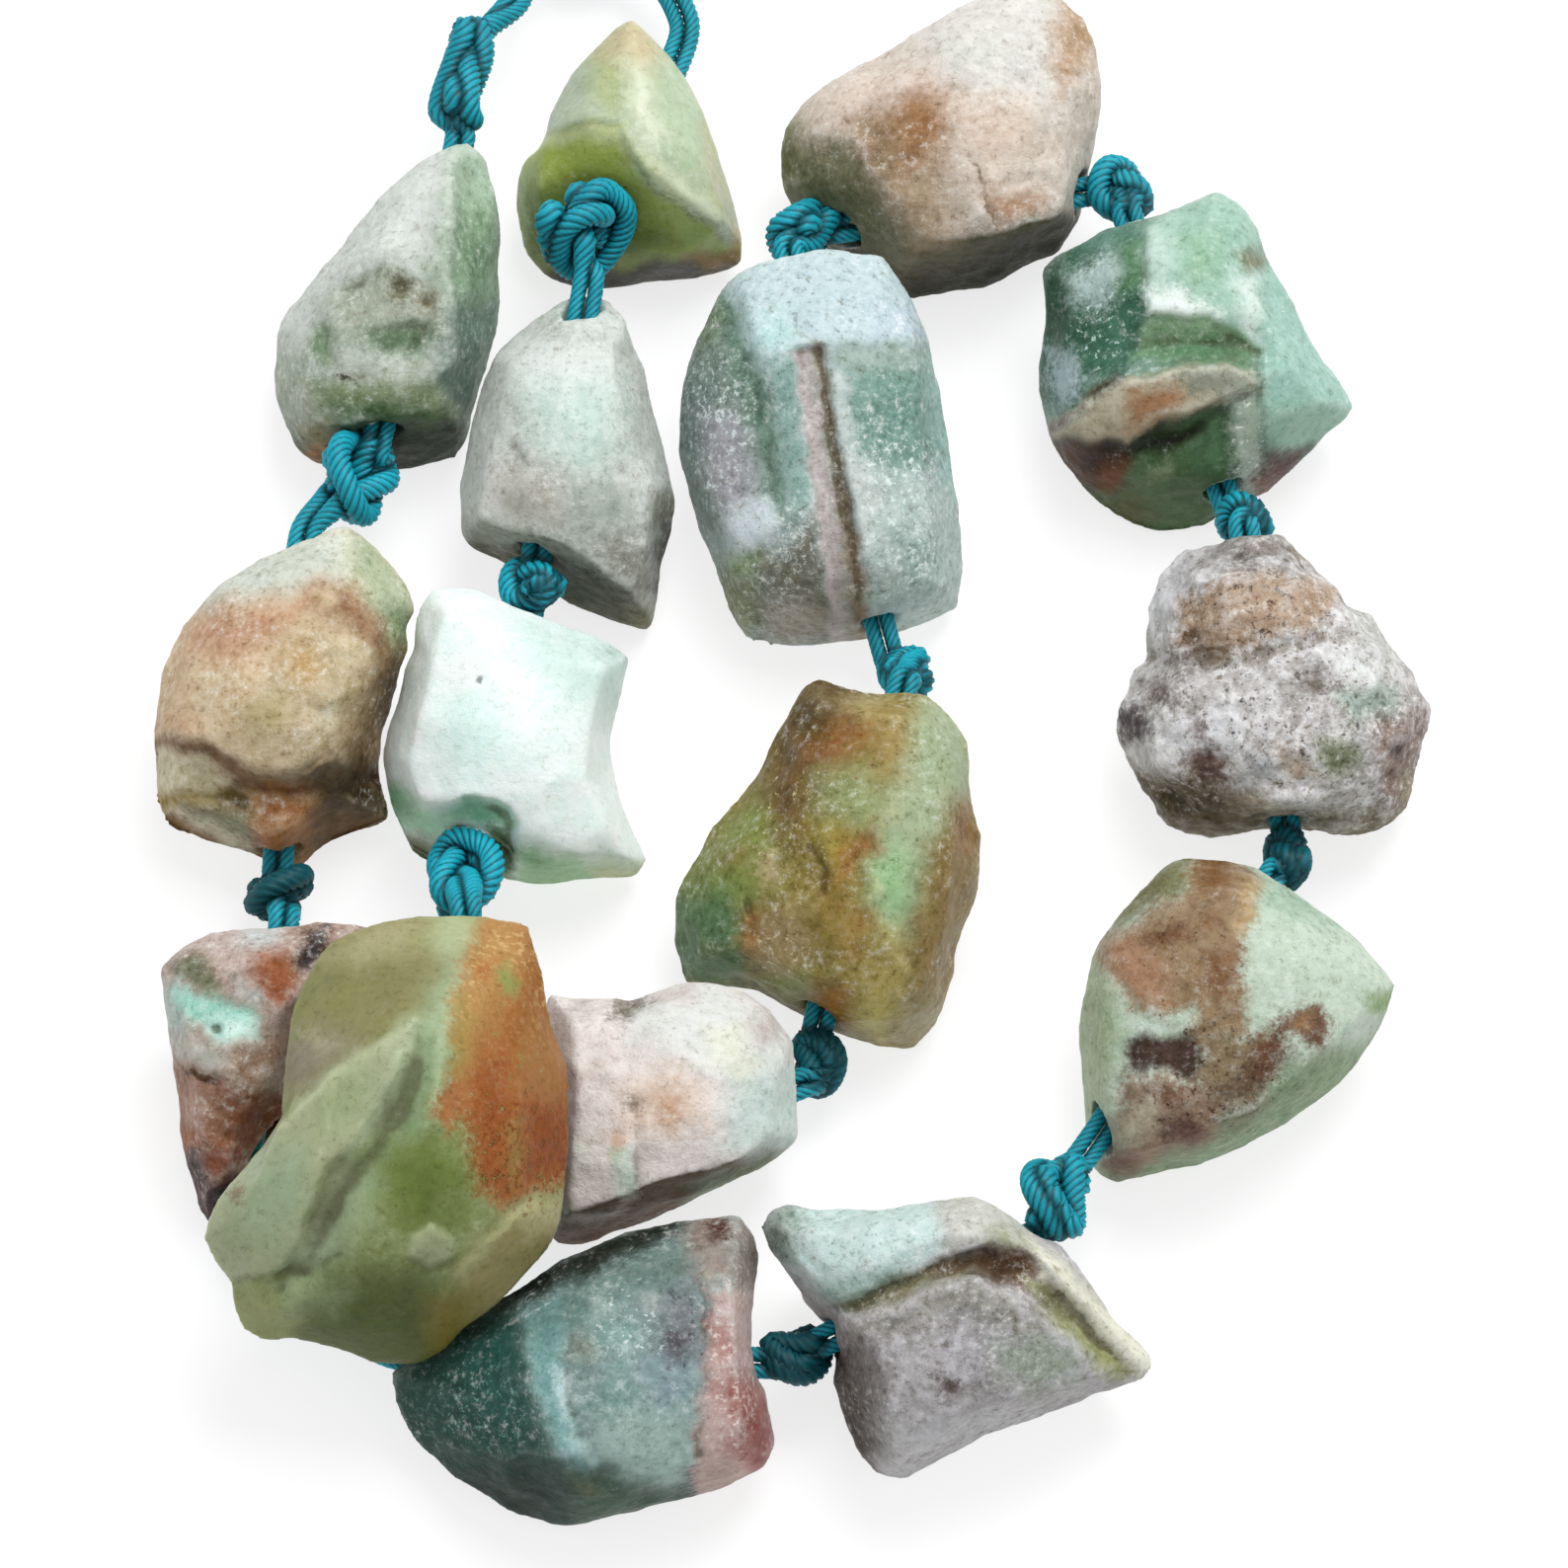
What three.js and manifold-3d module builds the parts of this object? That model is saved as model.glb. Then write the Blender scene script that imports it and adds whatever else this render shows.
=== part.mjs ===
// A strand of sixteen rough-tumbled amazonite nuggets on a doubled teal cord, with a knot between each pair.
// Millimetres, +Z up. The strand lies on a table at z = 0, with the middle of its footprint at the origin.
import * as THREE from "three";
import { ConvexHull } from "three/addons/math/ConvexHull.js";
import { mergeVertices } from "three/addons/utils/BufferGeometryUtils.js";
import Module from "manifold-3d";

const wasm = await Module();
wasm.setup();

// Driving dimensions.
const LEAN = THREE.MathUtils.degToRad(20); // how far the drawing sheet leans back from the table
const CORD_RADIUS = 1.1; // two twisted strands side by side
const BORE_RADIUS = 1.55; // drilled hole through each nugget
const CLEARANCE = 0.35; // between a knot and the stone it is drawn up against
const LONGEST_EDGE = 5.4; // facets with longer edges are halved
const LEDGE_STEP = 1.9; // spacing of the corners along a ledge
const WEAR = 0.2; // the rim is drawn this much wider than it is, for what tumbling takes off
const SOFTNESS = 0.22; // how far tumbling has worn each corner towards its neighbours
const CORD_SIDES = 7;
const BORE_SIDES = 8;
const BORE_OVERRUN = 2.2; // the drill's length past the two mouths, taken together
const RIM_DEPTH = -1.5; // a nugget's widest line, measured off the sheet at its middle
const RIM_SLOPE = 0.12; // the widest line rises towards the far end
const UNDERSIDE = [[0.8, 0.25], [0.45, 0]]; // [share of the rim's reach, share of the rim's height]
const FOOT = 0.1; // corners drawn this near the table stay flat on it
const TAIL = [[2.4, 3.4], [3.2, 9]]; // each trimmed end's way from the closing knot, [aside, up the sheet]
const TAIL_HEIGHT = 1.6; // the trimmed ends lie just clear of the table

// The strand is drawn on a sheet that leans back by LEAN: u to the right, v up the sheet. With a height above
// the table, that fixes a point.
const sheetUp = new THREE.Vector3(0, Math.cos(LEAN), Math.sin(LEAN));
const sheetOut = new THREE.Vector3(0, -Math.sin(LEAN), Math.cos(LEAN));

function onSheet([u, v, height]) {
  return new THREE.Vector3(u, (v - height * Math.sin(LEAN)) / Math.cos(LEAN), height);
}

// Each nugget has its middle on the sheet, its colour, the two mouths of its bore, its rim (the outline,
// walked clockwise from the far end, as [right, up the sheet] and sometimes [.., .., out of the sheet]) and its
// crown: the corners where the worn facets of the upper side meet, [right, up the sheet, out of the sheet].
// Some have ledges: the lips and feet of steps and troughs, given like the crown and followed at LEDGE_STEP.
const NUGGETS = [
  {
    // pointed, pale grey on its left face and sea green on its right
    name: "nugget_01", colour: 0xa9b9ad, at: [-28.9, 34.6, 7.5],
    bore: [[-23.7, 47.2, 9.4], [-30.0, 23.4, 7.4]],
    rim: [
      [5.8, 12.2], [7.4, 11], [8.1, 8.5], [8.2, 5.6], [7.9, 2], [7.9, -1.8], [7.3, -4.6], [6.4, -7.4],
      [5.9, -9.6], [5, -11.4], [2.5, -11.9], [-0.5, -12], [-3, -12.1], [-5.5, -11.7], [-7, -10.3],
      [-8.1, -8.2], [-8.6, -5.5], [-8.5, -2], [-7.8, 0], [-6.2, 1.4], [-4.4, 3.9], [-1.5, 7.6], [1.2, 10.1],
      [3.4, 11.6],
    ],
    crown: [
      [4.6, 10.5, 2.4], [4.2, 7, 5], [4.3, 3.5, 6.2], [4.6, -0.2, 6.8], [4.9, -4.5, 6.8],
      [1, 6.4, 4], [-0.4, 2.6, 5.8], [-3.8, 0.4, 4.6], [0.4, -1.6, 7.2], [-5.6, -2.8, 4.8], [-2.4, -4.6, 7],
      [-6.2, -6.6, 4.6], [1.6, -6, 7.2], [-5.6, -8.8, 3.6], [-2.4, -8.8, 5.8], [1, -8.4, 6.2], [4.6, -8, 5],
      [6.8, 3.4, 3.8],
    ],
  },
  {
    // domed, with two ledges on its left and a blunt nose at its near end
    name: "nugget_02", colour: 0xb5a68c, at: [-36.4, 6, 8],
    bore: [[-34.9, 17.6, 7.6], [-36.7, -6.6, 3.2]],
    rim: [
      [4.8, 12.6], [6.4, 11.6], [7.9, 10], [9.2, 7.9], [9.8, 6.2], [9.2, 4.9], [9.4, 3.4], [8.6, 1.8],
      [8.4, -0.4], [7.2, -2.2], [6.9, -5], [7.5, -7.7], [7.8, -9], [5.4, -10], [2.8, -10.9], [1.5, -12],
      [0.2, -12.6], [-1.2, -12], [-3, -11.1], [-5.6, -10.6], [-8, -9.8], [-9.2, -8.6], [-9.3, -5.6],
      [-9.5, -2.8], [-9, 0.4], [-8, 3.4], [-6.8, 6.2], [-4.6, 8.5], [-1.6, 10.4], [1.8, 11.3],
    ],
    crown: [
      [4.6, 10.2, 3], [0.4, 8.2, 4.8], [7.3, 7, 3.4], [-3.8, 6, 4.8], [3.6, 5, 6.4], [-0.4, 2.8, 7.2],
      [-6.2, 2, 5], [6.9, 2.4, 4.6], [3.4, -0.6, 7.6], [-2.6, -1.4, 7.4], [-7.4, -2.6, 4.8], [5.2, -3.2, 5.8],
      [-4.6, -3.4, 6.6], [-1.6, -5.4, 7], [1.2, -5.6, 7], [3.4, -4.2, 6.8], [-7.2, -4.6, 3.4],
      [-4.2, -6, 4.4], [0, -7.4, 4.8], [4, -7, 4.4], [-7.8, -6.8, 3.4], [-5, -8.6, 3.2], [-0.2, -10.6, 3.4],
    ],
  },
  {
    // narrow wedge, cream and mint above a rust-brown step
    name: "nugget_03", colour: 0xa88d7f, at: [-38.9, -20.8, 6.5],
    bore: [[-36.1, -10.4, 5.2], [-37.6, -32.2, 3.6]],
    rim: [
      [-0.5, 10.1], [2, 10], [4.6, 10.4], [6.8, 10.8], [9.6, 10.6], [9.8, 8.6, -2.4], [7.6, 5.4, -2.6],
      [6, 2, -2.6], [4.8, -1.4, -2.6], [3.4, -4.6, -2.8], [1.6, -7.6], [-0.6, -10.4], [-2.4, -11.9],
      [-3.4, -10.4], [-4, -7.8], [-4.5, -5], [-4.9, -1.6], [-5.1, 0.8], [-5.5, 3.2], [-6, 5.6], [-6.1, 7.3],
      [-5, 8.4], [-2.8, 9.4],
    ],
    crown: [
      [-3.6, 7.2, 3.4], [0.2, 8, 4], [4.2, 8.6, 3], [-4, 4.2, 4.4], [-0.4, 4.4, 6], [3.2, 4.6, 4.6],
      [-3.7, 0.8, 5], [-0.4, -0.2, 6.6], [2.4, -1, 4.4], [-3.2, -2, 4.2], [0.2, -3.6, 4.8], [-2.9, -5.2, 4.2],
      [-1, -7.6, 3.4], [-2.7, -9.4, 2],
    ],
  },
  {
    // long and deep teal, with a pale ridge and a pink-red cheek on its right
    name: "nugget_04", colour: 0x5f8580, at: [-14.6, -42.2, 7.5],
    bore: [[-27.6, -41.2, 4.6], [-0.4, -41.8, 6]],
    rim: [
      [9.3, 11.2], [11.5, 11.3], [12.8, 9.9], [13.1, 8.2], [12.6, 5.5], [12.5, 2], [12.9, -0.8],
      [13.8, -3.6], [14, -5.4], [13.4, -7.1], [11.6, -8.3], [9.7, -9.2], [7, -9.2], [4.2, -10], [1.6, -10.8],
      [-0.9, -11.4], [-3.6, -10.8], [-6.4, -9.5], [-9.4, -7.6], [-12, -5.4], [-13.5, -3], [-14, -0.6],
      [-13, 1, -3.2], [-10.6, 2.6, -2.4], [-7.8, 4.2, -1.6], [-5, 5.8], [-1.4, 7.8], [2.4, 9.6], [6, 10.8],
    ],
    crown: [
      [-4, 4.2, 3.4], [-3.4, 1, 5.6], [-2.7, -2.5, 6.6], [-1.7, -6, 6.2], [-0.9, -8.8, 4],
      [-0.8, 3.6, 5.6], [-0.4, -0.6, 7], [0.3, -5.4, 6.8], [3.4, 7.4, 4.4], [4, 3.2, 6.4], [4.4, -1.6, 7.2],
      [4.2, -6.2, 6.2], [8.4, 8.4, 4.2], [8.7, 3.6, 5.6], [8.7, -2.2, 6.2], [8.2, -7, 4.6],
      [10.9, 9.6, 4.4], [11, 4.4, 5.6], [11.6, -1.6, 5.6], [11.8, -5.6, 4.8], [2, -8.8, 3.6],
      [-8, 2, 0.8], [-7.6, -1.8, 2.8], [-11.2, -1.4, 0.2], [-6.8, -5.8, 2.6], [-10.6, -5, -0.4],
      [-4, -8, 2.4],
    ],
  },
  {
    // a mint slab over a lilac block, drawn out to a thin point on its right
    name: "nugget_05", colour: 0xa7aca8, at: [12.2, -40.1, 7.5],
    bore: [[2.2, -40.5, 6.4], [18.9, -32.2, 7]],
    rim: [
      [-12, 10.3], [-9.8, 9.6], [-7, 9.5], [-3.6, 9.9], [-1, 10.1], [0.8, 10.5], [2.6, 9.8], [5, 8.2],
      [7.4, 7.1], [8.6, 4.9], [10.4, 2.8], [12.4, 0.8], [14.2, -1], [14.7, -1.8], [13.8, -2.6, -1],
      [11.4, -2.2], [10, -3.1], [8.4, -4.4], [5.4, -5.7], [2, -7], [-1, -8.9], [-3.8, -10.2], [-5.4, -9.7],
      [-6.8, -8.2], [-7.9, -6], [-8.7, -3.6], [-8.9, -1.4], [-8.6, 0.6], [-10.2, 2.7], [-12.2, 4.6],
      [-13.7, 6.4], [-14.1, 8.1], [-13.3, 9.7],
    ],
    crown: [
      [-12, 8, 2.6], [-8.6, 7.6, 4], [-4.6, 8.6, 4.4], [-0.6, 9, 4.6], [3, 8.4, 4.2], [13.2, -1.2, 1.6],
      [-5.6, -1.2, 7], [-0.8, -0.4, 7.6], [3.8, -1.6, 7], [-4.6, -5, 6.6], [0.4, -4.8, 6.4],
      [7.2, -3.2, 4.8], [-3.9, -8.4, 4], [-7.4, -3.4, 3.4],
    ],
    ledges: [
      [[-11.2, 5.6, 3.4], [-8.4, 4.7, 4.6], [-6.4, 5.5, 5.6], [-3, 7.1, 6.1], [0.8, 8, 6], [4.2, 7.5, 5.2]],
      [
        [-8, 2.9, 4.4], [-5.4, 3.9, 4.8], [-1.6, 5.6, 5.2], [2.4, 6, 5.2], [5.2, 4.6, 4.8],
        [8.4, 1.7, 3.6], [11, -0.8, 2.2],
      ],
      [[-7.2, 1.4, 5.2], [-3.9, 2.4, 7], [0.4, 4.2, 7.5], [3.6, 3, 7.3], [6.4, 1, 6.4], [9, -1.2, 4.4]],
      [[6.2, 5.8, 5], [9.4, 2.9, 4.2], [12, 0.3, 3]],
    ],
  },
  {
    // a broad flat face, pale mint with tan and maroon stains, over a green bevel
    name: "nugget_06", colour: 0xb3b59c, at: [32.6, -17.2, 7.5],
    bore: [[21.1, -27.6, 5.8], [35.8, -6.4, 6.4]],
    rim: [
      [-3, 12], [0, 11.6], [2.4, 10.4], [5, 8.3], [7.4, 6.8], [9.2, 5.3], [10.8, 3.5], [11.7, 2.3],
      [11.2, 0.8], [10.3, -1.6], [8.9, -3.4], [7.6, -5], [4.8, -6.8], [2, -8.6], [-1, -10.1],
      [-4.4, -11], [-8.8, -12], [-10.3, -11], [-11, -9], [-11.2, -4.6], [-11.4, -0.6], [-11.1, 2.4],
      [-10.4, 5.2], [-9.2, 6.7], [-7.4, 9], [-5, 11.3],
    ],
    crown: [
      [-9.4, 5.8, 2.6], [-5.8, 8, 4], [-2.2, 9.6, 4.4], [1.4, 8.8, 4.6], [4.8, 6.6, 4.6], [8.2, 4.2, 4],
      [10.2, 2.4, 3], [-6.2, 3, 6.2], [-1.4, 4, 6.8], [3.6, 2.8, 6.8], [-10.1, 1.8, 3.6], [-9.9, -4.2, 4.4],
      [-7, -1.2, 6.8], [-2, -0.8, 7.4], [6.6, -1.6, 6], [2.9, -1.6, 7.2], [9, 0.2, 4], [3.4, -4.9, 6.4],
      [-0.6, -7.4, 6.6], [-5, -9.1, 6], [-8.4, -9.8, 4.2], [-6.2, -5.2, 7.2], [-1.6, -4.6, 7.6],
    ],
  },
  {
    // the largest face, lumpy and grey-white, with a raised lobe at its far end
    name: "nugget_07", colour: 0xb9b3ab, at: [35.4, 6.7, 7.8],
    bore: [[36.5, -4.7, 4.2], [33.4, 18.5, 8.6]],
    rim: [
      [0, 11.4], [3.2, 9.6], [4.6, 7.6], [5.5, 6.1], [7.2, 5.5], [8.4, 3.5], [9.9, 1.6], [11.1, -0.2],
      [11.7, -1.8], [11.2, -3.6], [11, -5.4], [10.8, -7.8], [9.8, -9.4], [8.2, -10.8], [5, -11.1],
      [1.8, -10.6], [-2, -10.6], [-6.8, -10.6], [-8.4, -9.6], [-10, -7.4], [-10.8, -5.4], [-11.6, -3.2],
      [-11.1, -1.4], [-9.9, 0.2], [-9.1, 2], [-9.6, 3.2], [-9.2, 5.8], [-8.2, 8.2], [-6.4, 9.8],
      [-3.6, 10.5], [-1.6, 11.2],
    ],
    crown: [
      [-1, 9.2, 3.6], [-5.6, 7.8, 3.4], [2.6, 6.8, 4], [-7, 4.6, 3.8], [-3, 5.4, 6.2], [1.4, 4.4, 6.2],
      [-6.8, 2, 4], [-2.4, 1.6, 6], [4.2, 2.4, 5.8], [7, 3.2, 4], [8.6, 0.2, 4.8], [5.4, -1.8, 7],
      [-7.6, -1, 4.6], [-3, -1.8, 7], [1.2, -2, 7.4], [-9.2, -3.8, 3.6], [-5.6, -4.6, 6.4],
      [-1.4, -5.2, 7.6], [3.4, -5.4, 7.4], [7.8, -5.4, 6], [9.8, -3.2, 4.2], [-8.6, -6.2, 3.8],
      [-4.2, -6.8, 6.2], [-0.2, -8.4, 6], [4, -8.4, 6], [7.8, -8.2, 4.2], [-5.8, -9, 2.4],
    ],
  },
  {
    // dark green at its left, mint at its far end, with a tan ledge across its middle
    name: "nugget_08", colour: 0x8c9a80, at: [30.1, 30.6, 7.5],
    bore: [[32.9, 18.6, 5.2], [25, 41.8, 8]],
    rim: [
      [1.5, 12.6], [3.4, 11.6], [4.6, 9.8], [5.2, 7.4], [6.6, 5], [8, 2.4], [9.6, 0], [11, -1.7],
      [11.7, -3.2], [11, -4.5], [9, -5.9], [7, -8], [5.3, -9.9], [3.4, -10.4], [0, -12.4], [-2.2, -12.9],
      [-4.8, -12.2], [-7, -10.5], [-9.2, -8.2], [-10.9, -5.5], [-11.7, -2.5], [-11.3, 0.4], [-11.2, 3.6],
      [-11.3, 6.8], [-9.8, 8], [-7, 9.9], [-3.8, 10.4], [-0.8, 11.5],
    ],
    crown: [
      [-3.8, 8.8, 3.6], [-3.6, 5.8, 5.6], [0.6, 9.2, 4.2], [0.6, 5.6, 6.2], [3.8, 6, 4.6], [-2.6, -8.8, 4.6],
      [2.4, -8.4, 4.4], [4.4, -5, 6.2], [9, -3.2, 4], [-7.2, -7.8, 3], [-8.8, 5.6, 2.8], [-9.2, 1.6, 3.2],
      [-6.6, 2.8, 4.4],
    ],
    ledges: [
      [[-3.9, 3.4, 6.4], [0.4, 3.1, 6.9], [4.3, 3, 6]],
      [[-6.4, 0.6, 4.4], [-3.6, 1.2, 5.1], [0.2, 1, 5.5], [4.4, 0.9, 5.4]],
      [[-9.6, -3.2, 4], [-7.2, -1.9, 5.8], [-3.8, -1, 7], [0, -0.7, 7.6], [3.8, -1, 7.2], [7.2, -0.8, 5.8]],
      [[-9.4, -5.4, 3.2], [-5.8, -5.2, 5.2], [-2, -4.6, 6.2], [1.4, -3.6, 6.8]],
    ],
  },
  {
    // broad, off-white and beige, with a shaded green face at its left
    name: "nugget_09", colour: 0xb7aa9b, at: [11.5, 45.6, 7.5],
    bore: [[23.5, 43.3, 6.6], [0.9, 40, 6]],
    rim: [
      [5, 12.8], [8.5, 12.6], [10.8, 10.8], [11.7, 8], [11.9, 4.8], [11.4, 1.4], [10.8, -1.8], [10.2, -4.6],
      [9, -7], [6.6, -7.9], [3.3, -9.5], [0, -10.2], [-2.6, -10.6], [-5.4, -9.6], [-8.4, -7.2],
      [-10.4, -4.6], [-11.8, -2.2], [-12.2, 0.4], [-11.6, 2.6], [-9.4, 5.2], [-7, 6.5], [-4.2, 7.8],
      [-1.4, 9.5], [1.6, 11.6],
    ],
    crown: [
      [5, 10.4, 3.6], [8.9, 9, 3.4], [0.4, 7.6, 4.6], [5.4, 6.4, 5.8], [9.6, 4, 4.8], [-4.6, 4.6, 4.6],
      [0.8, 3.2, 6.8], [-8.2, 3.2, 3.6], [-10.1, 1.8, 2.6], [-7.6, 1.2, 4.6], [-4.6, 0.2, 6.2],
      [5.2, 1.2, 7.2], [0.4, -1.2, 7.6], [9.4, -0.6, 5], [-3.3, -3, 6.8], [4.8, -3.4, 7.2],
      [-1.8, -6.2, 6.2], [1.6, -6.6, 6.4], [5, -5.6, 6.4], [8.8, -4.3, 4.8], [-8.8, -2.4, 2.6],
      [-5.6, -5.2, 3.2],
    ],
  },
  {
    // tall block with a pale chamfer at its far end
    name: "nugget_10", colour: 0x8fa19c, at: [2.6, 24.2, 8],
    bore: [[0.3, 38.8, 9.2], [7.8, 8.2, 4.3]],
    rim: [
      [-4, 13.7], [-1.5, 14.6], [0.8, 14.7], [1.9, 14.2], [4.6, 14.3], [6.2, 12], [7.6, 9.2], [8.4, 6.2],
      [9.1, 2.8], [9.7, -1], [10.3, -5.4], [10.7, -9.2], [10.2, -11.8], [8.8, -12.9], [6, -13.8],
      [2.6, -14.2], [-0.4, -14.5], [-3.2, -14.9], [-5.4, -14.2], [-6.7, -12.2], [-7.4, -9.4], [-8.5, -6.4],
      [-9.8, -3.4], [-10.4, -0.6], [-10.5, 2.2], [-10, 5.2], [-9, 8.4], [-7.4, 11.6], [-5.8, 13.1],
    ],
    crown: [
      [-3.4, 11.8, 3], [0.6, 12.6, 3], [4.4, 12, 2.6], [-5.2, 9.4, 3.8], [-0.8, 9.6, 5.2], [3.6, 9.4, 4.8],
      [-4.2, 6.7, 6], [-0.2, 7.2, 6.9], [3.8, 7.3, 6.4], [7, 7, 4.2], [-6.4, 6.6, 4], [-4.7, 3.2, 5.6],
      [-3.5, -0.4, 6.6], [-3.2, -4.6, 7.2], [-8, 2.6, 3.4], [-6.4, -1.6, 4.8], [-7.4, -5, 4],
      [-4, -8, 6.4], [-5.6, -11, 3.4], [-1.6, -11, 6], [-0.6, 1.6, 7.4], [0, -5, 7.8], [3.4, 2.4, 7.2],
      [4, -3.4, 7.5], [4.4, -8.6, 7], [7.2, 1.4, 5], [7.8, -4.6, 5.2], [8.2, -10, 4.4], [2.4, -12.4, 4.6],
    ],
  },
  {
    // olive and rust, with a pale mint vein, pointed at its far left
    name: "nugget_11", colour: 0x8b8358, at: [3.3, -6.1, 8],
    bore: [[8.7, 7, 9], [2.3, -18.6, 4]],
    rim: [
      [-2.2, 12.9], [-0.8, 13.8], [1.2, 13.1], [2.8, 12.3], [5, 12.6], [7.2, 12.4], [9, 10.8], [10.1, 8.8],
      [10.3, 6.2], [10.4, 3.4], [10.9, 0.6], [10.9, -1.6], [10.1, -4.2], [9.1, -7], [8.7, -10],
      [7.8, -12], [6.2, -13.6], [3.6, -13.3], [0.6, -12.3], [-2.4, -10.8], [-5.4, -9.4], [-8.4, -9.3],
      [-10.8, -9], [-11.3, -6.6], [-11.7, -3.2], [-10.6, -0.6], [-8.6, 2.3], [-6.6, 4.8], [-5, 6.8],
      [-4.2, 9], [-3, 11.2],
    ],
    crown: [
      [-0.6, 11.4, 3.2], [4.8, 10.6, 4.4], [8, 9, 3.8], [1.6, 8.8, 4.8], [-2.4, 7.6, 3.8], [1.2, 4.8, 6.4],
      [5.4, 5.4, 6.6], [8.7, 4.2, 4.4], [-4.8, 3.6, 3.8], [-2, 1.6, 6], [2.6, 0.2, 7.6], [6, -0.6, 7.2],
      [9, -0.8, 4.8], [-7.4, 0.4, 3.8], [-4.2, -2.2, 6.2], [-9.7, -3, 3], [-0.4, -4.2, 7.4],
      [4.4, -5.4, 8], [8, -5.4, 5.2], [-6.4, -6, 4.6], [-9.4, -6.8, 3], [-3, -7.6, 6], [1, -8.8, 6.6],
      [6.6, -9.4, 5.2], [3.4, -11.4, 5],
    ],
  },
  {
    // white and faintly pink, with a grey-green bevel along its near side
    name: "nugget_12", colour: 0xc3bbb3, at: [-7.8, -23.3, 7.5],
    bore: [[1.9, -21.7, 4.6], [-18.8, -30.3, 4.4]],
    rim: [
      [-9.2, 8.4], [-7, 8], [-5, 8], [-3.3, 7.6], [-1.6, 8.2], [0.4, 8.9], [3, 9], [5, 8.3], [7.2, 6.6],
      [8.4, 4.8], [8.8, 2.2], [8.8, -0.4], [9, -2.6], [7.6, -4], [4.6, -5.6], [1.8, -6.9], [-1, -8.2],
      [-4, -9.3], [-6.8, -10.3], [-8.8, -10.4], [-9.8, -8.6], [-10, -5], [-9.8, -1], [-9.8, 3], [-10, 6.8],
    ],
    crown: [
      [-7.4, 6, 3.4], [-3.2, 5.6, 4.2], [0.6, 6.8, 4.8], [4.6, 6.2, 4.8], [-7.2, 2.2, 4.8], [-3, 2, 6.2],
      [1.2, 2.4, 6.8], [4.4, 1.8, 6.4], [7.3, 2, 4.4], [-7.2, -2.2, 5.4], [-3.9, -3, 6.8], [-2.6, -3.4, 6.4],
      [-0.8, -2.8, 7.4], [3.6, -2.4, 6.6], [7.4, -2, 4.4], [5, -3.8, 5.8], [1.4, -5, 6.6], [-1.6, -5.7, 6.6],
      [-4.2, -7, 6], [-7.4, -7.8, 4.8],
    ],
  },
  {
    // the big one, layered in jagged steps, rust on its right cheek: it leans over its three neighbours
    name: "nugget_13", colour: 0x7f8a5c, at: [-27.4, -25.8, 13],
    bore: [[-20.6, -31.6, 5.2], [-22.8, -9.6, 13.4]],
    underside: [[0.8, 0.72], [0.52, 0.34], [0.26, 0]],
    rim: [
      [2, 16.3, -2.6], [6.2, 16.1, -2.6], [9.5, 15.8, -2.6], [10.2, 12.6, -2], [10.6, 9.2, -2],
      [11.4, 6.8, -2], [12.3, 4.8, -1.6], [12.1, 1.4, -1], [12, -2.4, 0], [11.9, -5.6, 1.4],
      [10.8, -8, 2.4], [8.8, -10.2, 3], [6.8, -12.1, 3.2], [4.6, -13.2, 2.8], [3.5, -14.8, 2],
      [1.4, -16.2, 1.4], [-1, -16.3, 1.2], [-4, -15.3, 1.6], [-7.2, -14.3, 2], [-9.8, -14.6, 2.2],
      [-11.5, -13.6, 2.6], [-12.2, -11.6, 3], [-12.1, -10.1, 3], [-13.6, -8.9, 3.2], [-14.1, -6.8, 3.4],
      [-13.2, -4.2, 3.4], [-11.4, -1.8, 3.4], [-9.4, 0.1, 3.2], [-8.2, 1.4, 3], [-8.3, 4.6, 1.8],
      [-8.1, 8.4, 0.6], [-7, 12, -0.6], [-5, 14.5, -1.6], [-1.6, 15.7, -2.2],
    ],
    crown: [
      [-4.8, 11.2, 2.6], [0, 13.4, 2.8], [3.4, 13.8, 2.2], [5.2, 11.2, 4.6], [3.2, 10.4, 6], [5.8, 5, 8],
      [6.4, -1.2, 9], [3.6, 0.4, 10.2], [3.4, -5.6, 9.8], [-12.4, -6, 5.2], [-10.4, -2.8, 6.4],
      [-9.8, -8.2, 6], [0.6, -9.4, 8.6], [8.6, 12.2, 0.8], [8.8, 7.4, 3.6], [9.6, 2, 4.8], [9.4, -3.8, 5.6],
      [6.8, -7.6, 6.6], [9, -7.8, 4.6], [-10.2, -12, 4.4], [-0.6, -13, 5.2], [3.6, -12, 5.2], [0.6, -15, 3],
    ],
    ledges: [
      [[-6.9, 5, 4.4], [-3.6, 7.8, 5.2], [0, 10.6, 5.6]],
      [[-8, 2.2, 5.8], [-5.4, 4.2, 7], [-2.6, 6.6, 7.8], [0.6, 8.8, 7.6]],
      [[-0.2, 5.4, 8.8], [-2.9, 0.7, 9.2], [-5.5, -1.5, 8.8], [-6.9, -4.8, 8], [-8.2, -7.4, 6.8]],
      [
        [1.7, 6.6, 7.9], [0.7, 3.2, 7.9], [-1.7, -0.9, 7.6], [-3.9, -3.4, 7], [-5, -6.2, 6.4], [-7, -9.2, 5.2],
      ],
      [
        [3, 7.6, 8.4], [2.8, 5.2, 9.4], [2, 1, 9.8], [0, -3, 9.8],
        [-1.8, -5.4, 9.2], [-3.2, -8.2, 8], [-5.4, -11, 6],
      ],
    ],
  },
  {
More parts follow.
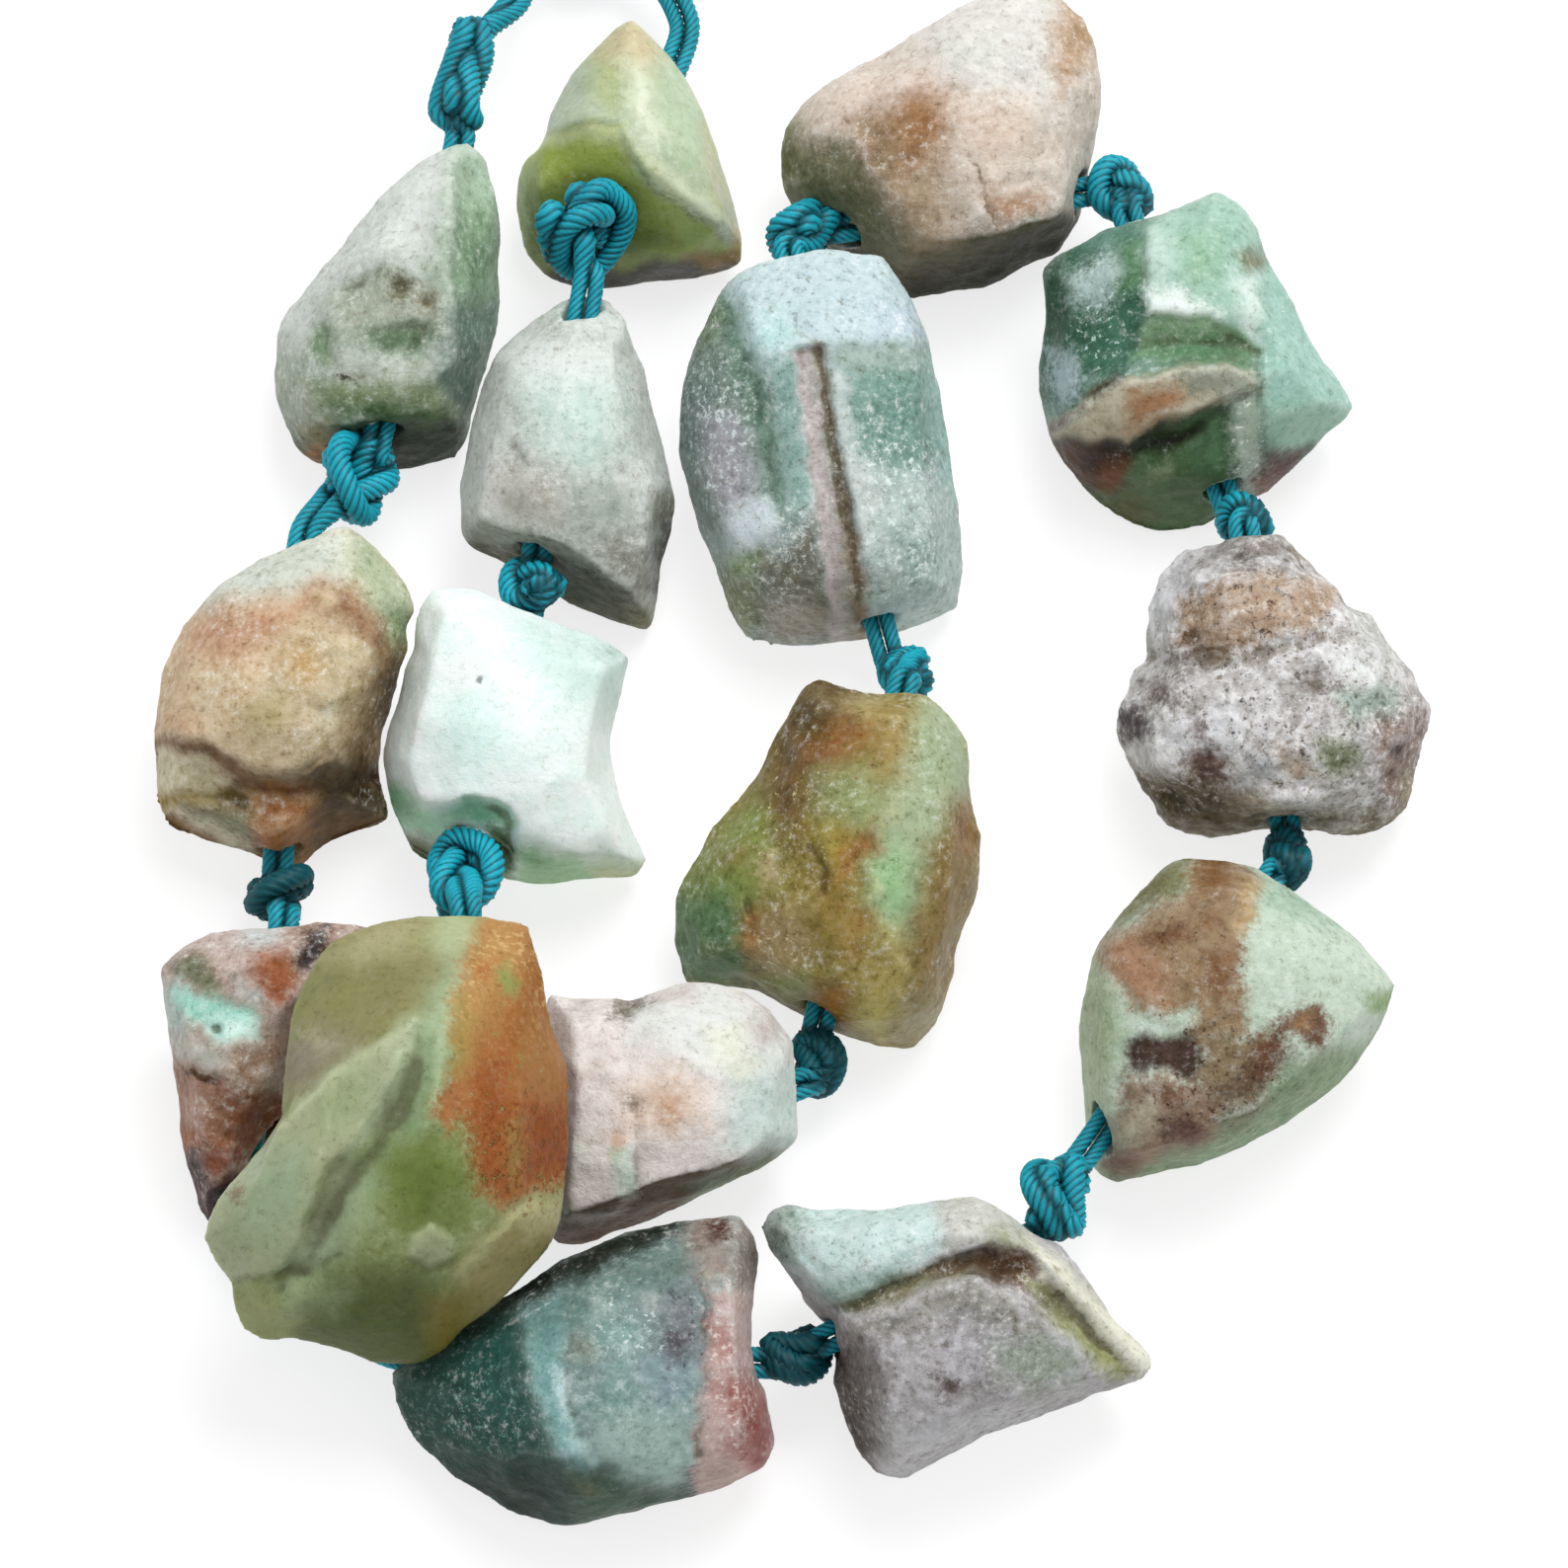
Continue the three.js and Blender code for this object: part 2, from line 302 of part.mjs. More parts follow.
    // nearly white, waisted on its right, with a hollow where the cord comes out
    name: "nugget_14", colour: 0xcfd8d2, at: [-19.9, 3.1, 7.5],
    bore: [[-22.4, -6.2, 6.6], [-18.3, 13.2, 8.4]],
    hollow: { at: [-22.2, -5.6, 6.4], radius: 2.9 },
    rim: [
      [-5.5, 10.9], [-3.5, 11.2], [-1.8, 10.9], [-0.8, 10], [1.6, 9.1], [4.6, 7.9], [7.8, 6.8], [9, 5.7],
      [8.4, 4.3], [7.8, 2.2], [7.3, -0.2], [7.4, -2.6], [8.1, -5], [9.2, -7], [10, -9], [9.2, -10.4],
      [5.6, -10.4], [2, -11], [0.4, -10.4], [-2.4, -9.8], [-5, -9.8], [-7.2, -8.7], [-7.9, -6.8],
      [-8.8, -4.4], [-9.3, -1.6], [-8.9, 0.6], [-8, 2.6], [-7.8, 4.8], [-7, 6.4], [-7.1, 8], [-6.4, 9.8],
    ],
    crown: [
      [-4.6, 9, 3.4], [-5.6, 5.4, 4.4], [-1.4, 7.2, 5.2], [3.4, 5.8, 5.2], [7.2, 5, 3.4], [-6.2, 1.6, 5.2],
      [-1.8, 3, 6.8], [2.8, 1.6, 6.8], [5.8, 0.4, 5], [-7.6, -2, 4.8], [-3, -1.2, 7.4], [1.8, -2.6, 7.4],
      [5.8, -3.4, 5.6], [-6.4, -4.6, 5.4], [-3.8, -4.4, 6.8], [-0.8, -4.5, 6.8], [1.2, -6.6, 6.2],
      [6.8, -6.8, 4.8], [1.8, -8.8, 4.6], [5.2, -8.8, 4.6], [8.8, -9, 2.4],
    ],
  },
  {
    // frosted grey-green wedge, narrow at its far end, with a dark face along its near side
    name: "nugget_15", colour: 0xa9b0a6, at: [-15.8, 23.1, 7.5],
    bore: [[-18.6, 13.3, 7.6], [-14.2, 36.6, 11.2]],
    rim: [
      [-0.5, 12, -2], [1.2, 12.5, -2.2], [3, 12.2, -2], [4.4, 10.5], [5.3, 8], [6.1, 5], [6.8, 2],
      [7.4, -0.4], [8, -2.8], [7.4, -5], [7, -8], [6.6, -10.8], [6, -12.3], [4.4, -12.1], [1.4, -10.9],
      [-1.8, -9.2], [-5, -7.2], [-7.2, -6.2], [-8, -5], [-7.8, -1.8], [-7.4, 1.6], [-6.4, 5], [-5.2, 8.2],
      [-2.8, 10.4, -1.4],
    ],
    crown: [
      [0.8, 9.6, 2.8], [-2.8, 7.6, 3.4], [3.4, 7.4, 4], [-0.2, 4.8, 6], [4.2, 3.6, 5.2], [-5, 3, 4.2],
      [-1.6, 0.6, 7], [2.8, -0.2, 7.2], [-6, -1.8, 4.8], [6.3, -1.8, 4.8], [-2.2, -3.2, 7.2],
      [2.4, -4, 7.4], [-6.4, -4.4, 4.6], [-3.6, -5.3, 6], [-0.4, -6.2, 6.8], [2.4, -8, 6.2],
      [4.8, -10, 4.6], [5.4, -4.6, 5.8], [5.4, -8, 5],
    ],
  },
  {
    // pale mint above a ridge, dark translucent green below it
    name: "nugget_16", colour: 0x93a47f, at: [-11.4, 46, 7],
    bore: [[-14.2, 39.4, 9.4], [-7.7, 53.6, 6.2]],
    rim: [
      [0.3, 10.2], [2, 8.5], [3.8, 6.1], [5.2, 3.9], [6.3, 1], [7.2, -1.6], [7.9, -4.6], [8.7, -6.6],
      [8.4, -8.2], [6.6, -8.9], [3, -9.4], [-0.6, -10.1], [-3.4, -10.2], [-6, -9.3], [-7.7, -7.5],
      [-8.3, -5], [-8.6, -2.6], [-8.2, -0.6], [-6.8, 0.2], [-6.1, 1.6], [-5.5, 3.6], [-4.4, 5.9],
      [-2.8, 7.6], [-1.2, 9.4],
    ],
    crown: [
      [-0.2, 7.6, 3], [2, 4.6, 4.6], [-2.6, 4.6, 4.6], [4.4, 0.8, 5], [0.2, 2.6, 6.4], [-4.2, 2.2, 5],
      [6.2, -2.6, 4.6], [2.6, -0.6, 6.8], [-6, 0.6, 3.4], [-2.8, 1.8, 6.4], [-0.4, 1.4, 7], [1.6, -1.4, 7.3],
      [4.2, -3.5, 6.9], [7.2, -5.3, 4.8], [-6.7, -3, 3.6], [-3.8, -2, 4.6], [-0.6, -3, 4.6],
      [2.2, -5.2, 4.4], [5.4, -6.8, 3.4], [-5.4, -6.4, 2.6], [-1.6, -7.2, 2.2], [2.6, -8, 2],
    ],
  },
];

// The knots, in the order of the nuggets that follow them: middle [u, v, height], then half its length along
// the cord and half its breadth.
const KNOTS = [
  { at: [-23.5, 50.4, 8.4], long: 3.4, broad: 2.7 },
  { at: [-31.3, 22.4, 6.6], long: 2.9, broad: 2.7 },
  { at: [-36.5, -8, 3.6], long: 2, broad: 2.6 },
  { at: [-35.3, -36.1, 3.4], long: 2.7, broad: 2.4 },
  { at: [1, -41.4, 5.6], long: 2.6, broad: 2.2 },
  { at: [19.2, -29.8, 7], long: 3.3, broad: 2.6 },
  { at: [36.3, -6, 5], long: 2.4, broad: 2 },
  { at: [33.4, 18.9, 6.8], long: 2, broad: 2 },
  { at: [24.5, 43.1, 7], long: 2.3, broad: 2.2 },
  { at: [0.4, 39.8, 7], long: 2.3, broad: 2.1 },
  { at: [8.8, 7.6, 5.6], long: 2.3, broad: 1.9 },
  { at: [2.6, -20.4, 3.8], long: 2.4, broad: 1.9 },
  { at: [-20.2, -33.9, 3.8], long: 2.5, broad: 2.2 },
  { at: [-23.1, -7.2, 8.6], long: 3, broad: 2.4 },
  { at: [-18.5, 14, 8.2], long: 2.2, broad: 2.1 },
  { at: [-14.7, 38.9, 10], long: 3, broad: 2.2 },
];
const CLOSING_KNOT = { at: [-14.6, 62.4, 3.2], long: 3.1, broad: 2.9 };
// the cord's way from the closing knot down to the first knot, and from the last nugget back up
const LEFT_ARM = [CLOSING_KNOT.at, [-18.4, 59.6, 4.6], [-21, 55, 7.4], KNOTS[0].at];
const RIGHT_ARM = [[-8.3, 52, 6.5], [-7.7, 53.6, 6.2], [-7.4, 56, 5.6], [-9.6, 59.6, 4.2], CLOSING_KNOT.at];

// ---- solids ----

function solid(geometry) {
  geometry.deleteAttribute("normal");
  geometry.deleteAttribute("uv");
  const merged = mergeVertices(geometry, 1e-4);
  return new wasm.Manifold(
    new wasm.Mesh({
      numProp: 3,
      vertProperties: merged.attributes.position.array,
      triVerts: new Uint32Array(merged.index.array),
    }),
  );
}

function geometryOf(body) {
  const mesh = body.getMesh();
  const geometry = new THREE.BufferGeometry()
    .setAttribute("position", new THREE.BufferAttribute(new Float32Array(mesh.vertProperties), 3))
    .setIndex(new THREE.BufferAttribute(new Uint32Array(mesh.triVerts), 1));
  geometry.computeVertexNormals();
  return geometry;
}

// ---- nuggets ----

// Corners round a middle, joined up as the hull of their directions: a faceted skin that may dip inwards.
function facets(corners) {
  const directions = corners.map((corner) => corner.clone().normalize());
  const index = new Map(directions.map((direction, i) => [direction, i]));
  return new ConvexHull().setFromPoints(directions).faces.map((face) => {
    const { edge } = face;
    return [edge.prev.vertex.point, edge.vertex.point, edge.next.vertex.point].map((p) => index.get(p));
  });
}

// Halves the longest edge until none is longer than LONGEST_EDGE.
function halveLongEdges(corners, triangles) {
  const length = (a, b) => corners[a].distanceTo(corners[b]);
  for (;;) {
    let longest = LONGEST_EDGE;
    let ends = null;
    for (const triangle of triangles)
      triangle.forEach((a, i) => {
        const b = triangle[(i + 1) % 3];
        if (length(a, b) > longest) {
          longest = length(a, b);
          ends = [a, b];
        }
      });
    if (!ends) return triangles;
    const [a, b] = ends;
    const middle = corners.push(corners[a].clone().lerp(corners[b], 0.5)) - 1;
    triangles = triangles.flatMap((t) =>
      t.includes(a) && t.includes(b)
        ? [t.map((i) => (i === a ? middle : i)), t.map((i) => (i === b ? middle : i))]
        : [t],
    );
  }
}

// Tumbling: each corner goes a little way to the mean of its neighbours.
function tumble(corners, triangles) {
  const neighbours = corners.map(() => new Set());
  for (const triangle of triangles)
    triangle.forEach((a, i) => {
      neighbours[a].add(triangle[(i + 1) % 3]);
      neighbours[a].add(triangle[(i + 2) % 3]);
    });
  return corners.map((corner, i) => {
    const mean = new THREE.Vector3();
    for (const n of neighbours[i]) mean.add(corners[n]);
    return corner.clone().lerp(mean.divideScalar(neighbours[i].size), SOFTNESS);
  });
}

// A line's corners, with more set between them so that none is further than LEDGE_STEP from the next.
function followed(line) {
  return line.flatMap((corner, i) => {
    if (i === line.length - 1) return [corner];
    const steps = Math.ceil(corner.distanceTo(line[i + 1]) / LEDGE_STEP);
    return Array.from({ length: steps }, (_, step) => corner.clone().lerp(line[i + 1], step / steps));
  });
}

function cornersOf({ at, rim, crown, ledges = [], underside = UNDERSIDE }) {
  const fromSheet = ([x, y, out = RIM_DEPTH + RIM_SLOPE * y]) =>
    new THREE.Vector3(x, 0, 0).addScaledVector(sheetUp, y).addScaledVector(sheetOut, out);
  const widened = ([x, y, ...out]) => {
    const wider = 1 + WEAR / Math.hypot(x, y);
    return [x * wider, y * wider, ...out];
  };
  const edge = rim.map((point) => fromSheet(widened(point)));
  const middleHeight = at[2];
  const below = underside.flatMap(([reach, share], ring) =>
    edge
      .filter((_, i) => i % (ring + 2) === 0)
      .map((p) => new THREE.Vector3(p.x * reach, p.y * reach, (p.z + middleHeight) * share - middleHeight)),
  );
  const alongLedges = ledges.flatMap((line) => followed(line.map(fromSheet)));
  return [...edge, ...crown.map(fromSheet), ...alongLedges, ...below];
}

function roughNugget(nugget) {
  const corners = cornersOf(nugget);
  const triangles = halveLongEdges(corners, facets(corners));
  const table = -nugget.at[2];
  const worn = tumble(corners, triangles);
  worn.forEach((corner, i) => {
    corner.z = corners[i].z < table + FOOT ? table : Math.max(corner.z, table);
  });
  const geometry = new THREE.BufferGeometry().setFromPoints(worn).setIndex(triangles.flat());
  return solid(geometry);
}

// A straight drilled hole from mouth to mouth, run on past both.
function boreTool(nugget, middle) {
  const [from, to] = nugget.bore.map((p) => onSheet(p).sub(middle));
  const along = to.clone().sub(from);
  const length = along.length() + BORE_OVERRUN;
  const geometry = new THREE.CylinderGeometry(BORE_RADIUS, BORE_RADIUS, length, BORE_SIDES);
  geometry.applyQuaternion(
    new THREE.Quaternion().setFromUnitVectors(new THREE.Vector3(0, 1, 0), along.clone().normalize()),
  );
  const centre = from.addScaledVector(along, 0.5);
  return solid(geometry.translate(centre.x, centre.y, centre.z));
}

function lump({ at, long, broad }, axis, grow = 0) {
  const geometry = new THREE.SphereGeometry(1, 8, 4).scale(broad + grow, long + grow, broad + grow);
  geometry.applyQuaternion(new THREE.Quaternion().setFromUnitVectors(new THREE.Vector3(0, 1, 0), axis));
  const middle = onSheet(at);
  return geometry.translate(middle.x, middle.y, middle.z);
}

// The way the cord points as it passes through knot i.
function knotAxis(i) {
  const before = i > 0 ? onSheet(NUGGETS[i - 1].bore[1]) : onSheet(LEFT_ARM[2]);
  return onSheet(NUGGETS[i].bore[0]).sub(before).normalize();
}

function nuggetMesh(nugget) {
  const middle = onSheet(nugget.at);
  let body = roughNugget(nugget).subtract(boreTool(nugget, middle));
  if (nugget.hollow) {
    const centre = onSheet(nugget.hollow.at).sub(middle);
    const bowl = new THREE.IcosahedronGeometry(nugget.hollow.radius, 1);
    body = body.subtract(solid(bowl.translate(centre.x, centre.y, centre.z)));
  }
  KNOTS.forEach((knot, i) => {
    const seat = solid(lump(knot, knotAxis(i), CLEARANCE).translate(-middle.x, -middle.y, -middle.z));
    if (body.intersect(seat).volume() > 0) body = body.subtract(seat);
  });
  const material = new THREE.MeshStandardMaterial({ color: nugget.colour, roughness: 0.5, metalness: 0 });
  const mesh = new THREE.Mesh(geometryOf(body), material);
  mesh.name = nugget.name;
  mesh.position.copy(middle);
  return mesh;
}

// ---- cord ----

// A path that bends only at its own points, with one step between each pair.
class Polyline extends THREE.Curve {
  constructor(points) {
    super();
    this.points = points;
  }

  getPoint(t, target = new THREE.Vector3()) {
    const place = t * (this.points.length - 1);
    const i = Math.min(Math.floor(place), this.points.length - 2);
    return target.lerpVectors(this.points[i], this.points[i + 1], place - i);
  }

  getPointAt(t, target) {
    return this.getPoint(t, target);
  }

  getTangentAt(t, target) {
    return this.getTangent(t, target);
  }
}

function cordTube(points) {
  const section = new THREE.Shape();
  for (let side = 0; side < CORD_SIDES; side++) {
    const angle = (2 * Math.PI * side) / CORD_SIDES;
    section[side ? "lineTo" : "moveTo"](CORD_RADIUS * Math.cos(angle), CORD_RADIUS * Math.sin(angle));
  }
  const route = new Polyline(points);
  const options = { extrudePath: route, steps: points.length - 1, bevelEnabled: false };
  return solid(new THREE.ExtrudeGeometry(section, options));
}

function tail(side) {
  const [u, v] = CLOSING_KNOT.at;
  const route = TAIL.map(([aside, up]) => [u + side * aside, v + up, TAIL_HEIGHT]);
  return cordTube([CLOSING_KNOT.at, ...route].map(onSheet));
}

function cordMesh() {
  const middles = KNOTS.map((knot) => onSheet(knot.at));
  const throughNugget = ({ bore }, i) =>
    cordTube([middles[i], ...bore.map(onSheet), ...middles.slice(i + 1, i + 2)]);
  const pieces = [
    ...NUGGETS.map(throughNugget),
    ...KNOTS.map((knot, i) => solid(lump(knot, knotAxis(i)))),
    solid(lump(CLOSING_KNOT, new THREE.Vector3(1, 0, 0))),
    cordTube(LEFT_ARM.map(onSheet)),
    cordTube(RIGHT_ARM.map(onSheet)),
    tail(-1),
    tail(1),
  ];
  const body = pieces.reduce((all, piece) => all.add(piece));
  const material = new THREE.MeshStandardMaterial({ color: 0x108a9a, roughness: 0.8, metalness: 0 });
  const mesh = new THREE.Mesh(geometryOf(body), material);
  mesh.name = "cord";
  return mesh;
}

// ---- the strand ----

const strand = new THREE.Group();
strand.add(...NUGGETS.map(nuggetMesh), cordMesh());
const footprint = new THREE.Box3().setFromObject(strand).getCenter(new THREE.Vector3());
strand.position.set(-footprint.x, -footprint.y, 0);

export default strand;
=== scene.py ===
# %% [markdown]
# # A strand of rough amazonite nuggets
# Sixteen tumbled lumps of amazonite hang on a doubled teal cord, with a knot between each pair. The packed
# solids give every lump its place, its size and its main facets. This lesson turns those plain solids into
# worn, mottled stone, and the plain tube into twisted thread with real knots.

import math

import bmesh
import bpy
import numpy as np
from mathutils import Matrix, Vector


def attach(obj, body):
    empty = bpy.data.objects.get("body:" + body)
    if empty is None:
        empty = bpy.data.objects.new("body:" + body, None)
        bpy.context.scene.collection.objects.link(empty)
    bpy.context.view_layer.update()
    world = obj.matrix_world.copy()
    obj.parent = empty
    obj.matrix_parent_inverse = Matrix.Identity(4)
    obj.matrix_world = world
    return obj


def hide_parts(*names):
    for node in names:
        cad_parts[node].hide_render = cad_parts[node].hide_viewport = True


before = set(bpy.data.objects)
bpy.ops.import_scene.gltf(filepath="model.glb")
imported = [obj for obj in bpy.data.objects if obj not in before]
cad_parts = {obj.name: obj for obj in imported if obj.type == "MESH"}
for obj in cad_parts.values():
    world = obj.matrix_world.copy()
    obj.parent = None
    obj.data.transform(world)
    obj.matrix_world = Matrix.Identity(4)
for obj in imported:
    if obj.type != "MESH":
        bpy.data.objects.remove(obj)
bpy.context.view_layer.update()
MM = 0.001
print("solids:", len(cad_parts))

# %% [markdown]
# The strand was drawn on a sheet that leans back by 20 degrees from the table: u runs to the right and v up
# the sheet. A stone's own millimetres are measured the same way from its middle: right, up the sheet and out
# of it.

# %% The leaning sheet
LEAN = math.radians(20)
SHEET_UP = Vector((0, math.cos(LEAN), math.sin(LEAN)))
SHEET_OUT = Vector((0, -math.sin(LEAN), math.cos(LEAN)))
STRAND_SHIFT = Vector((-0.6167, -9.1065, 0))


def on_sheet(u, v, height):
    """A place on the sheet, and its height over the table, in mm, as a point in metres."""
    y = (v - height * math.sin(LEAN)) / math.cos(LEAN)
    return (Vector((u, y, height)) + STRAND_SHIFT) * MM


# %% [markdown]
# The camera comes first. It looks straight at the sheet from above, through a long lens, as one would picture
# a strand laid out on a table.

# %% Camera
CAMERA_DISTANCE = 1.1
VIEW_WIDTH = 113.43 * MM
SENSOR = 36
NEAREST = 0.05

aim = on_sheet(0, -0.4, 7)
camera_data = bpy.data.cameras.new("camera")
camera_data.sensor_width = SENSOR
camera_data.lens = SENSOR * CAMERA_DISTANCE / VIEW_WIDTH
camera_data.clip_start = NEAREST
camera = bpy.data.objects.new("camera", camera_data)
camera.location = aim + SHEET_OUT * CAMERA_DISTANCE
camera.rotation_euler = (math.pi / 2 - math.asin(SHEET_OUT.z), 0, 0)
bpy.context.scene.collection.objects.link(camera)
bpy.context.scene.camera = camera
print("lens", round(camera_data.lens), "mm")

# %% [markdown]
# A few small helpers. An operator acts on all that is selected, so one object is picked at a time. A modifier
# is added and applied at once, so each piece ends as a plain mesh.

# %% Helpers for modelling


def pick(piece):
    if bpy.context.object and bpy.context.object.mode != "OBJECT":
        bpy.ops.object.mode_set(mode="OBJECT")
    bpy.ops.object.select_all(action="DESELECT")
    piece.select_set(True)
    bpy.context.view_layer.objects.active = piece


def finish_with(piece, kind, **settings):
    pick(piece)
    modifier = piece.modifiers.new(kind.lower(), kind)
    for key, value in settings.items():
        setattr(modifier, key, value)
    bpy.ops.object.modifier_apply(modifier=modifier.name)


def copy_of(node, name):
    piece = bpy.data.objects.new(name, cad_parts[node].data.copy())
    bpy.context.scene.collection.objects.link(piece)
    pick(piece)
    bpy.ops.object.mode_set(mode="EDIT")
    bpy.ops.mesh.select_all(action="SELECT")
    bpy.ops.mesh.remove_doubles(threshold=0.01 * MM)
    bpy.ops.object.mode_set(mode="OBJECT")
    piece.data.materials.clear()
    return piece


def triangles(piece):
    return sum(len(face.vertices) - 2 for face in piece.data.polygons)


# %% [markdown]
# Colours are given the way they look in daylight, as a code of red, green and blue from 00 to ff. Blender
# wants them linear, so they are converted once here.

# %% Colours


def paint(code):
    """A colour such as "c9dddb", as Blender's linear red, green, blue and alpha."""
    shown = [int(code[i:i + 2], 16) / 255 for i in (0, 2, 4)]
    return tuple(c / 12.92 if c < 0.04 else ((c + 0.055) / 1.055) ** 2.4 for c in shown) + (1,)


# %% [markdown]
# Each stone is written down as a small card. `at` is its middle. `skin` says how lumpy, chipped and crumbly
# it is, `grit` how strongly its pale and dark flecks show, and `wax` how clear it is. `body` holds the two
# colours that drift into each other through the whole stone, `frost` the sugar that lies on it, `under` the
# colour and strength of the painted shade on the side that faces down and towards the near edge, and `web` a
# net of veins. `marks` are the stains, veins and pale patches, and on some stones patches of painted shade
# and
# painted shadow, laid on in order: a patch is an outline, a spot is a soft ellipse, and one noise frays the
# edges of both. `dots` are clusters of specks. `cuts` are the slabs, grooves, ridges, steps, bosses and pits
# that the hammer and the drum left.
#
# Lengths are in millimetres, but an outline is a row of x, y, x, y and so on in tenths of a millimetre, which
# keeps a long row of points short.

# %% The words on the cards
LINE_REACH = 1.5


def in_tenths(outline):
    """Points in millimetres, from x, y, x, y and so on in tenths of a millimetre."""
    return [(x / 10, y / 10) for x, y in zip(outline[::2], outline[1::2])]


def patch(colour, strength, soft, fray, *outline):
    """An outline in tenths. Its edge fades over about soft millimetres to either side, and noise frays it."""
    return {"points": in_tenths(outline), "colour": colour, "strength": strength, "soft": soft, "grain": fray}


def spot(x, y, wide, high, colour, strength=0.9, turn=0, soft=0.5, grain=0.5):
    return {"x": x, "y": y, "wide": wide, "high": high, "turn": turn, "colour": colour,
            "strength": strength, "soft": soft, "grain": grain}


def streak(x1, y1, x2, y2, width, colour, strength=0.9, soft=0.6, grain=0.4):
    long = math.hypot(x2 - x1, y2 - y1) / 2 + width / 2
    turn = math.degrees(math.atan2(y2 - y1, x2 - x1))
    return spot((x1 + x2) / 2, (y1 + y2) / 2, long, width / 2, colour, strength, turn, soft, grain)


def ridge(points, width, height, ragged=1.0):
    return {"kind": "line", "points": points, "width": width * LINE_REACH, "out": height, "ragged": ragged}


def groove(points, width, depth, ragged=1.0):
    return ridge(points, width, -depth, ragged)


def step(points, reach, height):
    """Raises what lies to the left of the line, seen along it, and fades over reach."""
    return {"kind": "step", "points": points, "width": reach, "out": height, "ragged": 1.0}


def slab(height, edge, ragged, *outline):
    """Raises all that lies inside an outline in tenths. A minus lowers it."""
    return {"kind": "slab", "points": in_tenths(outline), "width": edge, "out": height, "ragged": ragged}


def boss(x, y, width, height):
    return {"kind": "round", "points": [(x, y)], "width": width, "out": height}


def pit(x, y, width, depth):
    return boss(x, y, width, -depth)


# %% The cards, along the left side
STONES = {}
card = STONES["nugget_01"] = {
    "at": (-28.9, 34.6, 7.5), "skin": (0.8, 0.6, 0.6), "grit": (0.7, 0.6), "wax": 0.25,
    "body": ("b2bcb2", "9dab9a"), "frost": ("e2e6e1", 0.5), "under": ("22301f", 0.95),
}
card["marks"] = [
    patch("c6cbc6", 0.95, 1.6, 0.5, 60, 126, 46, 80, 44, 30, 0, 34, -20, 14, -46, 0, -60, -30, -94, -30, -90,
        10, -40, 60, 10, 106),
    patch("dde2de", 0.8, 2.4, 0.5, 46, 110, 34, 54, 6, 36, -14, 60, 14, 96),
    patch("8fa98a", 0.95, 2.4, 0.5, 62, 124, 89, 80, 87, 10, 64, -14, 42, -4, 46, 50, 51, 96),
    patch("b5c6b0", 0.8, 1, 0.5, 76, 94, 89, 74, 87, 14, 78, 10, 74, 50),
    patch("64796f", 0.95, 1.6, 0.5, 40, -6, 89, 4, 84, -40, 62, -86, 36, -80),
    patch("889e90", 0.7, 1, 0.5, 64, -10, 88, 0, 80, -42, 66, -60),
    patch("a6ac9d", 0.95, 1.6, 1.2, -40, 4, 0, 20, 38, 10, 36, -16, 0, -14, -30, -20),
    patch("63795f", 0.95, 0.9, 0.5, -18, -22, 6, -16, 29, -14, 34, -28, 18, -39, -8, -37),
    patch("6c8265", 0.95, 0.7, 0.5, -54, -16, -46, -17, -42, -30, -36, -49, -48, -46, -55, -32),
    patch("8c9383", 0.8, 0.6, 0.9, -34, 9, -7, 27, -5, 21, -30, 3),
    patch("6d6a52", 0.85, 0.6, 1.3, 0, 16, 9, 23, 20, 14, 16, 1, 5, 1),
    patch("847d66", 0.8, 0.6, 1.2, 22, 4, 36, 6, 36, -5, 25, -6),
    patch("c9cdc2", 0.6, 1.2, 0.5, -38, -44, 0, -44, 34, -44, 30, -58, -10, -59, -34, -56),
    patch("83926b", 0.95, 1.2, 0.5, -60, -60, -10, -59, 38, -62, 46, -83, 0, -79, -50, -76),
    patch("4f6a44", 0.95, 0.9, 0.5, -40, -74, -6, -72, 36, -78, 36, -88, -10, -86, -40, -86),
    patch("a4aa9a", 0.8, 1.4, 0.5, -82, -50, -54, -66, -46, -90, -60, -96, -80, -76),
    patch("8a835f", 0.95, 1, 0.5, -64, -90, -44, -88, -40, -110, -56, -114),
    patch("9c6340", 0.7, 0.6, 0.5, -60, -107, -48, -103, -46, -114, -56, -116),
    # painted shade on the near, lower face
    patch("232c1c", 0.95, 1.4, 0.5, -6, -89, 38, -89, 54, -96, 58, -124, -10, -126),
    spot(-4.6, -9.9, 0.5, 0.3, "2c2418", 0.9),
    streak(-3.4, -5.4, -2.2, -5.9, 0.5, "4a4a34", 0.9, grain=1.2),
    patch("b9cdbb", 0.8, 1.6, 0.5, 48, 118, 64, 124, 82, 94, 78, 74, 54, 78),
    patch("708971", 0.7, 2, 0.5, 48, 50, 74, 52, 74, 12, 48, 10),
]
card["cuts"] = [
    groove([(-4.8, -1.6), (-4.4, -3), (-3.8, -4.6)], 0.6, 0.4), pit(1.1, 1.2, 0.8, 0.45),
    pit(3, 0, 0.6, 0.35), groove([(-3.4, 0.8), (-2, 1.4), (-0.6, 2.6)], 0.5, 0.35),
    boss(-0.6, 3.6, 1.6, 0.35), ridge([(4.6, 10.5), (4.3, 4), (4, -3), (3.6, -7)], 1.0, 0.45),
    slab(-0.3, 0.5, 0.6, -18, -22, 6, -16, 30, -14, 34, -28, 18, -39, -8, -37), pit(-2.8, -5.6, 0.5, 0.3),
    pit(-0.5, -8.8, 1.5, 0.5),
]
card = STONES["nugget_02"] = {
    "at": (-36.4, 6, 8), "skin": (0.8, 0.6, 0.6), "grit": (0.8, 0.7), "wax": 0.2,
    "body": ("d8c6aa", "c9b394"), "frost": ("e0d4be", 0.5), "under": ("4a3720", 0.85),
}
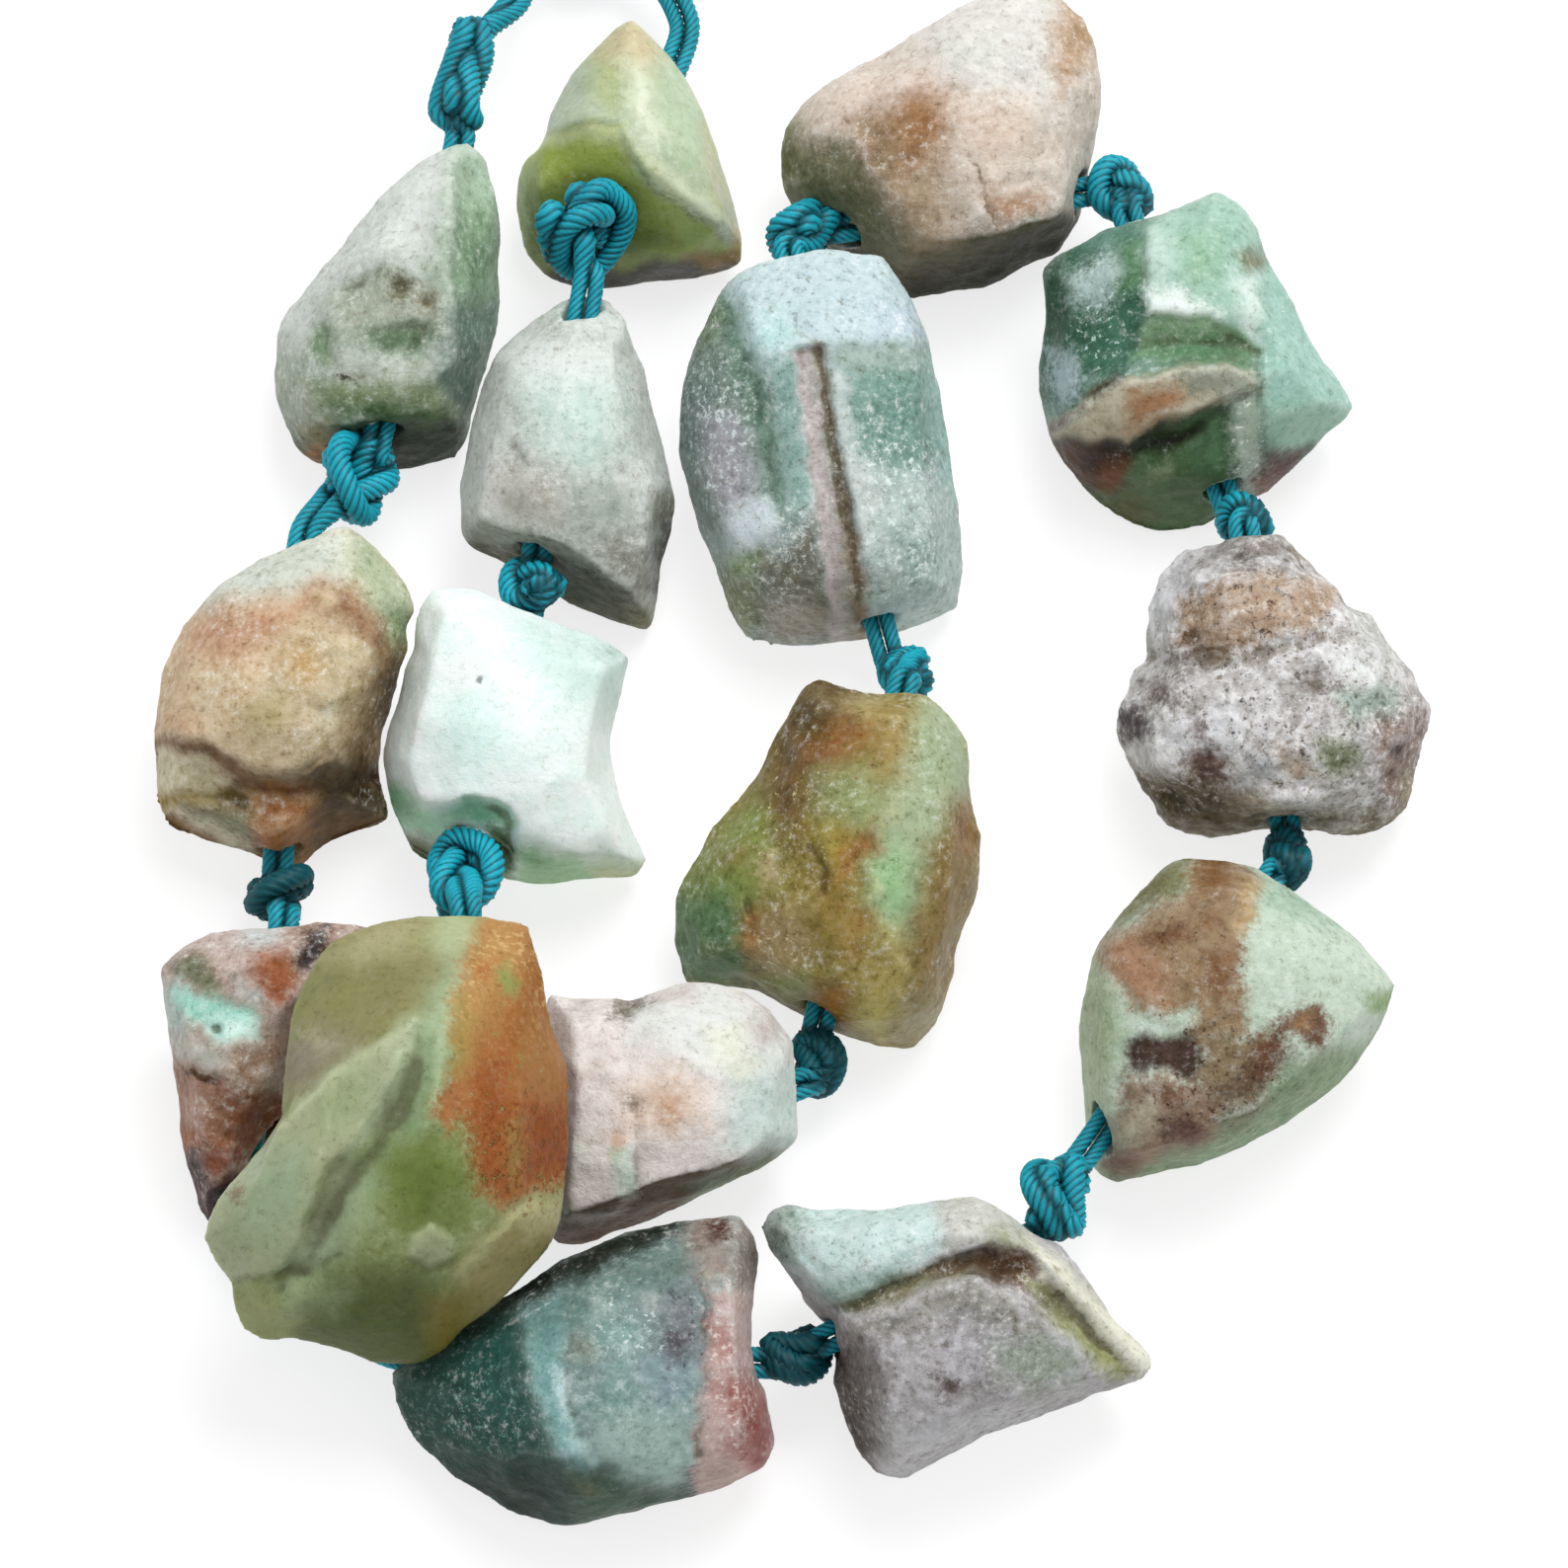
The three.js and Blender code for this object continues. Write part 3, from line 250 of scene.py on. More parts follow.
card["marks"] = [
    patch("c9cfc5", 0.95, 1.4, 0.8, -94, 40, -66, 60, -32, 66, -4, 68, 26, 79, 48, 84, 54, 134, 10, 126, -60,
        100),
    patch("e2e6dc", 0.7, 1, 0.5, 32, 108, 48, 86, 56, 96, 50, 126, 38, 124),
    patch("b6c2a6", 0.95, 1, 0.8, 49, 129, 49, 86, 60, 70, 72, 52, 80, 34, 96, 44, 100, 68, 86, 96),
    patch("7f936b", 0.85, 1, 0.5, 76, 54, 82, 33, 94, 36, 96, 54, 86, 62),
    patch("c19d84", 0.95, 1.6, 1.1, -70, 50, -46, 62, -30, 64, 6, 66, 26, 76, 16, 56, -6, 40, -30, 26, -70,
        30),
    patch("977459", 0.95, 1.2, 1, 22, 64, 32, 79, 50, 78, 66, 60, 74, 44, 80, 32, 72, 26, 60, 38, 44, 52),
    patch("d3c5a4", 0.7, 0.6, 1, 26, 73, 40, 79, 42, 70, 34, 62),
    patch("c3b599", 0.95, 1.6, 0.8, 6, 46, 30, 52, 56, 42, 64, 30, 60, 10, 46, -16, 34, -44, 10, -58, -18,
        -54, -36, -38, -28, -10, -6, 10),
    patch("d3c6a8", 0.75, 0.8, 0.5, 34, 34, 52, 42, 64, 32, 66, 22, 56, 24, 40, 24),
    patch("cba874", 0.7, 1.4, 0.5, 10, 32, 24, 36, 29, 22, 22, 9, 10, 14),
    patch("aaa06f", 0.6, 1.4, 0.5, -24, -10, 2, -2, 4, -24, -18, -28),
    patch("a79a73", 0.75, 1.2, 0.5, 30, -4, 50, 10, 60, 6, 52, -20, 36, -36),
    patch("e0dfd0", 0.5, 0.8, 1.4, 28, -8, 40, -2, 42, -16, 34, -26),
    patch("6b5534", 0.95, 1.5, 0.5, 74, 36, 89, 34, 89, 0, 72, -26, 74, -60, 86, -88, 40, -89, 20, -64, 38,
        -50, 52, -24, 62, 4),
    patch("392a16", 0.95, 1.5, 0.5, 24, -62, 40, -56, 66, -54, 76, -88, 50, -86, 30, -76),
    patch("463420", 0.8, 0.9, 0.5, 76, 14, 90, 14, 86, -10, 74, -20),
    patch("c7ac91", 0.7, 1.2, 0.5, -98, -4, -74, 0, -56, -20, -64, -32, -98, -30),
    # painted shadow under the overhanging step
    patch("735539", 0.95, 0.7, 0.5, -98, -30, -64, -29, -46, -36, -32, -50, -4, -62, 20, -62, 24, -70, -10,
        -72, -38, -59, -54, -44, -98, -38),
    patch("d2ccb4", 0.95, 0.8, 0.8, -98, -40, -56, -46, -44, -56, -34, -66, -98, -69),
    patch("948247", 0.95, 0.7, 0.5, -96, -72, -60, -65, -34, -68, -24, -78, -50, -78, -88, -82),
    patch("8b8b70", 0.95, 0.7, 1.2, -72, -83, -40, -79, -22, -84, -20, -100, -30, -108, -60, -96),
    patch("cbc4ad", 0.8, 0.6, 0.8, -86, -82, -66, -84, -30, -103, -24, -112, -46, -108),
    patch("87683f", 0.85, 0.6, 0.5, -94, -86, -78, -90, -46, -109, -50, -114, -88, -100),
    patch("ad7d56", 0.95, 0.9, 0.7, -19, -73, 6, -69, 26, -79, 24, -102, 12, -126, -6, -130, -16, -114, -18,
        -90),
    patch("6c5232", 0.95, 1, 1, 24, -80, 76, -88, 54, -106, 18, -114),
    patch("bfb79a", 0.75, 0.9, 0.8, -86, -46, -46, -50, -44, -74, -80, -70),
]
card["cuts"] = [
    slab(-0.63, 0.9, 0.6, -100, -32, -64, -32, -44, -40, -26, -58, 0, -65, 22, -64, 36, -52, 90, -60, 90,
        -140, -100, -140),
    boss(0.3, -9.9, 1.8, 1.3), groove([(-9, -7.6), (-5.6, -7.1), (-2.8, -7.6)], 0.6, 0.45),
    ridge([(-8.6, -8.4), (-5.4, -9.4), (-2.6, -10.8)], 0.5, 0.35), boss(0.4, -3.2, 2.4, 0.35),
    groove([(2.6, -1), (3.4, -3.6), (2.4, -5.4)], 0.5, 0.3),
    ridge([(3.4, 3.2), (6.2, 3.8), (6.6, 2)], 0.6, 0.35), pit(3.4, -1.2, 0.8, 0.2),
    groove([(5.2, -2), (6.4, 1), (7.4, 3.4)], 1.0, 0.4), pit(-6, -1.2, 0.8, 0.25),
]
card = STONES["nugget_03"] = {
    "at": (-38.9, -20.8, 6.5), "skin": (0.8, 0.6, 0.6), "grit": (0.8, 0.7), "wax": 0.2,
    "body": ("b39d92", "a28577"), "frost": ("ddd2cc", 0.5), "under": ("2c1a14", 0.9),
    "web": ("dcd0c8", 3.0, 0.3),
}
card["marks"] = [
    patch("c5b8b2", 0.95, 1.4, 0.9, -60, 82, -20, 104, 34, 106, 36, 86, 6, 74, -20, 76),
    patch("c9d2d2", 0.8, 0.8, 0.5, -4, 102, 26, 102, 22, 90, 2, 88),
    patch("6d7159", 0.95, 0.7, 0.8, -54, 77, -40, 83, -24, 77, -14, 65, -10, 53, -26, 52, -46, 62),
    patch("b9bbb2", 0.95, 1.4, 1, -60, 24, -20, 20, 14, 16, 0, -6, -30, -4, -54, 10),
    patch("b9cbc5", 0.9, 1, 0.5, -62, 64, -46, 64, -36, 46, -40, 26, -60, 24),
    patch("a9d9cb", 0.95, 0.6, 0.5, -49, 57, -34, 55, -18, 50, 2, 47, 15, 35, 13, 23, -2, 19, -20, 23, -32,
        32, -46, 44),
    patch("dff5ef", 0.85, 0.7, 0.5, -26, 34, -6, 38, 12, 32, 8, 23, -10, 21, -24, 26),
    patch("7da597", 0.8, 0.4, 0.5, -19, 32, -13, 32, -14, 26, -20, 27),
    patch("9fa9a6", 0.8, 0.8, 0.5, -4, 66, 20, 58, 24, 44, 8, 44, -6, 54),
    patch("9a6244", 0.95, 0.8, 1, 6, 79, 18, 86, 38, 80, 40, 64, 35, 45, 20, 48, 12, 62),
    patch("2a2424", 0.95, 0.5, 0.8, 40, 84, 46, 98, 64, 106, 62, 90, 52, 70, 42, 70),
    patch("97877f", 0.8, 0.7, 0.5, 16, 42, 34, 44, 34, 26, 18, 26),
    patch("9b7f6a", 0.95, 1.2, 1.1, 0, 16, 36, 20, 38, -22, 10, -20, -14, -6),
    patch("c9bbb0", 0.75, 0.7, 1, 8, 4, 26, 0, 30, -14, 18, -18, 10, -6),
    patch("8f6852", 0.95, 0.9, 1, -54, 4, -34, -1, -18, -10, 6, -17, 38, -20, 36, -40, 10, -56, -48, -58),
    patch("b79a8a", 0.7, 0.9, 1.3, -46, -16, -30, -14, -16, -24, -18, -40, -44, -38),
    patch("7d4726", 0.85, 1, 1.1, -4, -24, 36, -20, 34, -42, 10, -50, -6, -42),
    patch("a16a46", 0.8, 0.7, 0.9, -48, -44, -32, -44, -30, -58, -46, -59),
    patch("8a4a2c", 0.9, 0.9, 1, -32, -54, 6, -54, -6, -74, -20, -86, -26, -70),
    patch("2e1719", 0.95, 0.8, 0.8, -50, -59, -30, -60, -24, -78, -14, -90, -18, -110, -30, -126, -50, -90),
    patch("694a4c", 0.6, 0.7, 1.4, -36, -80, -26, -84, -24, -100, -32, -102),
    streak(-5, 0.5, -1.8, -0.9, 0.5, "5a3a26", 0.85),
]
card["cuts"] = [
    slab(-0.35, 0.8, 0.6, -52, 59, -18, 50, 2, 47, 15, 35, 12, 23, -20, 23, -46, 44),
    groove([(-5, 0.5), (-3, -0.3), (-1.6, -1.1)], 0.5, 0.45), pit(5, 8.4, 0.7, 0.4),
    pit(-1.6, 2.8, 0.35, 0.3), boss(1.8, -0.4, 1.2, 0.3), groove([(-2, -4.6), (0.4, -5.4)], 0.6, 0.3),
    pit(-3, -7.6, 1, 0.4),
]

# %% The cards, along the near end
card = STONES["nugget_04"] = {
    "at": (-14.6, -42.2, 7.5), "skin": (0.8, 0.5, 0.5), "grit": (0.6, 0.6), "wax": 0.3,
    "body": ("82a09a", "8ca09e"), "frost": ("cfdedb", 0.5), "under": ("1b2b22", 0.95),
    "dots": [("7fa8a2", -7, -2.5, 4.5, 3.5, 0.5), ("4c4a50", 7.4, 3, 2.4, 4, 0.5), ("e2d5d0", 11, 1, 2.2, 8,
        0.58), ("d5e2de", 3.6, 3.6, 3.4, 3, 0.5)],
}
card["marks"] = [
    patch("1f4138", 0.95, 1.6, 0.3, -150, 40, -80, 44, -40, 46, -36, 20, -32, -6, -24, -34, -12, -60, -4, -90,
        -10, -124, -80, -120, -150, -40),
    patch("2f5d55", 0.7, 2.2, 0.5, -86, 26, -44, 34, -40, -4, -30, -36, -54, -48, -80, -20),
    patch("15271e", 0.9, 2, 0.5, -100, -70, -40, -66, -12, -80, -14, -120, -60, -116),
    patch("83a8a6", 0.95, 0.7, 0.5, -39, 46, -14, 54, -9, 32, -12, 4, -6, -28, 7, -56, 4, -70, -13, -56, -25,
        -28, -33, -4),
    patch("cfe2e2", 0.85, 0.6, 0.9, -17, 2, -9, 1, -5, -16, -9, -30, -15, -16),
    patch("b9d0ce", 0.8, 0.6, 0.9, -8, -42, 2, -44, 15, -60, 10, -65, -4, -56),
    patch("cbd8d4", 0.75, 0.6, 1.4, 6, 54, 20, 59, 24, 44, 12, 38),
    patch("d9e2de", 0.8, 0.6, 1.1, 42, 56, 58, 59, 59, 45, 48, 44),
    patch("7f8576", 0.7, 0.8, 1, -8, 26, 8, 28, 14, 14, 2, 8, -8, 14),
    patch("7b7a80", 0.85, 2, 1, 54, 68, 84, 70, 93, 34, 92, -4, 84, 8, 68, 6, 54, 20),
    patch("3f3038", 0.85, 0.7, 1.2, 60, 26, 72, 27, 76, 9, 64, 8),
    patch("8a9ca3", 0.85, 1.8, 0.8, 50, 8, 82, 6, 88, -14, 76, -27, 54, -22),
    patch("a4b9b3", 0.95, 1.3, 0.5, 12, -32, 44, -24, 80, -30, 84, -54, 74, -80, 40, -80, 14, -60),
    # painted shadow cast by stones 12 and 13 along the upper edge
    patch("1b2119", 0.95, 0.8, 0.8, -56, 44, -14, 60, 14, 72, 44, 87, 70, 96, 74, 116, 20, 106, -50, 70),
    patch("6e7c70", 0.75, 1, 0.5, 16, 68, 50, 80, 76, 90, 80, 70, 54, 68),
    patch("8d8078", 0.95, 1, 0.8, 72, 116, 100, 114, 126, 114, 134, 80, 128, 50, 100, 64, 78, 76),
    patch("b7aca2", 0.6, 0.6, 1.4, 84, 74, 96, 84, 99, 60, 93, 52),
    patch("4c211a", 0.9, 0.5, 1.2, 90, 103, 104, 109, 108, 99, 94, 94),
    patch("413529", 0.85, 0.8, 0.5, 120, 110, 132, 110, 136, 74, 129, 64, 123, 86),
    patch("c9b2ae", 0.95, 0.7, 0.8, 93, 58, 129, 60, 127, 0, 134, -24, 146, -50, 130, -88, 104, -98, 84, -94,
        83, -40, 91, 0),
    patch("a8736c", 0.75, 0.9, 1.2, 93, 36, 108, 34, 106, 14, 96, 8),
    patch("a06963", 0.95, 1.4, 1, 96, -6, 129, -2, 139, -30, 140, -64, 124, -80, 109, -60, 112, -34),
    patch("7f3d38", 0.75, 1.2, 0.5, 118, -28, 134, -28, 139, -56, 128, -70, 117, -54),
    patch("a39088", 0.95, 1, 1.2, 86, -60, 108, -60, 120, -84, 102, -96, 85, -92),
    patch("3a5343", 0.95, 1.2, 0.5, -8, -70, 14, -66, 40, -82, 74, -92, 40, -106, 0, -116),
    patch("6c6c58", 0.6, 0.8, 1, 0, -78, 16, -78, 16, -90, 4, -90),
    patch("5a736d", 0.75, 2, 0.5, -36, 44, -10, 58, 30, 74, 70, 86, 70, 56, 30, 48, -10, 34, -34, 24),
    # painted shadow cast by stones 12 and 13 along the upper edge
    patch("1b2119", 0.95, 1, 0.5, -60, 46, -14, 62, 14, 74, 44, 89, 70, 98, 74, 120, -60, 120),
]
card["cuts"] = [
    ridge([(-3.9, 5), (-3.5, 1), (-2.8, -2), (-1.6, -5), (-0.4, -7.6)], 0.8, 0.4, 0.4),
    groove([(8.9, 6), (9, 0), (8.4, -6)], 0.6, 0.35), pit(9.8, 10.2, 0.7, 0.4), pit(0.3, 2, 0.7, 0.25),
    boss(12.2, -3.4, 1.6, 0.4), groove([(-0.6, 3), (-0.9, -0.6), (0.2, -4.4)], 0.6, 0.3),
    boss(3.4, 1.6, 2.6, 0.35), boss(5, -5, 2.2, 0.3),
]
card = STONES["nugget_05"] = {
    "at": (12.2, -40.1, 7.5), "skin": (0.8, 0.6, 0.7), "grit": (0.8, 0.8), "wax": 0.2,
    "body": ("b0aeb2", "a29f9f"), "frost": ("d8d6d9", 0.6), "under": ("908d8a", 0.5),
    "web": ("cfcdd2", 3.4, 0.35),
}
card["marks"] = [
    patch("cbdedb", 0.95, 1, 0.5, -150, 76, -120, 108, -12, 102, -8, 64, -30, 52, -60, 38, -84, 26, -116, 46),
    patch("8b9b92", 0.95, 1, 0.8, -150, 76, -126, 106, -106, 98, -112, 80, -122, 60, -130, 54),
    patch("c9cac2", 0.95, 0.8, 0.5, -12, 106, 24, 108, 58, 80, 54, 68, 30, 78, -6, 66),
    patch("99a07c", 0.85, 0.7, 0.5, 18, 72, 34, 82, 54, 72, 54, 64, 34, 68),
    patch("7f9c90", 0.85, 0.9, 0.5, -94, 36, -70, 44, -42, 52, -34, 46, -60, 30, -84, 24),
    # painted shade in the groove under the overhanging slab, here and in the next two patches
    patch("8d8a6a", 0.95, 0.7, 0.5, -84, 25, -54, 38, -26, 50, 6, 61, 20, 54, 0, 47, -26, 38, -56, 24),
    patch("6c4f33", 0.95, 0.7, 0.8, -20, 52, 8, 62, 36, 68, 56, 60, 60, 46, 46, 38, 26, 44, 10, 51),
    patch("43301f", 0.75, 0.8, 0.5, 24, 59, 46, 62, 56, 50, 44, 43, 28, 49),
    patch("a6a985", 0.95, 0.6, 0.5, 50, 46, 64, 46, 92, 14, 126, -20, 134, -28, 106, -24, 96, -9, 76, 7, 58,
        26),
    patch("92965f", 0.7, 0.8, 0.5, 90, 4, 106, -4, 120, -20, 104, -22, 92, -8),
    patch("e3e3d2", 0.95, 0.6, 0.5, 52, 74, 68, 66, 100, 32, 140, -4, 152, -18, 138, -29, 122, -15, 90, 19,
        63, 49),
    patch("a3a199", 0.85, 0.9, 0.8, -76, 18, -40, 28, -6, 47, 14, 49, 42, 31, 68, 14, 60, 2, 16, 26, -6, 26,
        -42, 10, -70, 2),
    patch("75746f", 0.7, 0.6, 1.2, -50, 18, -32, 22, -34, 12, -48, 9),
    patch("93a08f", 0.85, 1.4, 0.8, 30, 0, 64, 6, 90, -10, 86, -26, 56, -34, 30, -20),
    patch("5c514d", 0.85, 0.6, 1.4, -18, -23, -2, -24, 7, -33, 4, -43, -7, -40, -12, -30),
    patch("83807f", 0.7, 0.9, 1.2, 4, -30, 26, -26, 30, -44, 8, -48),
    patch("73776c", 0.6, 0.8, 1.2, 46, -36, 68, -32, 70, -44, 50, -46),
    patch("37291f", 0.95, 0.8, 0.5, -96, 4, -78, -8, -68, -30, -60, -64, -54, -100, -80, -80, -98, -30),
    patch("c5c3c4", 0.6, 0.8, 0.5, -68, -10, -58, -14, -50, -60, -48, -96, -56, -86, -62, -44),
    patch("7b7a70", 0.65, 1.4, 0.8, -20, 34, 14, 44, 50, 24, 40, 8, 0, 16),
    patch("bab9bb", 0.8, 1.8, 0.8, -50, -46, 30, -46, 80, -34, 50, -60, -10, -84, -46, -100),
    patch("4a443c", 0.65, 1, 0.5, -84, 10, -58, 0, -49, -30, -50, -80, -70, -90),
]
card["cuts"] = [
    slab(-0.7, 0.9, 0.6, -90, 24, -54, 39, -26, 51, 6, 62, 36, 69, 59, 60, 92, 16, 128, -22, 106, -26, 76, 7,
        42, 32, 14, 49, -6, 46, -40, 28, -76, 18),
    ridge([(-7.4, 1.5), (-3.8, 2.4), (-0.4, 4.3), (1.3, 4.6), (4.2, 2.9), (6.8, 1.2), (8.9, -0.2), (10.6,
        -2)], 0.5, 0.35),
    ridge([(5.9, 6.8), (9.6, 3.2), (14, -1.5)], 0.6, 0.4), pit(-0.4, -3, 0.7, 0.3), pit(-4.2, 1.5, 0.8, 0.25),
    groove([(-5.5, -6), (-3, -4.5), (-1, -5.5)], 0.5, 0.2),
    groove([(-1.2, 10), (-1, 8.4), (-0.9, 6.8)], 0.5, 0.25), boss(-2.6, -1.4, 1.8, 0.25),
    groove([(-12, 8.4), (-10.8, 6), (-9, 4)], 0.8, 0.3),
]
card = STONES["nugget_12"] = {
    "at": (-7.8, -23.3, 7.5), "skin": (0.7, 0.6, 0.6), "grit": (0.6, 0.5), "wax": 0.2,
    "body": ("e6e0dd", "dfd7d3"), "frost": ("f2efed", 0.5), "under": ("5b4c34", 0.95),
    "dots": [("8d837a", -5.5, 0, 3, 7, 0.32), ("9a8f86", 1.5, 0.5, 3, 3, 0.3)],
}
card["marks"] = [
    patch("dde0dd", 0.95, 1.6, 0.5, -40, 70, 30, 90, 88, 50, 94, -34, 40, -30, 36, 14, 0, 34, -30, 46),
    patch("cddad6", 0.9, 1.2, 0.5, 44, 24, 88, 28, 92, -34, 38, -32),
    patch("e3e5d4", 0.8, 1.2, 0.5, 22, 54, 46, 56, 60, 24, 50, 16, 28, 30),
    patch("cfc3bf", 0.7, 0.9, 0.5, -16, 80, 16, 88, 18, 76, -10, 72),
    patch("d7c2b0", 0.85, 1.6, 1, -36, 10, -4, 24, 16, 16, 18, -10, -6, -20, -34, -14),
    patch("b98f6c", 0.75, 0.7, 1, -10, 0, 0, 2, 1, -11, -9, -12),
    patch("8f867c", 0.75, 0.5, 1.4, -36, 4, -27, 3, -27, -4, -35, -3),
    patch("dcb48f", 0.8, 0.7, 0.5, -46, -22, -38, -22, -36, -36, -44, -38),
    patch("c2d4c4", 0.9, 0.6, 1, -46, -32, -31, -29, -28, -66, -40, -64, -45, -48),
    patch("d3d6cb", 0.8, 1.2, 0.5, -80, -20, -56, -20, -60, -50, -80, -50),
    patch("7d7369", 0.85, 0.5, 1.2, -49, 61, -42, 74, -26, 77, -16, 73, -30, 69, -36, 60),
    patch("b3aaa3", 0.6, 0.7, 1.2, -76, 74, -60, 74, -66, 62, -78, 62),
    patch("c9bdb8", 0.7, 0.8, 1, 50, 58, 74, 64, 74, 46, 62, 42),
    patch("8f9a82", 0.95, 0.7, 0.5, 96, -30, 50, -45, 24, -53, 6, -59, 4, -79, 40, -66, 96, -44),
    patch("59634a", 0.7, 0.6, 0.5, 92, -32, 50, -45, 24, -54, -10, -62, -10, -68, 30, -59, 88, -38),
    patch("77604f", 0.95, 0.8, 0.5, 8, -59, -24, -67, -44, -80, -86, -90, -96, -124, -50, -106, 6, -80),
    patch("d8cdc6", 0.6, 0.5, 0.5, -24, -63, -44, -76, -86, -84, -86, -89, -44, -82),
]
card["cuts"] = [
    groove([(-2.7, -1.8), (-2.8, -6.4)], 0.5, 0.4, 0.4),
    groove([(-4.8, 6.2), (-3, 6.9), (-1.6, 7.4)], 0.5, 0.4), pit(-5.4, 1.4, 0.7, 0.2),
    boss(4.6, 5.6, 1.8, 0.3), pit(-3.2, 0, 0.5, 0.2), pit(3.3, -1.7, 0.5, 0.2), boss(-3.8, -4.6, 1, 0.25),
    groove([(3.9, 1.2), (3.8, -3)], 0.6, 0.15),
]
card = STONES["nugget_13"] = {
    "at": (-27.4, -25.8, 13), "skin": (0.6, 0.3, 0.25), "grit": (0.12, 0.5), "wax": 0.5,
    "body": ("8f9a6e", "7b8552"), "frost": ("c2c9a8", 0.35), "under": ("4b5220", 0.8),
    "dots": [("6f3419", 9, -0.6, 4.6, 5, 0.62), ("d2b684", 7.4, 9.6, 3.6, 6.6, 0.6), ("80421f", 7.4, 6, 3, 8,
        0.56), ("8a9a58", 8, 3, 5, 9, 0.4)],
}
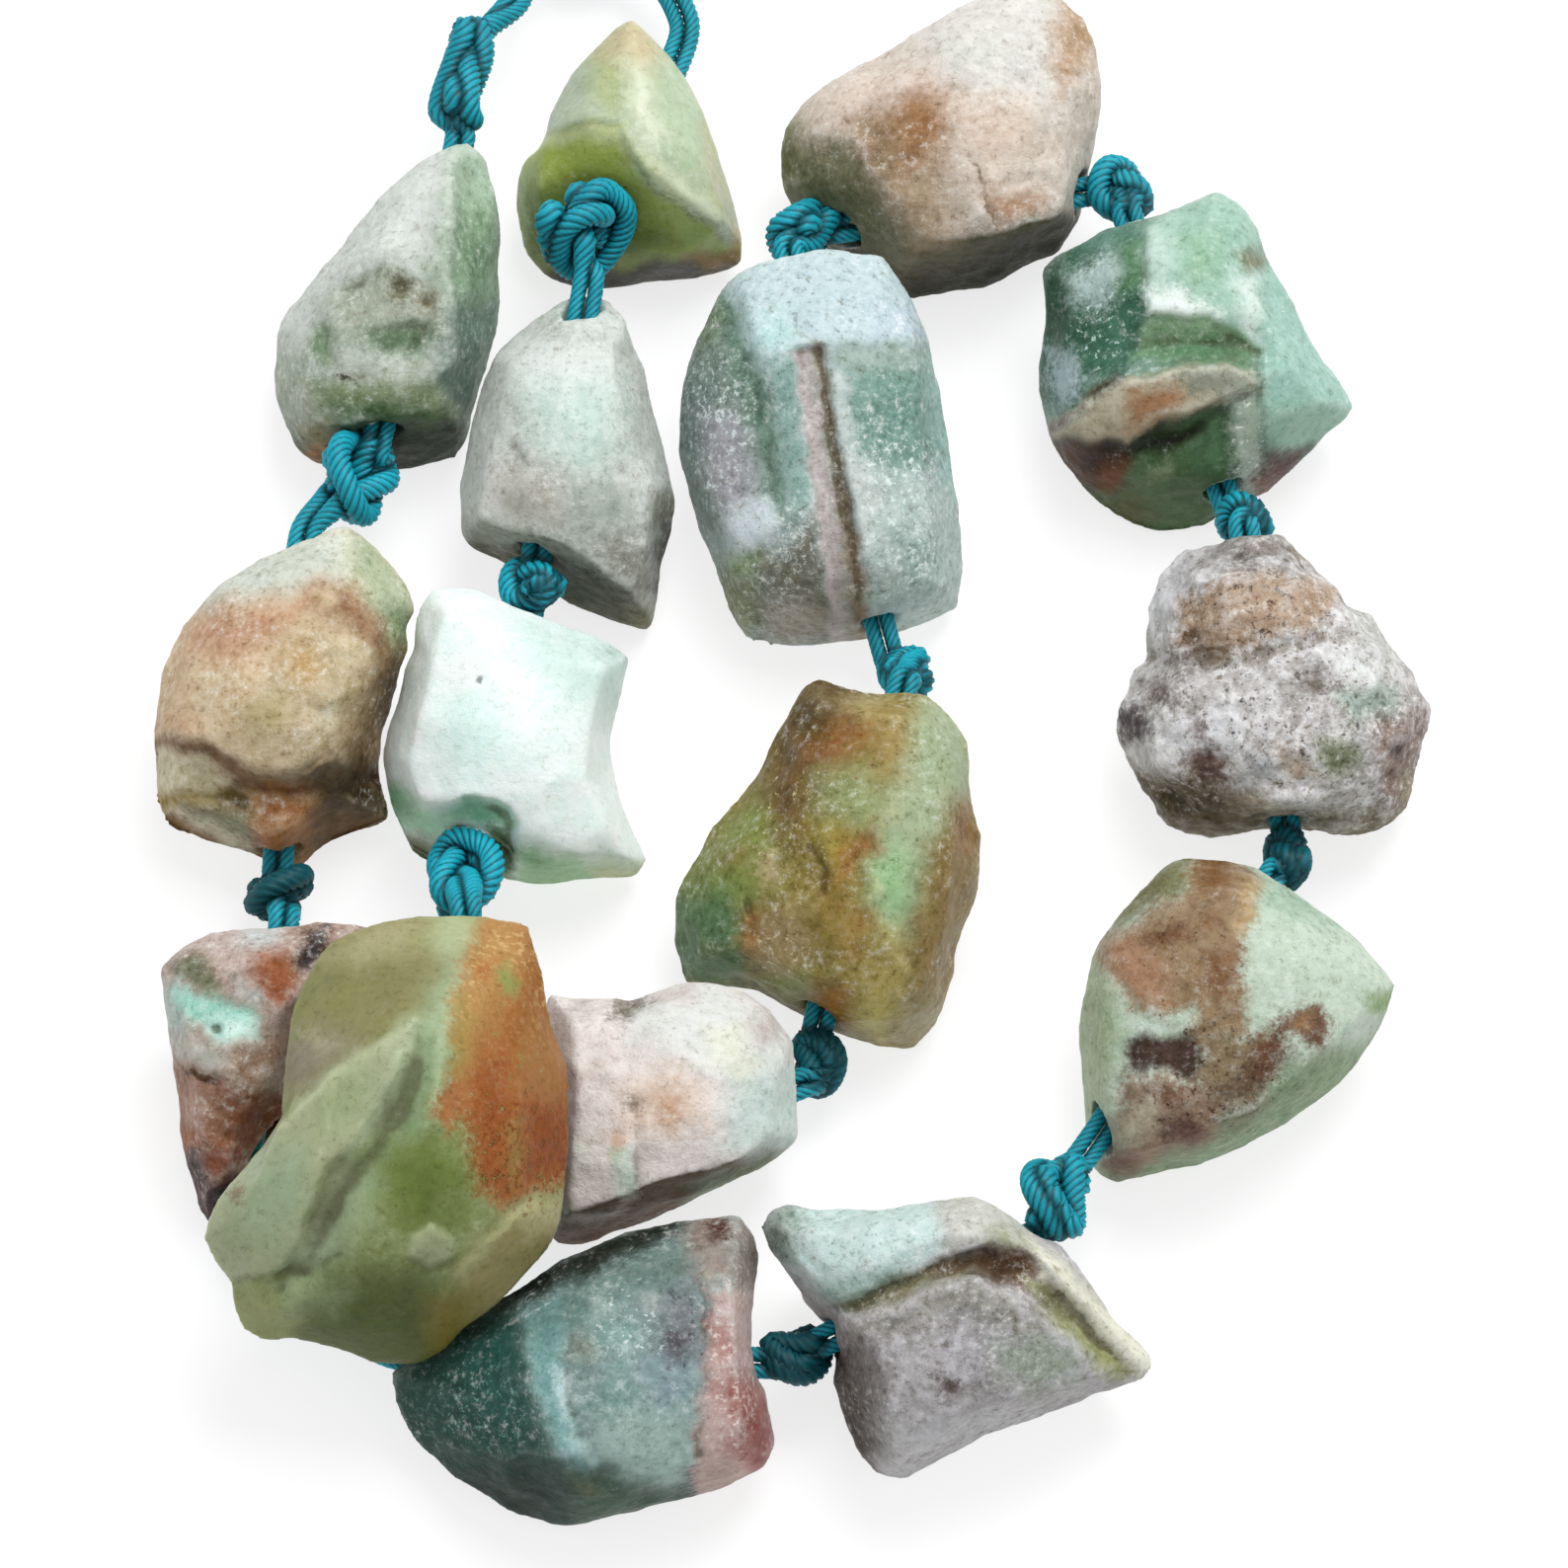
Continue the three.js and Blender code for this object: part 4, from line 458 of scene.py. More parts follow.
card["marks"] = [
    patch("8b8a5c", 0.95, 1, 0.5, -90, 30, -90, 100, -64, 140, -20, 166, 30, 166, 46, 136, 16, 90, -24, 66,
        -60, 36),
    patch("74764a", 0.75, 2.2, 0.5, -80, 90, -60, 130, -30, 146, 6, 134, 16, 110, -30, 108),
    patch("857e6a", 0.95, 1.6, 0.9, -90, 34, -86, 70, -50, 82, -26, 68, -60, 38),
    patch("a8a888", 0.6, 0.8, 1.2, -70, 76, -56, 80, -40, 68, -56, 64),
    patch("aeb590", 0.95, 1, 0.5, 18, 144, 26, 166, 62, 164, 54, 140, 40, 128, 26, 134),
    patch("a5aa8d", 0.95, 0.5, 0.3, -85, 12, -64, 30, -46, 46, -26, 64, -14, 68, 2, 83, 13, 88, 7, 68, -4, 40,
        -18, 16, -36, -8, -52, -20, -56, -34, -64, -50, -70, -74, -82, -88, -120, -100, -146, -80, -142, -60,
        -124, -32, -102, -6),
    patch("919a7c", 0.75, 1.8, 0.5, -84, 4, -60, -10, -64, -46, -76, -80, -116, -94, -136, -76, -120, -34),
    patch("9fb498", 0.65, 2, 0.5, -100, -10, -70, -8, -66, -40, -90, -66, -110, -56),
    patch("a2b189", 0.6, 1.6, 0.5, -56, 34, -26, 56, -16, 34, -34, 8, -54, 10),
    patch("c3ccae", 0.5, 0.5, 0.3, -86, 11, -80, 13, -46, 42, -25, 60, -12, 64, 11, 82, 13, 89, -15, 70, -28,
        66, -66, 32),
    patch("c5cfb4", 0.65, 0.4, 0.5, 13, 89, 12, 70, 0, 40, -15, 14, -33, -10, -38, -9, -21, 17, -8, 41),
    patch("6c4a2c", 0.7, 0.4, 0.9, -118, -34, -111, -34, -108, -44, -115, -44),
    patch("868b6e", 0.95, 0.7, 0.7, -51, -20, -34, -7, -26, -24, -32, -54, -54, -90, -72, -84, -62, -52, -54,
        -34),
    patch("a6ba9c", 0.8, 2, 0.4, 14, 84, 40, 134, 49, 126, 42, 90, 36, 50, 28, 24, 14, 4, -6, -16, -24, -50,
        -60, -98, -86, -122, -74, -94, -46, -56, -22, -14, 2, 30),
    patch("86a076", 0.7, 1.6, 0.5, 6, 34, 30, 46, 26, 14, 8, -4, -14, -10),
    patch("a06a42", 0.95, 0.8, 1.6, 50, 130, 62, 162, 98, 158, 106, 120, 112, 86, 126, 54, 126, 0, 122, -28,
        96, -36, 76, -48, 56, -32, 53, -6, 46, 18, 36, 8, 26, 18, 29, 36, 40, 48, 41, 70, 40, 96),
    patch("b99766", 0.85, 1.6, 1, 50, 130, 62, 160, 88, 158, 86, 124, 70, 96, 56, 74, 46, 74, 44, 100),
    patch("a19257", 0.8, 0.9, 0.8, 39, 100, 49, 104, 53, 70, 48, 46, 39, 50),
    patch("8c4c2c", 0.6, 1.2, 2.6, 56, 50, 76, 64, 82, 20, 76, -34, 60, -28, 56, 0),
    patch("8b4b2a", 0.85, 1, 2.6, 88, 26, 118, 30, 124, 0, 118, -26, 92, -26),
    patch("9c7348", 0.75, 1.2, 1, 86, 80, 108, 84, 120, 56, 114, 32, 90, 34),
    patch("92804c", 0.75, 0.7, 0.8, 79, 14, 87, 16, 88, -18, 82, -30, 78, -10),
    patch("a25c36", 0.7, 0.8, 1.2, 56, 124, 70, 130, 68, 116, 58, 116),
    patch("8a985c", 0.85, 0.5, 0.5, 70, 122, 78, 126, 86, 114, 82, 104, 72, 106),
    patch("748349", 0.95, 1.6, 0.5, -6, 4, 24, 8, 46, -4, 52, -34, 34, -56, 12, -56, -8, -40, -12, -16),
    patch("5c6932", 0.75, 1.8, 0.5, 4, -16, 30, -14, 46, -30, 34, -54, 10, -54),
    patch("9aa180", 0.95, 0.5, 0.3, 9, -65, 24, -58, 40, -66, 40, -81, 24, -88, 9, -79),
    patch("8e865e", 0.95, 1.2, 0.5, 40, -98, 62, -66, 82, -48, 124, -40, 120, -80, 94, -110, 50, -134, 20,
        -136),
    patch("bcb893", 0.6, 1, 1.2, 76, -50, 94, -42, 120, -44, 116, -60, 94, -64),
    patch("acab84", 0.75, 0.5, 0.5, 40, -98, 46, -99, 67, -73, 88, -52, 82, -49, 56, -75),
    patch("48531f", 0.95, 2.2, 0.5, -50, -92, -10, -88, 26, -94, 44, -110, 30, -160, -40, -156, -80, -124),
    patch("7c6d2c", 0.7, 1.6, 0.5, 22, -114, 50, -114, 46, -144, 24, -156),
    patch("8d9268", 0.95, 1.2, 0.5, -128, -106, -94, -102, -70, -126, -80, -146, -126, -144),
    patch("98a582", 0.5, 1.4, 0.5, -90, -94, -66, -94, -34, -106, -44, -120, -80, -120),
    patch("9aa388", 0.7, 1.2, 0.5, -16, 46, 10, 58, 14, 30, 2, 6, -16, 10),
    patch("827a5a", 0.6, 2, 0.5, -20, 76, 14, 100, 34, 130, 0, 120, -30, 90),
    patch("b0aa8a", 0.7, 1.4, 0.5, -50, 130, -20, 160, 16, 162, 10, 136, -30, 124),
]
card["cuts"] = [
    slab(0.35, 0.7, 0.4, -86, 13, -64, 30, -46, 46, -26, 64, -14, 68, 2, 83, 14, 90, 8, 68, -4, 40, -18, 16,
        -36, -8, -52, -20, -56, -34, -64, -50, -70, -74, -82, -88, -120, -100, -160, -90, -150, -50, -124,
        -10),
    slab(0.25, 0.6, 0.6, -86, 13, -64, 30, -42, 48, -50, 4, -56, -34, -66, -60, -90, -96, -160, -90, -120,
        -20),
    slab(-0.2, 0.9, 0.6, 52, 130, 42, 96, 40, 50, 30, 30, 44, 16, 52, -6, 56, -32, 80, -50, 140, -30, 140,
        170, 60, 170),
    ridge([(4.4, 13.4), (3.9, 9), (2.9, 4), (1, 0.6), (-1.2, -2.6), (-3.4, -6.4), (-7.4, -10.6)], 1.1, 0.3,
        0.5),
    slab(0.45, 0.6, 0.6, 9, -65, 24, -58, 40, -66, 40, -81, 24, -88, 9, -79),
    slab(0.3, 0.8, 0.6, 36, -98, 62, -70, 86, -49, 130, -40, 130, -90, 90, -120, 50, -140, 20, -130),
    groove([(-9.6, -9.2), (-6.6, -9.2), (-4, -8)], 0.8, 0.4), groove([(6.4, 8), (7, 4), (6.6, 0)], 0.8, 0.25),
    pit(9.6, 1.4, 0.8, 0.25), pit(-8.2, -10.4, 0.8, 0.3),
]

# %% The cards, along the right side
card = STONES["nugget_06"] = {
    "at": (32.6, -17.2, 7.5), "skin": (0.6, 0.4, 0.45), "grit": (0.4, 0.6), "wax": 0.25,
    "body": ("c3d0c3", "b3c0ae"), "frost": ("e4eee5", 0.4), "under": ("6b785a", 0.9),
    "dots": [("4d3022", -4, 3, 5.6, 7, 0.42), ("42261e", -2, -4.6, 7.2, 5, 0.55)],
}
card["marks"] = [
    patch("c3d1c2", 0.95, 1.2, 0.5, 14, 88, 66, 80, 120, 30, 90, -30, 40, -20, 8, 0, 4, 40),
    patch("b5c1a6", 0.95, 1, 0.5, -116, 50, -96, 54, -94, 0, -92, -60, -98, -116, -120, -100),
    patch("8ea37c", 0.65, 1.2, 1, -104, 16, -86, 18, -84, -16, -100, -30),
    patch("6d6b40", 0.95, 0.7, 0.6, -100, 62, -82, 88, -56, 116, -30, 126, -33, 100, -46, 89, -70, 76),
    patch("927a5f", 0.95, 0.6, 0.8, -56, 84, -36, 94, -32, 124, -6, 120, 18, 100, 10, 76, 2, 60, 0, 36, 5, 4,
        2, -12, -34, -14, -32, 8, -70, 4, -86, 26, -102, 46, -96, 60, -74, 68),
    patch("b08c74", 0.85, 1.2, 0.9, -98, 48, -84, 59, -64, 50, -54, 30, -54, 9, -74, 12, -88, 28),
    patch("6a4730", 0.85, 0.7, 1.3, -68, 56, -56, 67, -40, 69, -36, 59, -50, 52),
    patch("7a5838", 0.8, 0.9, 1.2, -34, 104, -18, 116, -6, 106, -10, 88, -26, 88),
    patch("6b4526", 0.85, 0.7, 0.9, -30, 126, -10, 124, -10, 112, -28, 112),
    patch("785434", 0.75, 0.7, 1.3, -30, 76, -16, 78, -14, 66, -26, 66),
    patch("7a583c", 0.8, 0.8, 1.4, -28, 44, -12, 47, -3, 52, -2, 30, -10, 19, -24, 22),
    patch("c3ab82", 0.7, 0.6, 0.8, 4, 98, 18, 100, 10, 76, 3, 60, -4, 66, 2, 82),
    patch("816f54", 0.95, 0.8, 1, -34, -8, 0, -12, 26, -8, 28, -30, 10, -56, -20, -60, -36, -44, -28, -26),
    patch("6a4836", 0.95, 0.6, 1.2, 30, 2, 42, 9, 56, 8, 66, -6, 62, -19, 48, -21, 40, -10, 26, -14, 20, -24,
        24, -10),
    patch("a88a66", 0.7, 0.6, 1, 40, 2, 50, 4, 50, -6, 40, -6),
    patch("5c3a2c", 0.85, 0.9, 1.5, 14, -16, 30, -12, 36, -28, 22, -44, 6, -56, -12, -50, 4, -36),
    patch("3c2019", 0.95, 0.5, 0.45, -80, -16, -66, -11, -46, -14, -32, -12, -29, -30, -32, -45, -48, -39,
        -64, -34, -80, -40),
    patch("8f7765", 0.95, 0.8, 1.2, -82, -42, -56, -39, -34, -46, -8, -58, -20, -90, -50, -96, -80, -114, -98,
        -106, -88, -70),
    patch("c3bca6", 0.75, 0.8, 1.4, -76, -60, -60, -58, -56, -74, -82, -94, -90, -84),
    patch("512f29", 0.85, 0.7, 1.4, -60, -70, -42, -69, -26, -76, -28, -90, -50, -90),
    patch("67452c", 0.75, 0.6, 1.2, -56, -49, -44, -48, -42, -58, -54, -58),
    patch("5b3c30", 0.7, 0.7, 1.4, -94, -100, -74, -96, -72, -110, -90, -116),
    patch("8c9f83", 0.95, 1, 0.6, 34, -34, 66, -24, 106, -16, 80, -60, 14, -94, -50, -120, -86, -126, -60,
        -110, -16, -90, 16, -64),
    patch("6f8566", 0.65, 1.2, 0.8, 26, -46, 54, -40, 36, -64, 4, -78),
    patch("8ba372", 0.95, 0.6, 0.7, 90, 16, 116, 24, 110, 4, 96, 6),
    streak(3, 2.6, 3.9, 2.6, 0.4, "a9b5a6", 0.6, grain=1.2),
    patch("9fb8a4", 0.8, 1.4, 0.5, 16, 104, 46, 98, 80, 68, 60, 66, 20, 80),
    patch("6f604b", 0.75, 1, 1.2, -20, -46, 10, -44, 20, -60, 0, -76, -20, -70),
]
card["cuts"] = [
    slab(-0.25, 0.6, 0.6, -80, -16, -32, -12, -29, -30, -32, -45, -80, -40), pit(5, 0, 0.9, 0.2),
    slab(0.25, 0.7, 0.6, -32, 120, 18, 100, 2, 60, 4, 6, -34, -10, -70, 6, -98, 50, -70, 72),
    groove([(-9.8, 6), (-7, 7.4), (-4.4, 9), (-3.2, 10.2)], 0.5, 0.3),
    ridge([(-9.2, 4), (-9.2, -4), (-9.4, -10)], 0.8, 0.25),
    groove([(-2.5, -6.4), (1, -5.4), (3.4, -3.4)], 0.6, 0.25),
]
card = STONES["nugget_07"] = {
    "at": (35.4, 6.7, 7.8), "skin": (1.4, 1.2, 1.3), "grit": (1, 1), "wax": 0.15,
    "body": ("c6c4c4", "aeaaa7"), "frost": ("eaeaec", 0.9), "under": ("9a948c", 0.3),
    "web": ("e8e7e8", 2.8, 0.6),
    "dots": [("5a504c", 0, 0, 10, 9, 0.5), ("5c4a3e", -1, 5.6, 5.5, 3, 0.55), ("6e6560", 5, -6, 6, 4, 0.5)],
}
card["marks"] = [
    patch("dddde0", 0.8, 1.2, 0.5, -96, 80, -70, 94, -66, 56, -80, 40, -99, 46),
    patch("b39d88", 0.95, 0.7, 1.4, -69, 30, -68, 60, -50, 70, -26, 84, 4, 80, 24, 76, 46, 74, 44, 58, 20, 40,
        -10, 34, -30, 22, -50, 22),
    patch("8b7e70", 0.95, 0.8, 1.2, -34, 106, -10, 116, 16, 112, 44, 86, 24, 90, 6, 98, -14, 92),
    patch("8f8a68", 0.75, 0.7, 0.5, 8, 110, 26, 106, 40, 88, 22, 92),
    patch("5a5250", 0.85, 0.7, 1.6, -36, 102, -20, 98, -16, 88, -30, 86),
    patch("7a706c", 0.8, 0.9, 1.5, -74, 28, -56, 30, -48, 18, -60, 8, -76, 14),
    patch("706260", 0.8, 0.9, 1.5, -94, 0, -76, 6, -66, -6, -76, -16, -90, -14),
    patch("4c4042", 0.95, 0.6, 1, -118, -20, -98, -15, -88, -24, -90, -37, -108, -40),
    patch("e2e3e6", 0.85, 1, 0.9, -54, -20, -30, -16, -22, -34, -26, -56, -46, -48, -84, -50, -98, -60, -80,
        -34),
    patch("7f6a68", 0.7, 0.6, 1.4, -60, -24, -50, -24, -50, -38, -59, -38),
    patch("644e45", 0.95, 0.8, 1.3, -60, -47, -44, -43, -34, -56, -34, -70, -50, -74, -62, -64),
    patch("82766f", 0.65, 0.9, 1.6, 20, 10, 36, 10, 42, -2, 24, -6),
    patch("a9b7ae", 0.95, 0.8, 0.5, 44, -6, 72, 4, 90, -4, 88, -22, 52, -25),
    patch("e6e9e8", 0.8, 0.9, 0.5, 40, 24, 66, 24, 78, 8, 60, 2, 44, 10),
    patch("b9bcb6", 0.7, 1.2, 0.5, 54, 60, 80, 50, 94, 14, 80, 16, 64, 30),
    patch("7f866c", 0.95, 0.9, 0.9, 26, -39, 56, -38, 64, -54, 48, -68, 30, -58),
    patch("b3a18e", 0.75, 0.8, 1.3, 0, -44, 20, -50, 26, -66, 10, -66),
    patch("9fa3a8", 0.75, 0.8, 0.5, -20, -50, -6, -50, -4, -66, -20, -66),
    patch("86746a", 0.95, 0.9, 1.4, 70, -28, 90, -20, 116, -14, 110, -50, 106, -88, 80, -90, 74, -60),
    patch("22130e", 0.9, 0.4, 0.8, 86, -42, 93, -42, 93, -50, 86, -50),
    patch("9f9a7c", 0.75, 0.8, 1.2, 96, -64, 112, -60, 108, -90, 94, -94),
    patch("6b6046", 0.95, 1, 1.1, -106, -62, -64, -66, -30, -76, 0, -90, 60, -92, 106, -88, 84, -116, -70,
        -116),
    patch("473f2c", 0.8, 1, 1.2, -98, -72, -64, -74, -34, -86, -40, -96, -86, -94),
    patch("a79a85", 0.75, 0.8, 1, -30, -77, -6, -80, 4, -90, -20, -92),
    patch("8f8c8b", 0.65, 1.6, 1.4, -60, 106, -30, 116, 6, 110, 10, 88, -40, 82, -66, 76),
]
card["cuts"] = [
    pit(-2.6, 9.4, 0.9, 0.5), pit(-6.4, 3.4, 0.7, 0.45), pit(-5.2, 2.2, 0.7, 0.4), pit(3, 0.4, 0.7, 0.35),
    pit(-10.4, -3, 1.1, 0.45), boss(-2, 5.4, 3, 0.45), pit(9, -4.6, 0.6, 0.5), pit(-4.8, -5.8, 1.1, 0.45),
    groove([(-8.6, 1.6), (-4.6, 2.2), (-0.6, 2.4), (3.4, 3.6)], 0.7, 0.4), boss(1.6, -3.4, 2.2, 0.35),
    groove([(-2.4, -5), (-0.4, -7.4), (3, -7.4)], 0.6, 0.35), boss(7, 0.4, 1.6, 0.4),
    pit(1.6, -5.4, 0.7, 0.3), ridge([(-6.6, -3), (-3.4, -2), (-2.4, -4.4), (-0.6, -7.6), (3, -8)], 0.8, 0.4),
    boss(5, -9.2, 1.2, 0.35), boss(-8.2, -6.2, 1.4, 0.4),
]
card = STONES["nugget_08"] = {
    "at": (30.1, 30.6, 7.5), "skin": (0.6, 0.5, 0.45), "grit": (0.5, 0.6), "wax": 0.35,
    "body": ("84a494", "728f7f"), "frost": ("dfeae6", 0.5), "under": ("25290f", 0.9),
    "dots": [("c8dcd8", -7, 3.6, 2.8, 5.4, 0.5), ("cfe0da", 6.8, 1.6, 3.2, 5, 0.42), ("e9eee6", 3.6, -5.6,
        1.4, 4, 0.5)],
}
card["marks"] = [
    patch("365f4b", 0.95, 0.6, 0.5, -120, 76, -80, 98, -56, 104, -38, 98, -36, 32, -44, 4, -56, -10, -74, -14,
        -84, -36, -120, -36),
    patch("1f4631", 0.65, 1.6, 0.5, -116, 70, -96, 80, -90, 46, -80, 26, -100, 14, -116, 30),
    patch("6d9085", 0.8, 1.2, 0.9, -98, 86, -60, 102, -42, 96, -44, 76, -70, 76),
    patch("b9cbc9", 0.8, 1, 1.8, -93, 59, -74, 72, -54, 80, -50, 64, -60, 46, -74, 36, -92, 44),
    patch("4f7a4c", 0.75, 1, 0.8, -56, 86, -38, 90, -37, 50, -56, 46),
    patch("bccbd0", 0.85, 0.9, 1.6, -108, 10, -90, 0, -84, -16, -86, -30, -104, -34, -106, -10),
    patch("4c7460", 0.8, 1.2, 0.5, -80, 6, -56, 36, -38, 36, -44, 6, -58, -8, -76, -10),
    patch("a2c1b2", 0.95, 0.5, 0.4, -38, 94, -10, 120, 20, 134, 42, 120, 48, 80, 62, 62, 44, 50, 46, 4, 0, 31,
        -36, 33),
    patch("c6dad2", 0.8, 1.4, 0.5, -37, 90, -18, 94, -16, 64, -36, 54),
    patch("8fb192", 0.7, 1.6, 0.5, -12, 90, 12, 90, 12, 56, -8, 54),
    patch("e9f1ee", 0.9, 0.6, 1.2, -37, 52, -14, 49, 2, 39, 16, 30, 10, 22, -36, 24),
    patch("d5e2dd", 0.85, 0.9, 1.2, 26, 62, 44, 60, 46, 6, 32, 12),
    patch("77785f", 0.9, 0.6, 0.9, 29, 74, 42, 83, 54, 73, 48, 64, 34, 64),
    patch("8aaa88", 0.95, 0.5, 0.3, -37, 31, 8, 30, 28, 20, 44, 6, 36, -5, 0, -4, -46, 1),
    patch("4f7653", 0.9, 1, 0.5, -44, 4, -16, 12, 16, 13, 40, 2, 30, -5, -10, -5),
    patch("b5aa93", 0.95, 0.4, 0.5, -116, -50, -90, -39, -74, -26, -60, -14, -40, -16, -24, -9, 4, -5, 36, -9,
        42, -20, 20, -31, 0, -39, -30, -47, -50, -61, -76, -60, -110, -56),
    patch("c4bba6", 0.8, 0.9, 0.7, -100, -46, -76, -30, -60, -20, -54, -32, -74, -52),
    patch("9f7656", 0.85, 0.8, 0.8, -49, -26, -32, -23, -12, -26, -16, -39, -32, -45, -52, -54),
    patch("8b8f80", 0.9, 0.7, 1.5, -16, -10, 6, -7, 38, -10, 42, -22, 20, -31, -8, -26),
    patch("33230f", 0.95, 0.4, 0.4, -83, -30, -72, -20, -59, -10, -54, -14, -62, -20, -74, -31),
    patch("5b4647", 0.85, 0.5, 0.6, -114, -48, -96, -42, -82, -37, -86, -45, -106, -53),
    patch("4c2a12", 0.95, 0.6, 0.7, -106, -58, -76, -62, -50, -63, -42, -70, -49, -94, -68, -100, -94, -84),
    patch("190c05", 0.75, 1, 0.9, -84, -64, -60, -64, -64, -82, -80, -79),
    patch("75441f", 0.7, 0.9, 0.9, -66, -78, -50, -76, -54, -94, -70, -94),
    patch("4a643f", 0.95, 0.6, 0.5, -47, -66, -24, -52, 4, -43, 22, -36, 26, -60, 30, -98, 10, -118, -20,
        -134, -60, -130, -84, -100, -52, -94),
    patch("56775a", 0.8, 1.2, 0.5, -6, -49, 18, -40, 24, -60, 20, -82, 0, -80, -6, -66),
    patch("1f260f", 0.95, 0.6, 0.5, -46, -67, -26, -55, 4, -50, -2, -59, -26, -69, -40, -70),
    patch("7d8a68", 0.6, 0.5, 0.8, -36, -80, -20, -74, -20, -86, -34, -90),
    patch("574a2a", 0.7, 1.2, 0.5, -70, -104, -44, -98, -30, -116, -50, -126),
    patch("a9b6a8", 0.85, 0.7, 1.7, 23, -30, 44, -14, 49, -40, 48, -70, 42, -98, 28, -98, 26, -60),
    patch("9fc1b6", 0.95, 0.7, 0.5, 48, 60, 60, 62, 86, 16, 114, -20, 126, -44, 90, -60, 64, -70, 50, -60, 46,
        -20),
    patch("8eae98", 0.75, 1.6, 0.5, 50, -40, 80, -34, 114, -46, 86, -64, 54, -66),
    patch("4a2c24", 0.95, 0.6, 0.9, 50, -73, 66, -65, 82, -64, 76, -80, 62, -94, 54, -84),
    patch("8d7068", 0.8, 0.7, 1.3, 40, -88, 54, -82, 62, -94, 48, -102),
]
card["cuts"] = [
    slab(1, 0.8, 0.6, -120, -56, -90, -39, -74, -26, -60, -14, -40, -16, -24, -9, 4, -5, 36, -9, 42, -20, 20,
        -31, 0, -39, -30, -47, -50, -61, -76, -60),
    slab(0.5, 0.6, 0.3, -38, 140, -37, 32, 8, 30, 46, 4, 50, -100, 140, -100, 140, 140),
    slab(-0.5, 0.9, 0.6, -106, -59, -50, -63, 4, -43, 22, -34, 30, -98, 10, -140, -90, -140, -120, -80),
    groove([(-4.6, -6.8), (-2.6, -5.7), (0.4, -5.3)], 0.6, 0.5), pit(4.2, 7.2, 0.7, 0.35),
    pit(-7.2, -7.2, 0.9, 0.35), groove([(-8.4, 7), (-7.4, 4), (-8.6, 1)], 0.8, 0.25),
    ridge([(-5.8, 4), (-3.8, 4.6)], 0.35, 0.3),
]
card = STONES["nugget_09"] = {
    "at": (11.5, 45.6, 7.5), "skin": (0.7, 0.6, 0.5), "grit": (0.7, 0.6), "wax": 0.2,
    "body": ("d2c9bf", "c8bdb2"), "frost": ("efebe7", 0.5), "under": ("28290f", 0.92),
    "dots": [("7a6450", -2.6, 1.2, 3.2, 2.8, 0.42)],
}
card["marks"] = [
    patch("d9d8d3", 0.95, 2, 0.5, -20, 90, 20, 126, 100, 130, 100, 80, 80, 30, 50, 36, 0, 56),
    patch("cfd3ca", 0.6, 1.2, 0.9, 0, 76, 40, 82, 50, 70, 10, 66),
    patch("d9ccc2", 0.95, 1.8, 0.5, -100, 30, -60, 64, 0, 60, 16, 20, -40, 34, -86, 16),
    patch("dccbbb", 0.7, 2, 0.5, 20, 36, 60, 40, 70, 0, 40, -16, 14, 0),
    patch("a5866a", 0.95, 1.8, 0.8, -66, 26, -40, 38, -14, 46, 4, 38, 4, 10, -6, -16, -30, -34, -52, -26, -60,
        0),
    patch("946c48", 0.8, 1.5, 1, -28, 36, -8, 40, -2, 20, -8, 2, -26, 4),
    patch("85745a", 0.75, 1.2, 0.9, -56, 20, -42, 26, -34, 0, -36, -20, -52, -14),
    patch("b7a389", 0.95, 2, 0.5, -40, -26, -8, -16, 6, -40, 6, -70, -24, -76),
    patch("77795c", 0.95, 1.2, 0.6, -126, 26, -108, 28, -98, 6, -74, 12, -58, -4, -44, -30, -30, -54, -28,
        -82, -60, -64, -94, -42, -126, -20),
    patch("5c5f38", 0.8, 0.9, 0.5, -126, 20, -112, 22, -108, -10, -116, -26, -126, -20),
    patch("60694c", 0.75, 1.5, 0.5, -100, -6, -76, -4, -60, -30, -50, -60, -80, -54, -100, -30),
    patch("dcd0c5", 0.7, 1.4, 0.5, 10, -10, 50, 0, 88, -10, 94, -34, 40, -28, 24, -40),
    patch("b8957a", 0.85, 1, 0.7, 34, -32, 56, -28, 74, -34, 70, -44, 46, -50, 36, -44),
    patch("b9a088", 0.95, 1.2, 0.9, 82, 98, 90, 120, 116, 120, 118, 86, 106, 64, 88, 44, 82, 66),
    patch("a0845a", 0.8, 1, 0.5, 100, 116, 116, 110, 118, 90, 104, 86),
    patch("c6c4c0", 0.6, 0.9, 1.2, 46, 70, 68, 68, 66, 56, 48, 56),
    streak(2.2, -0.6, 2.9, -2.6, 0.35, "8a735c", 0.8),
    streak(2.9, -2.8, 3.9, -5, 0.35, "8a735c", 0.7),
    # painted shade on the near, lower face, here and in the next patch
    patch("55523a", 0.95, 0.7, 0.4, 116, -26, 100, -40, 76, -45, 46, -54, 10, -66, -28, -78, -24, -88, 20,
        -78, 70, -59, 110, -44),
    patch("23240f", 0.95, 0.9, 0.4, 116, -40, 76, -57, 20, -77, -26, -87, -26, -120, 120, -100),
    # a broad, soft painted shade towards the lower left
    patch("8a7d68", 0.4, 4, 0.5, -100, 20, -50, 10, 0, -20, 30, -50, -20, -80, -80, -60),
]
card["cuts"] = [
    groove([(2.2, -0.4), (2.8, -2.4), (3.9, -5)], 0.35, 0.3),
    ridge([(-9.6, 1.6), (-6.4, 1.2), (-4.4, -2.6), (-3, -7)], 0.9, 0.3),
    groove([(-1.6, 5.6), (1.6, 4.6), (5, 5.6)], 0.8, 0.15), pit(-1.6, 2, 1.2, 0.2), pit(-5.2, -3.4, 1, 0.2),
    boss(5.6, 1, 2.2, 0.25), groove([(7.8, 8), (8.2, 4), (7.4, 0)], 0.7, 0.2),
    groove([(4.4, -2.4), (7, -1.6), (8.4, -2.8)], 0.4, 0.15),
]

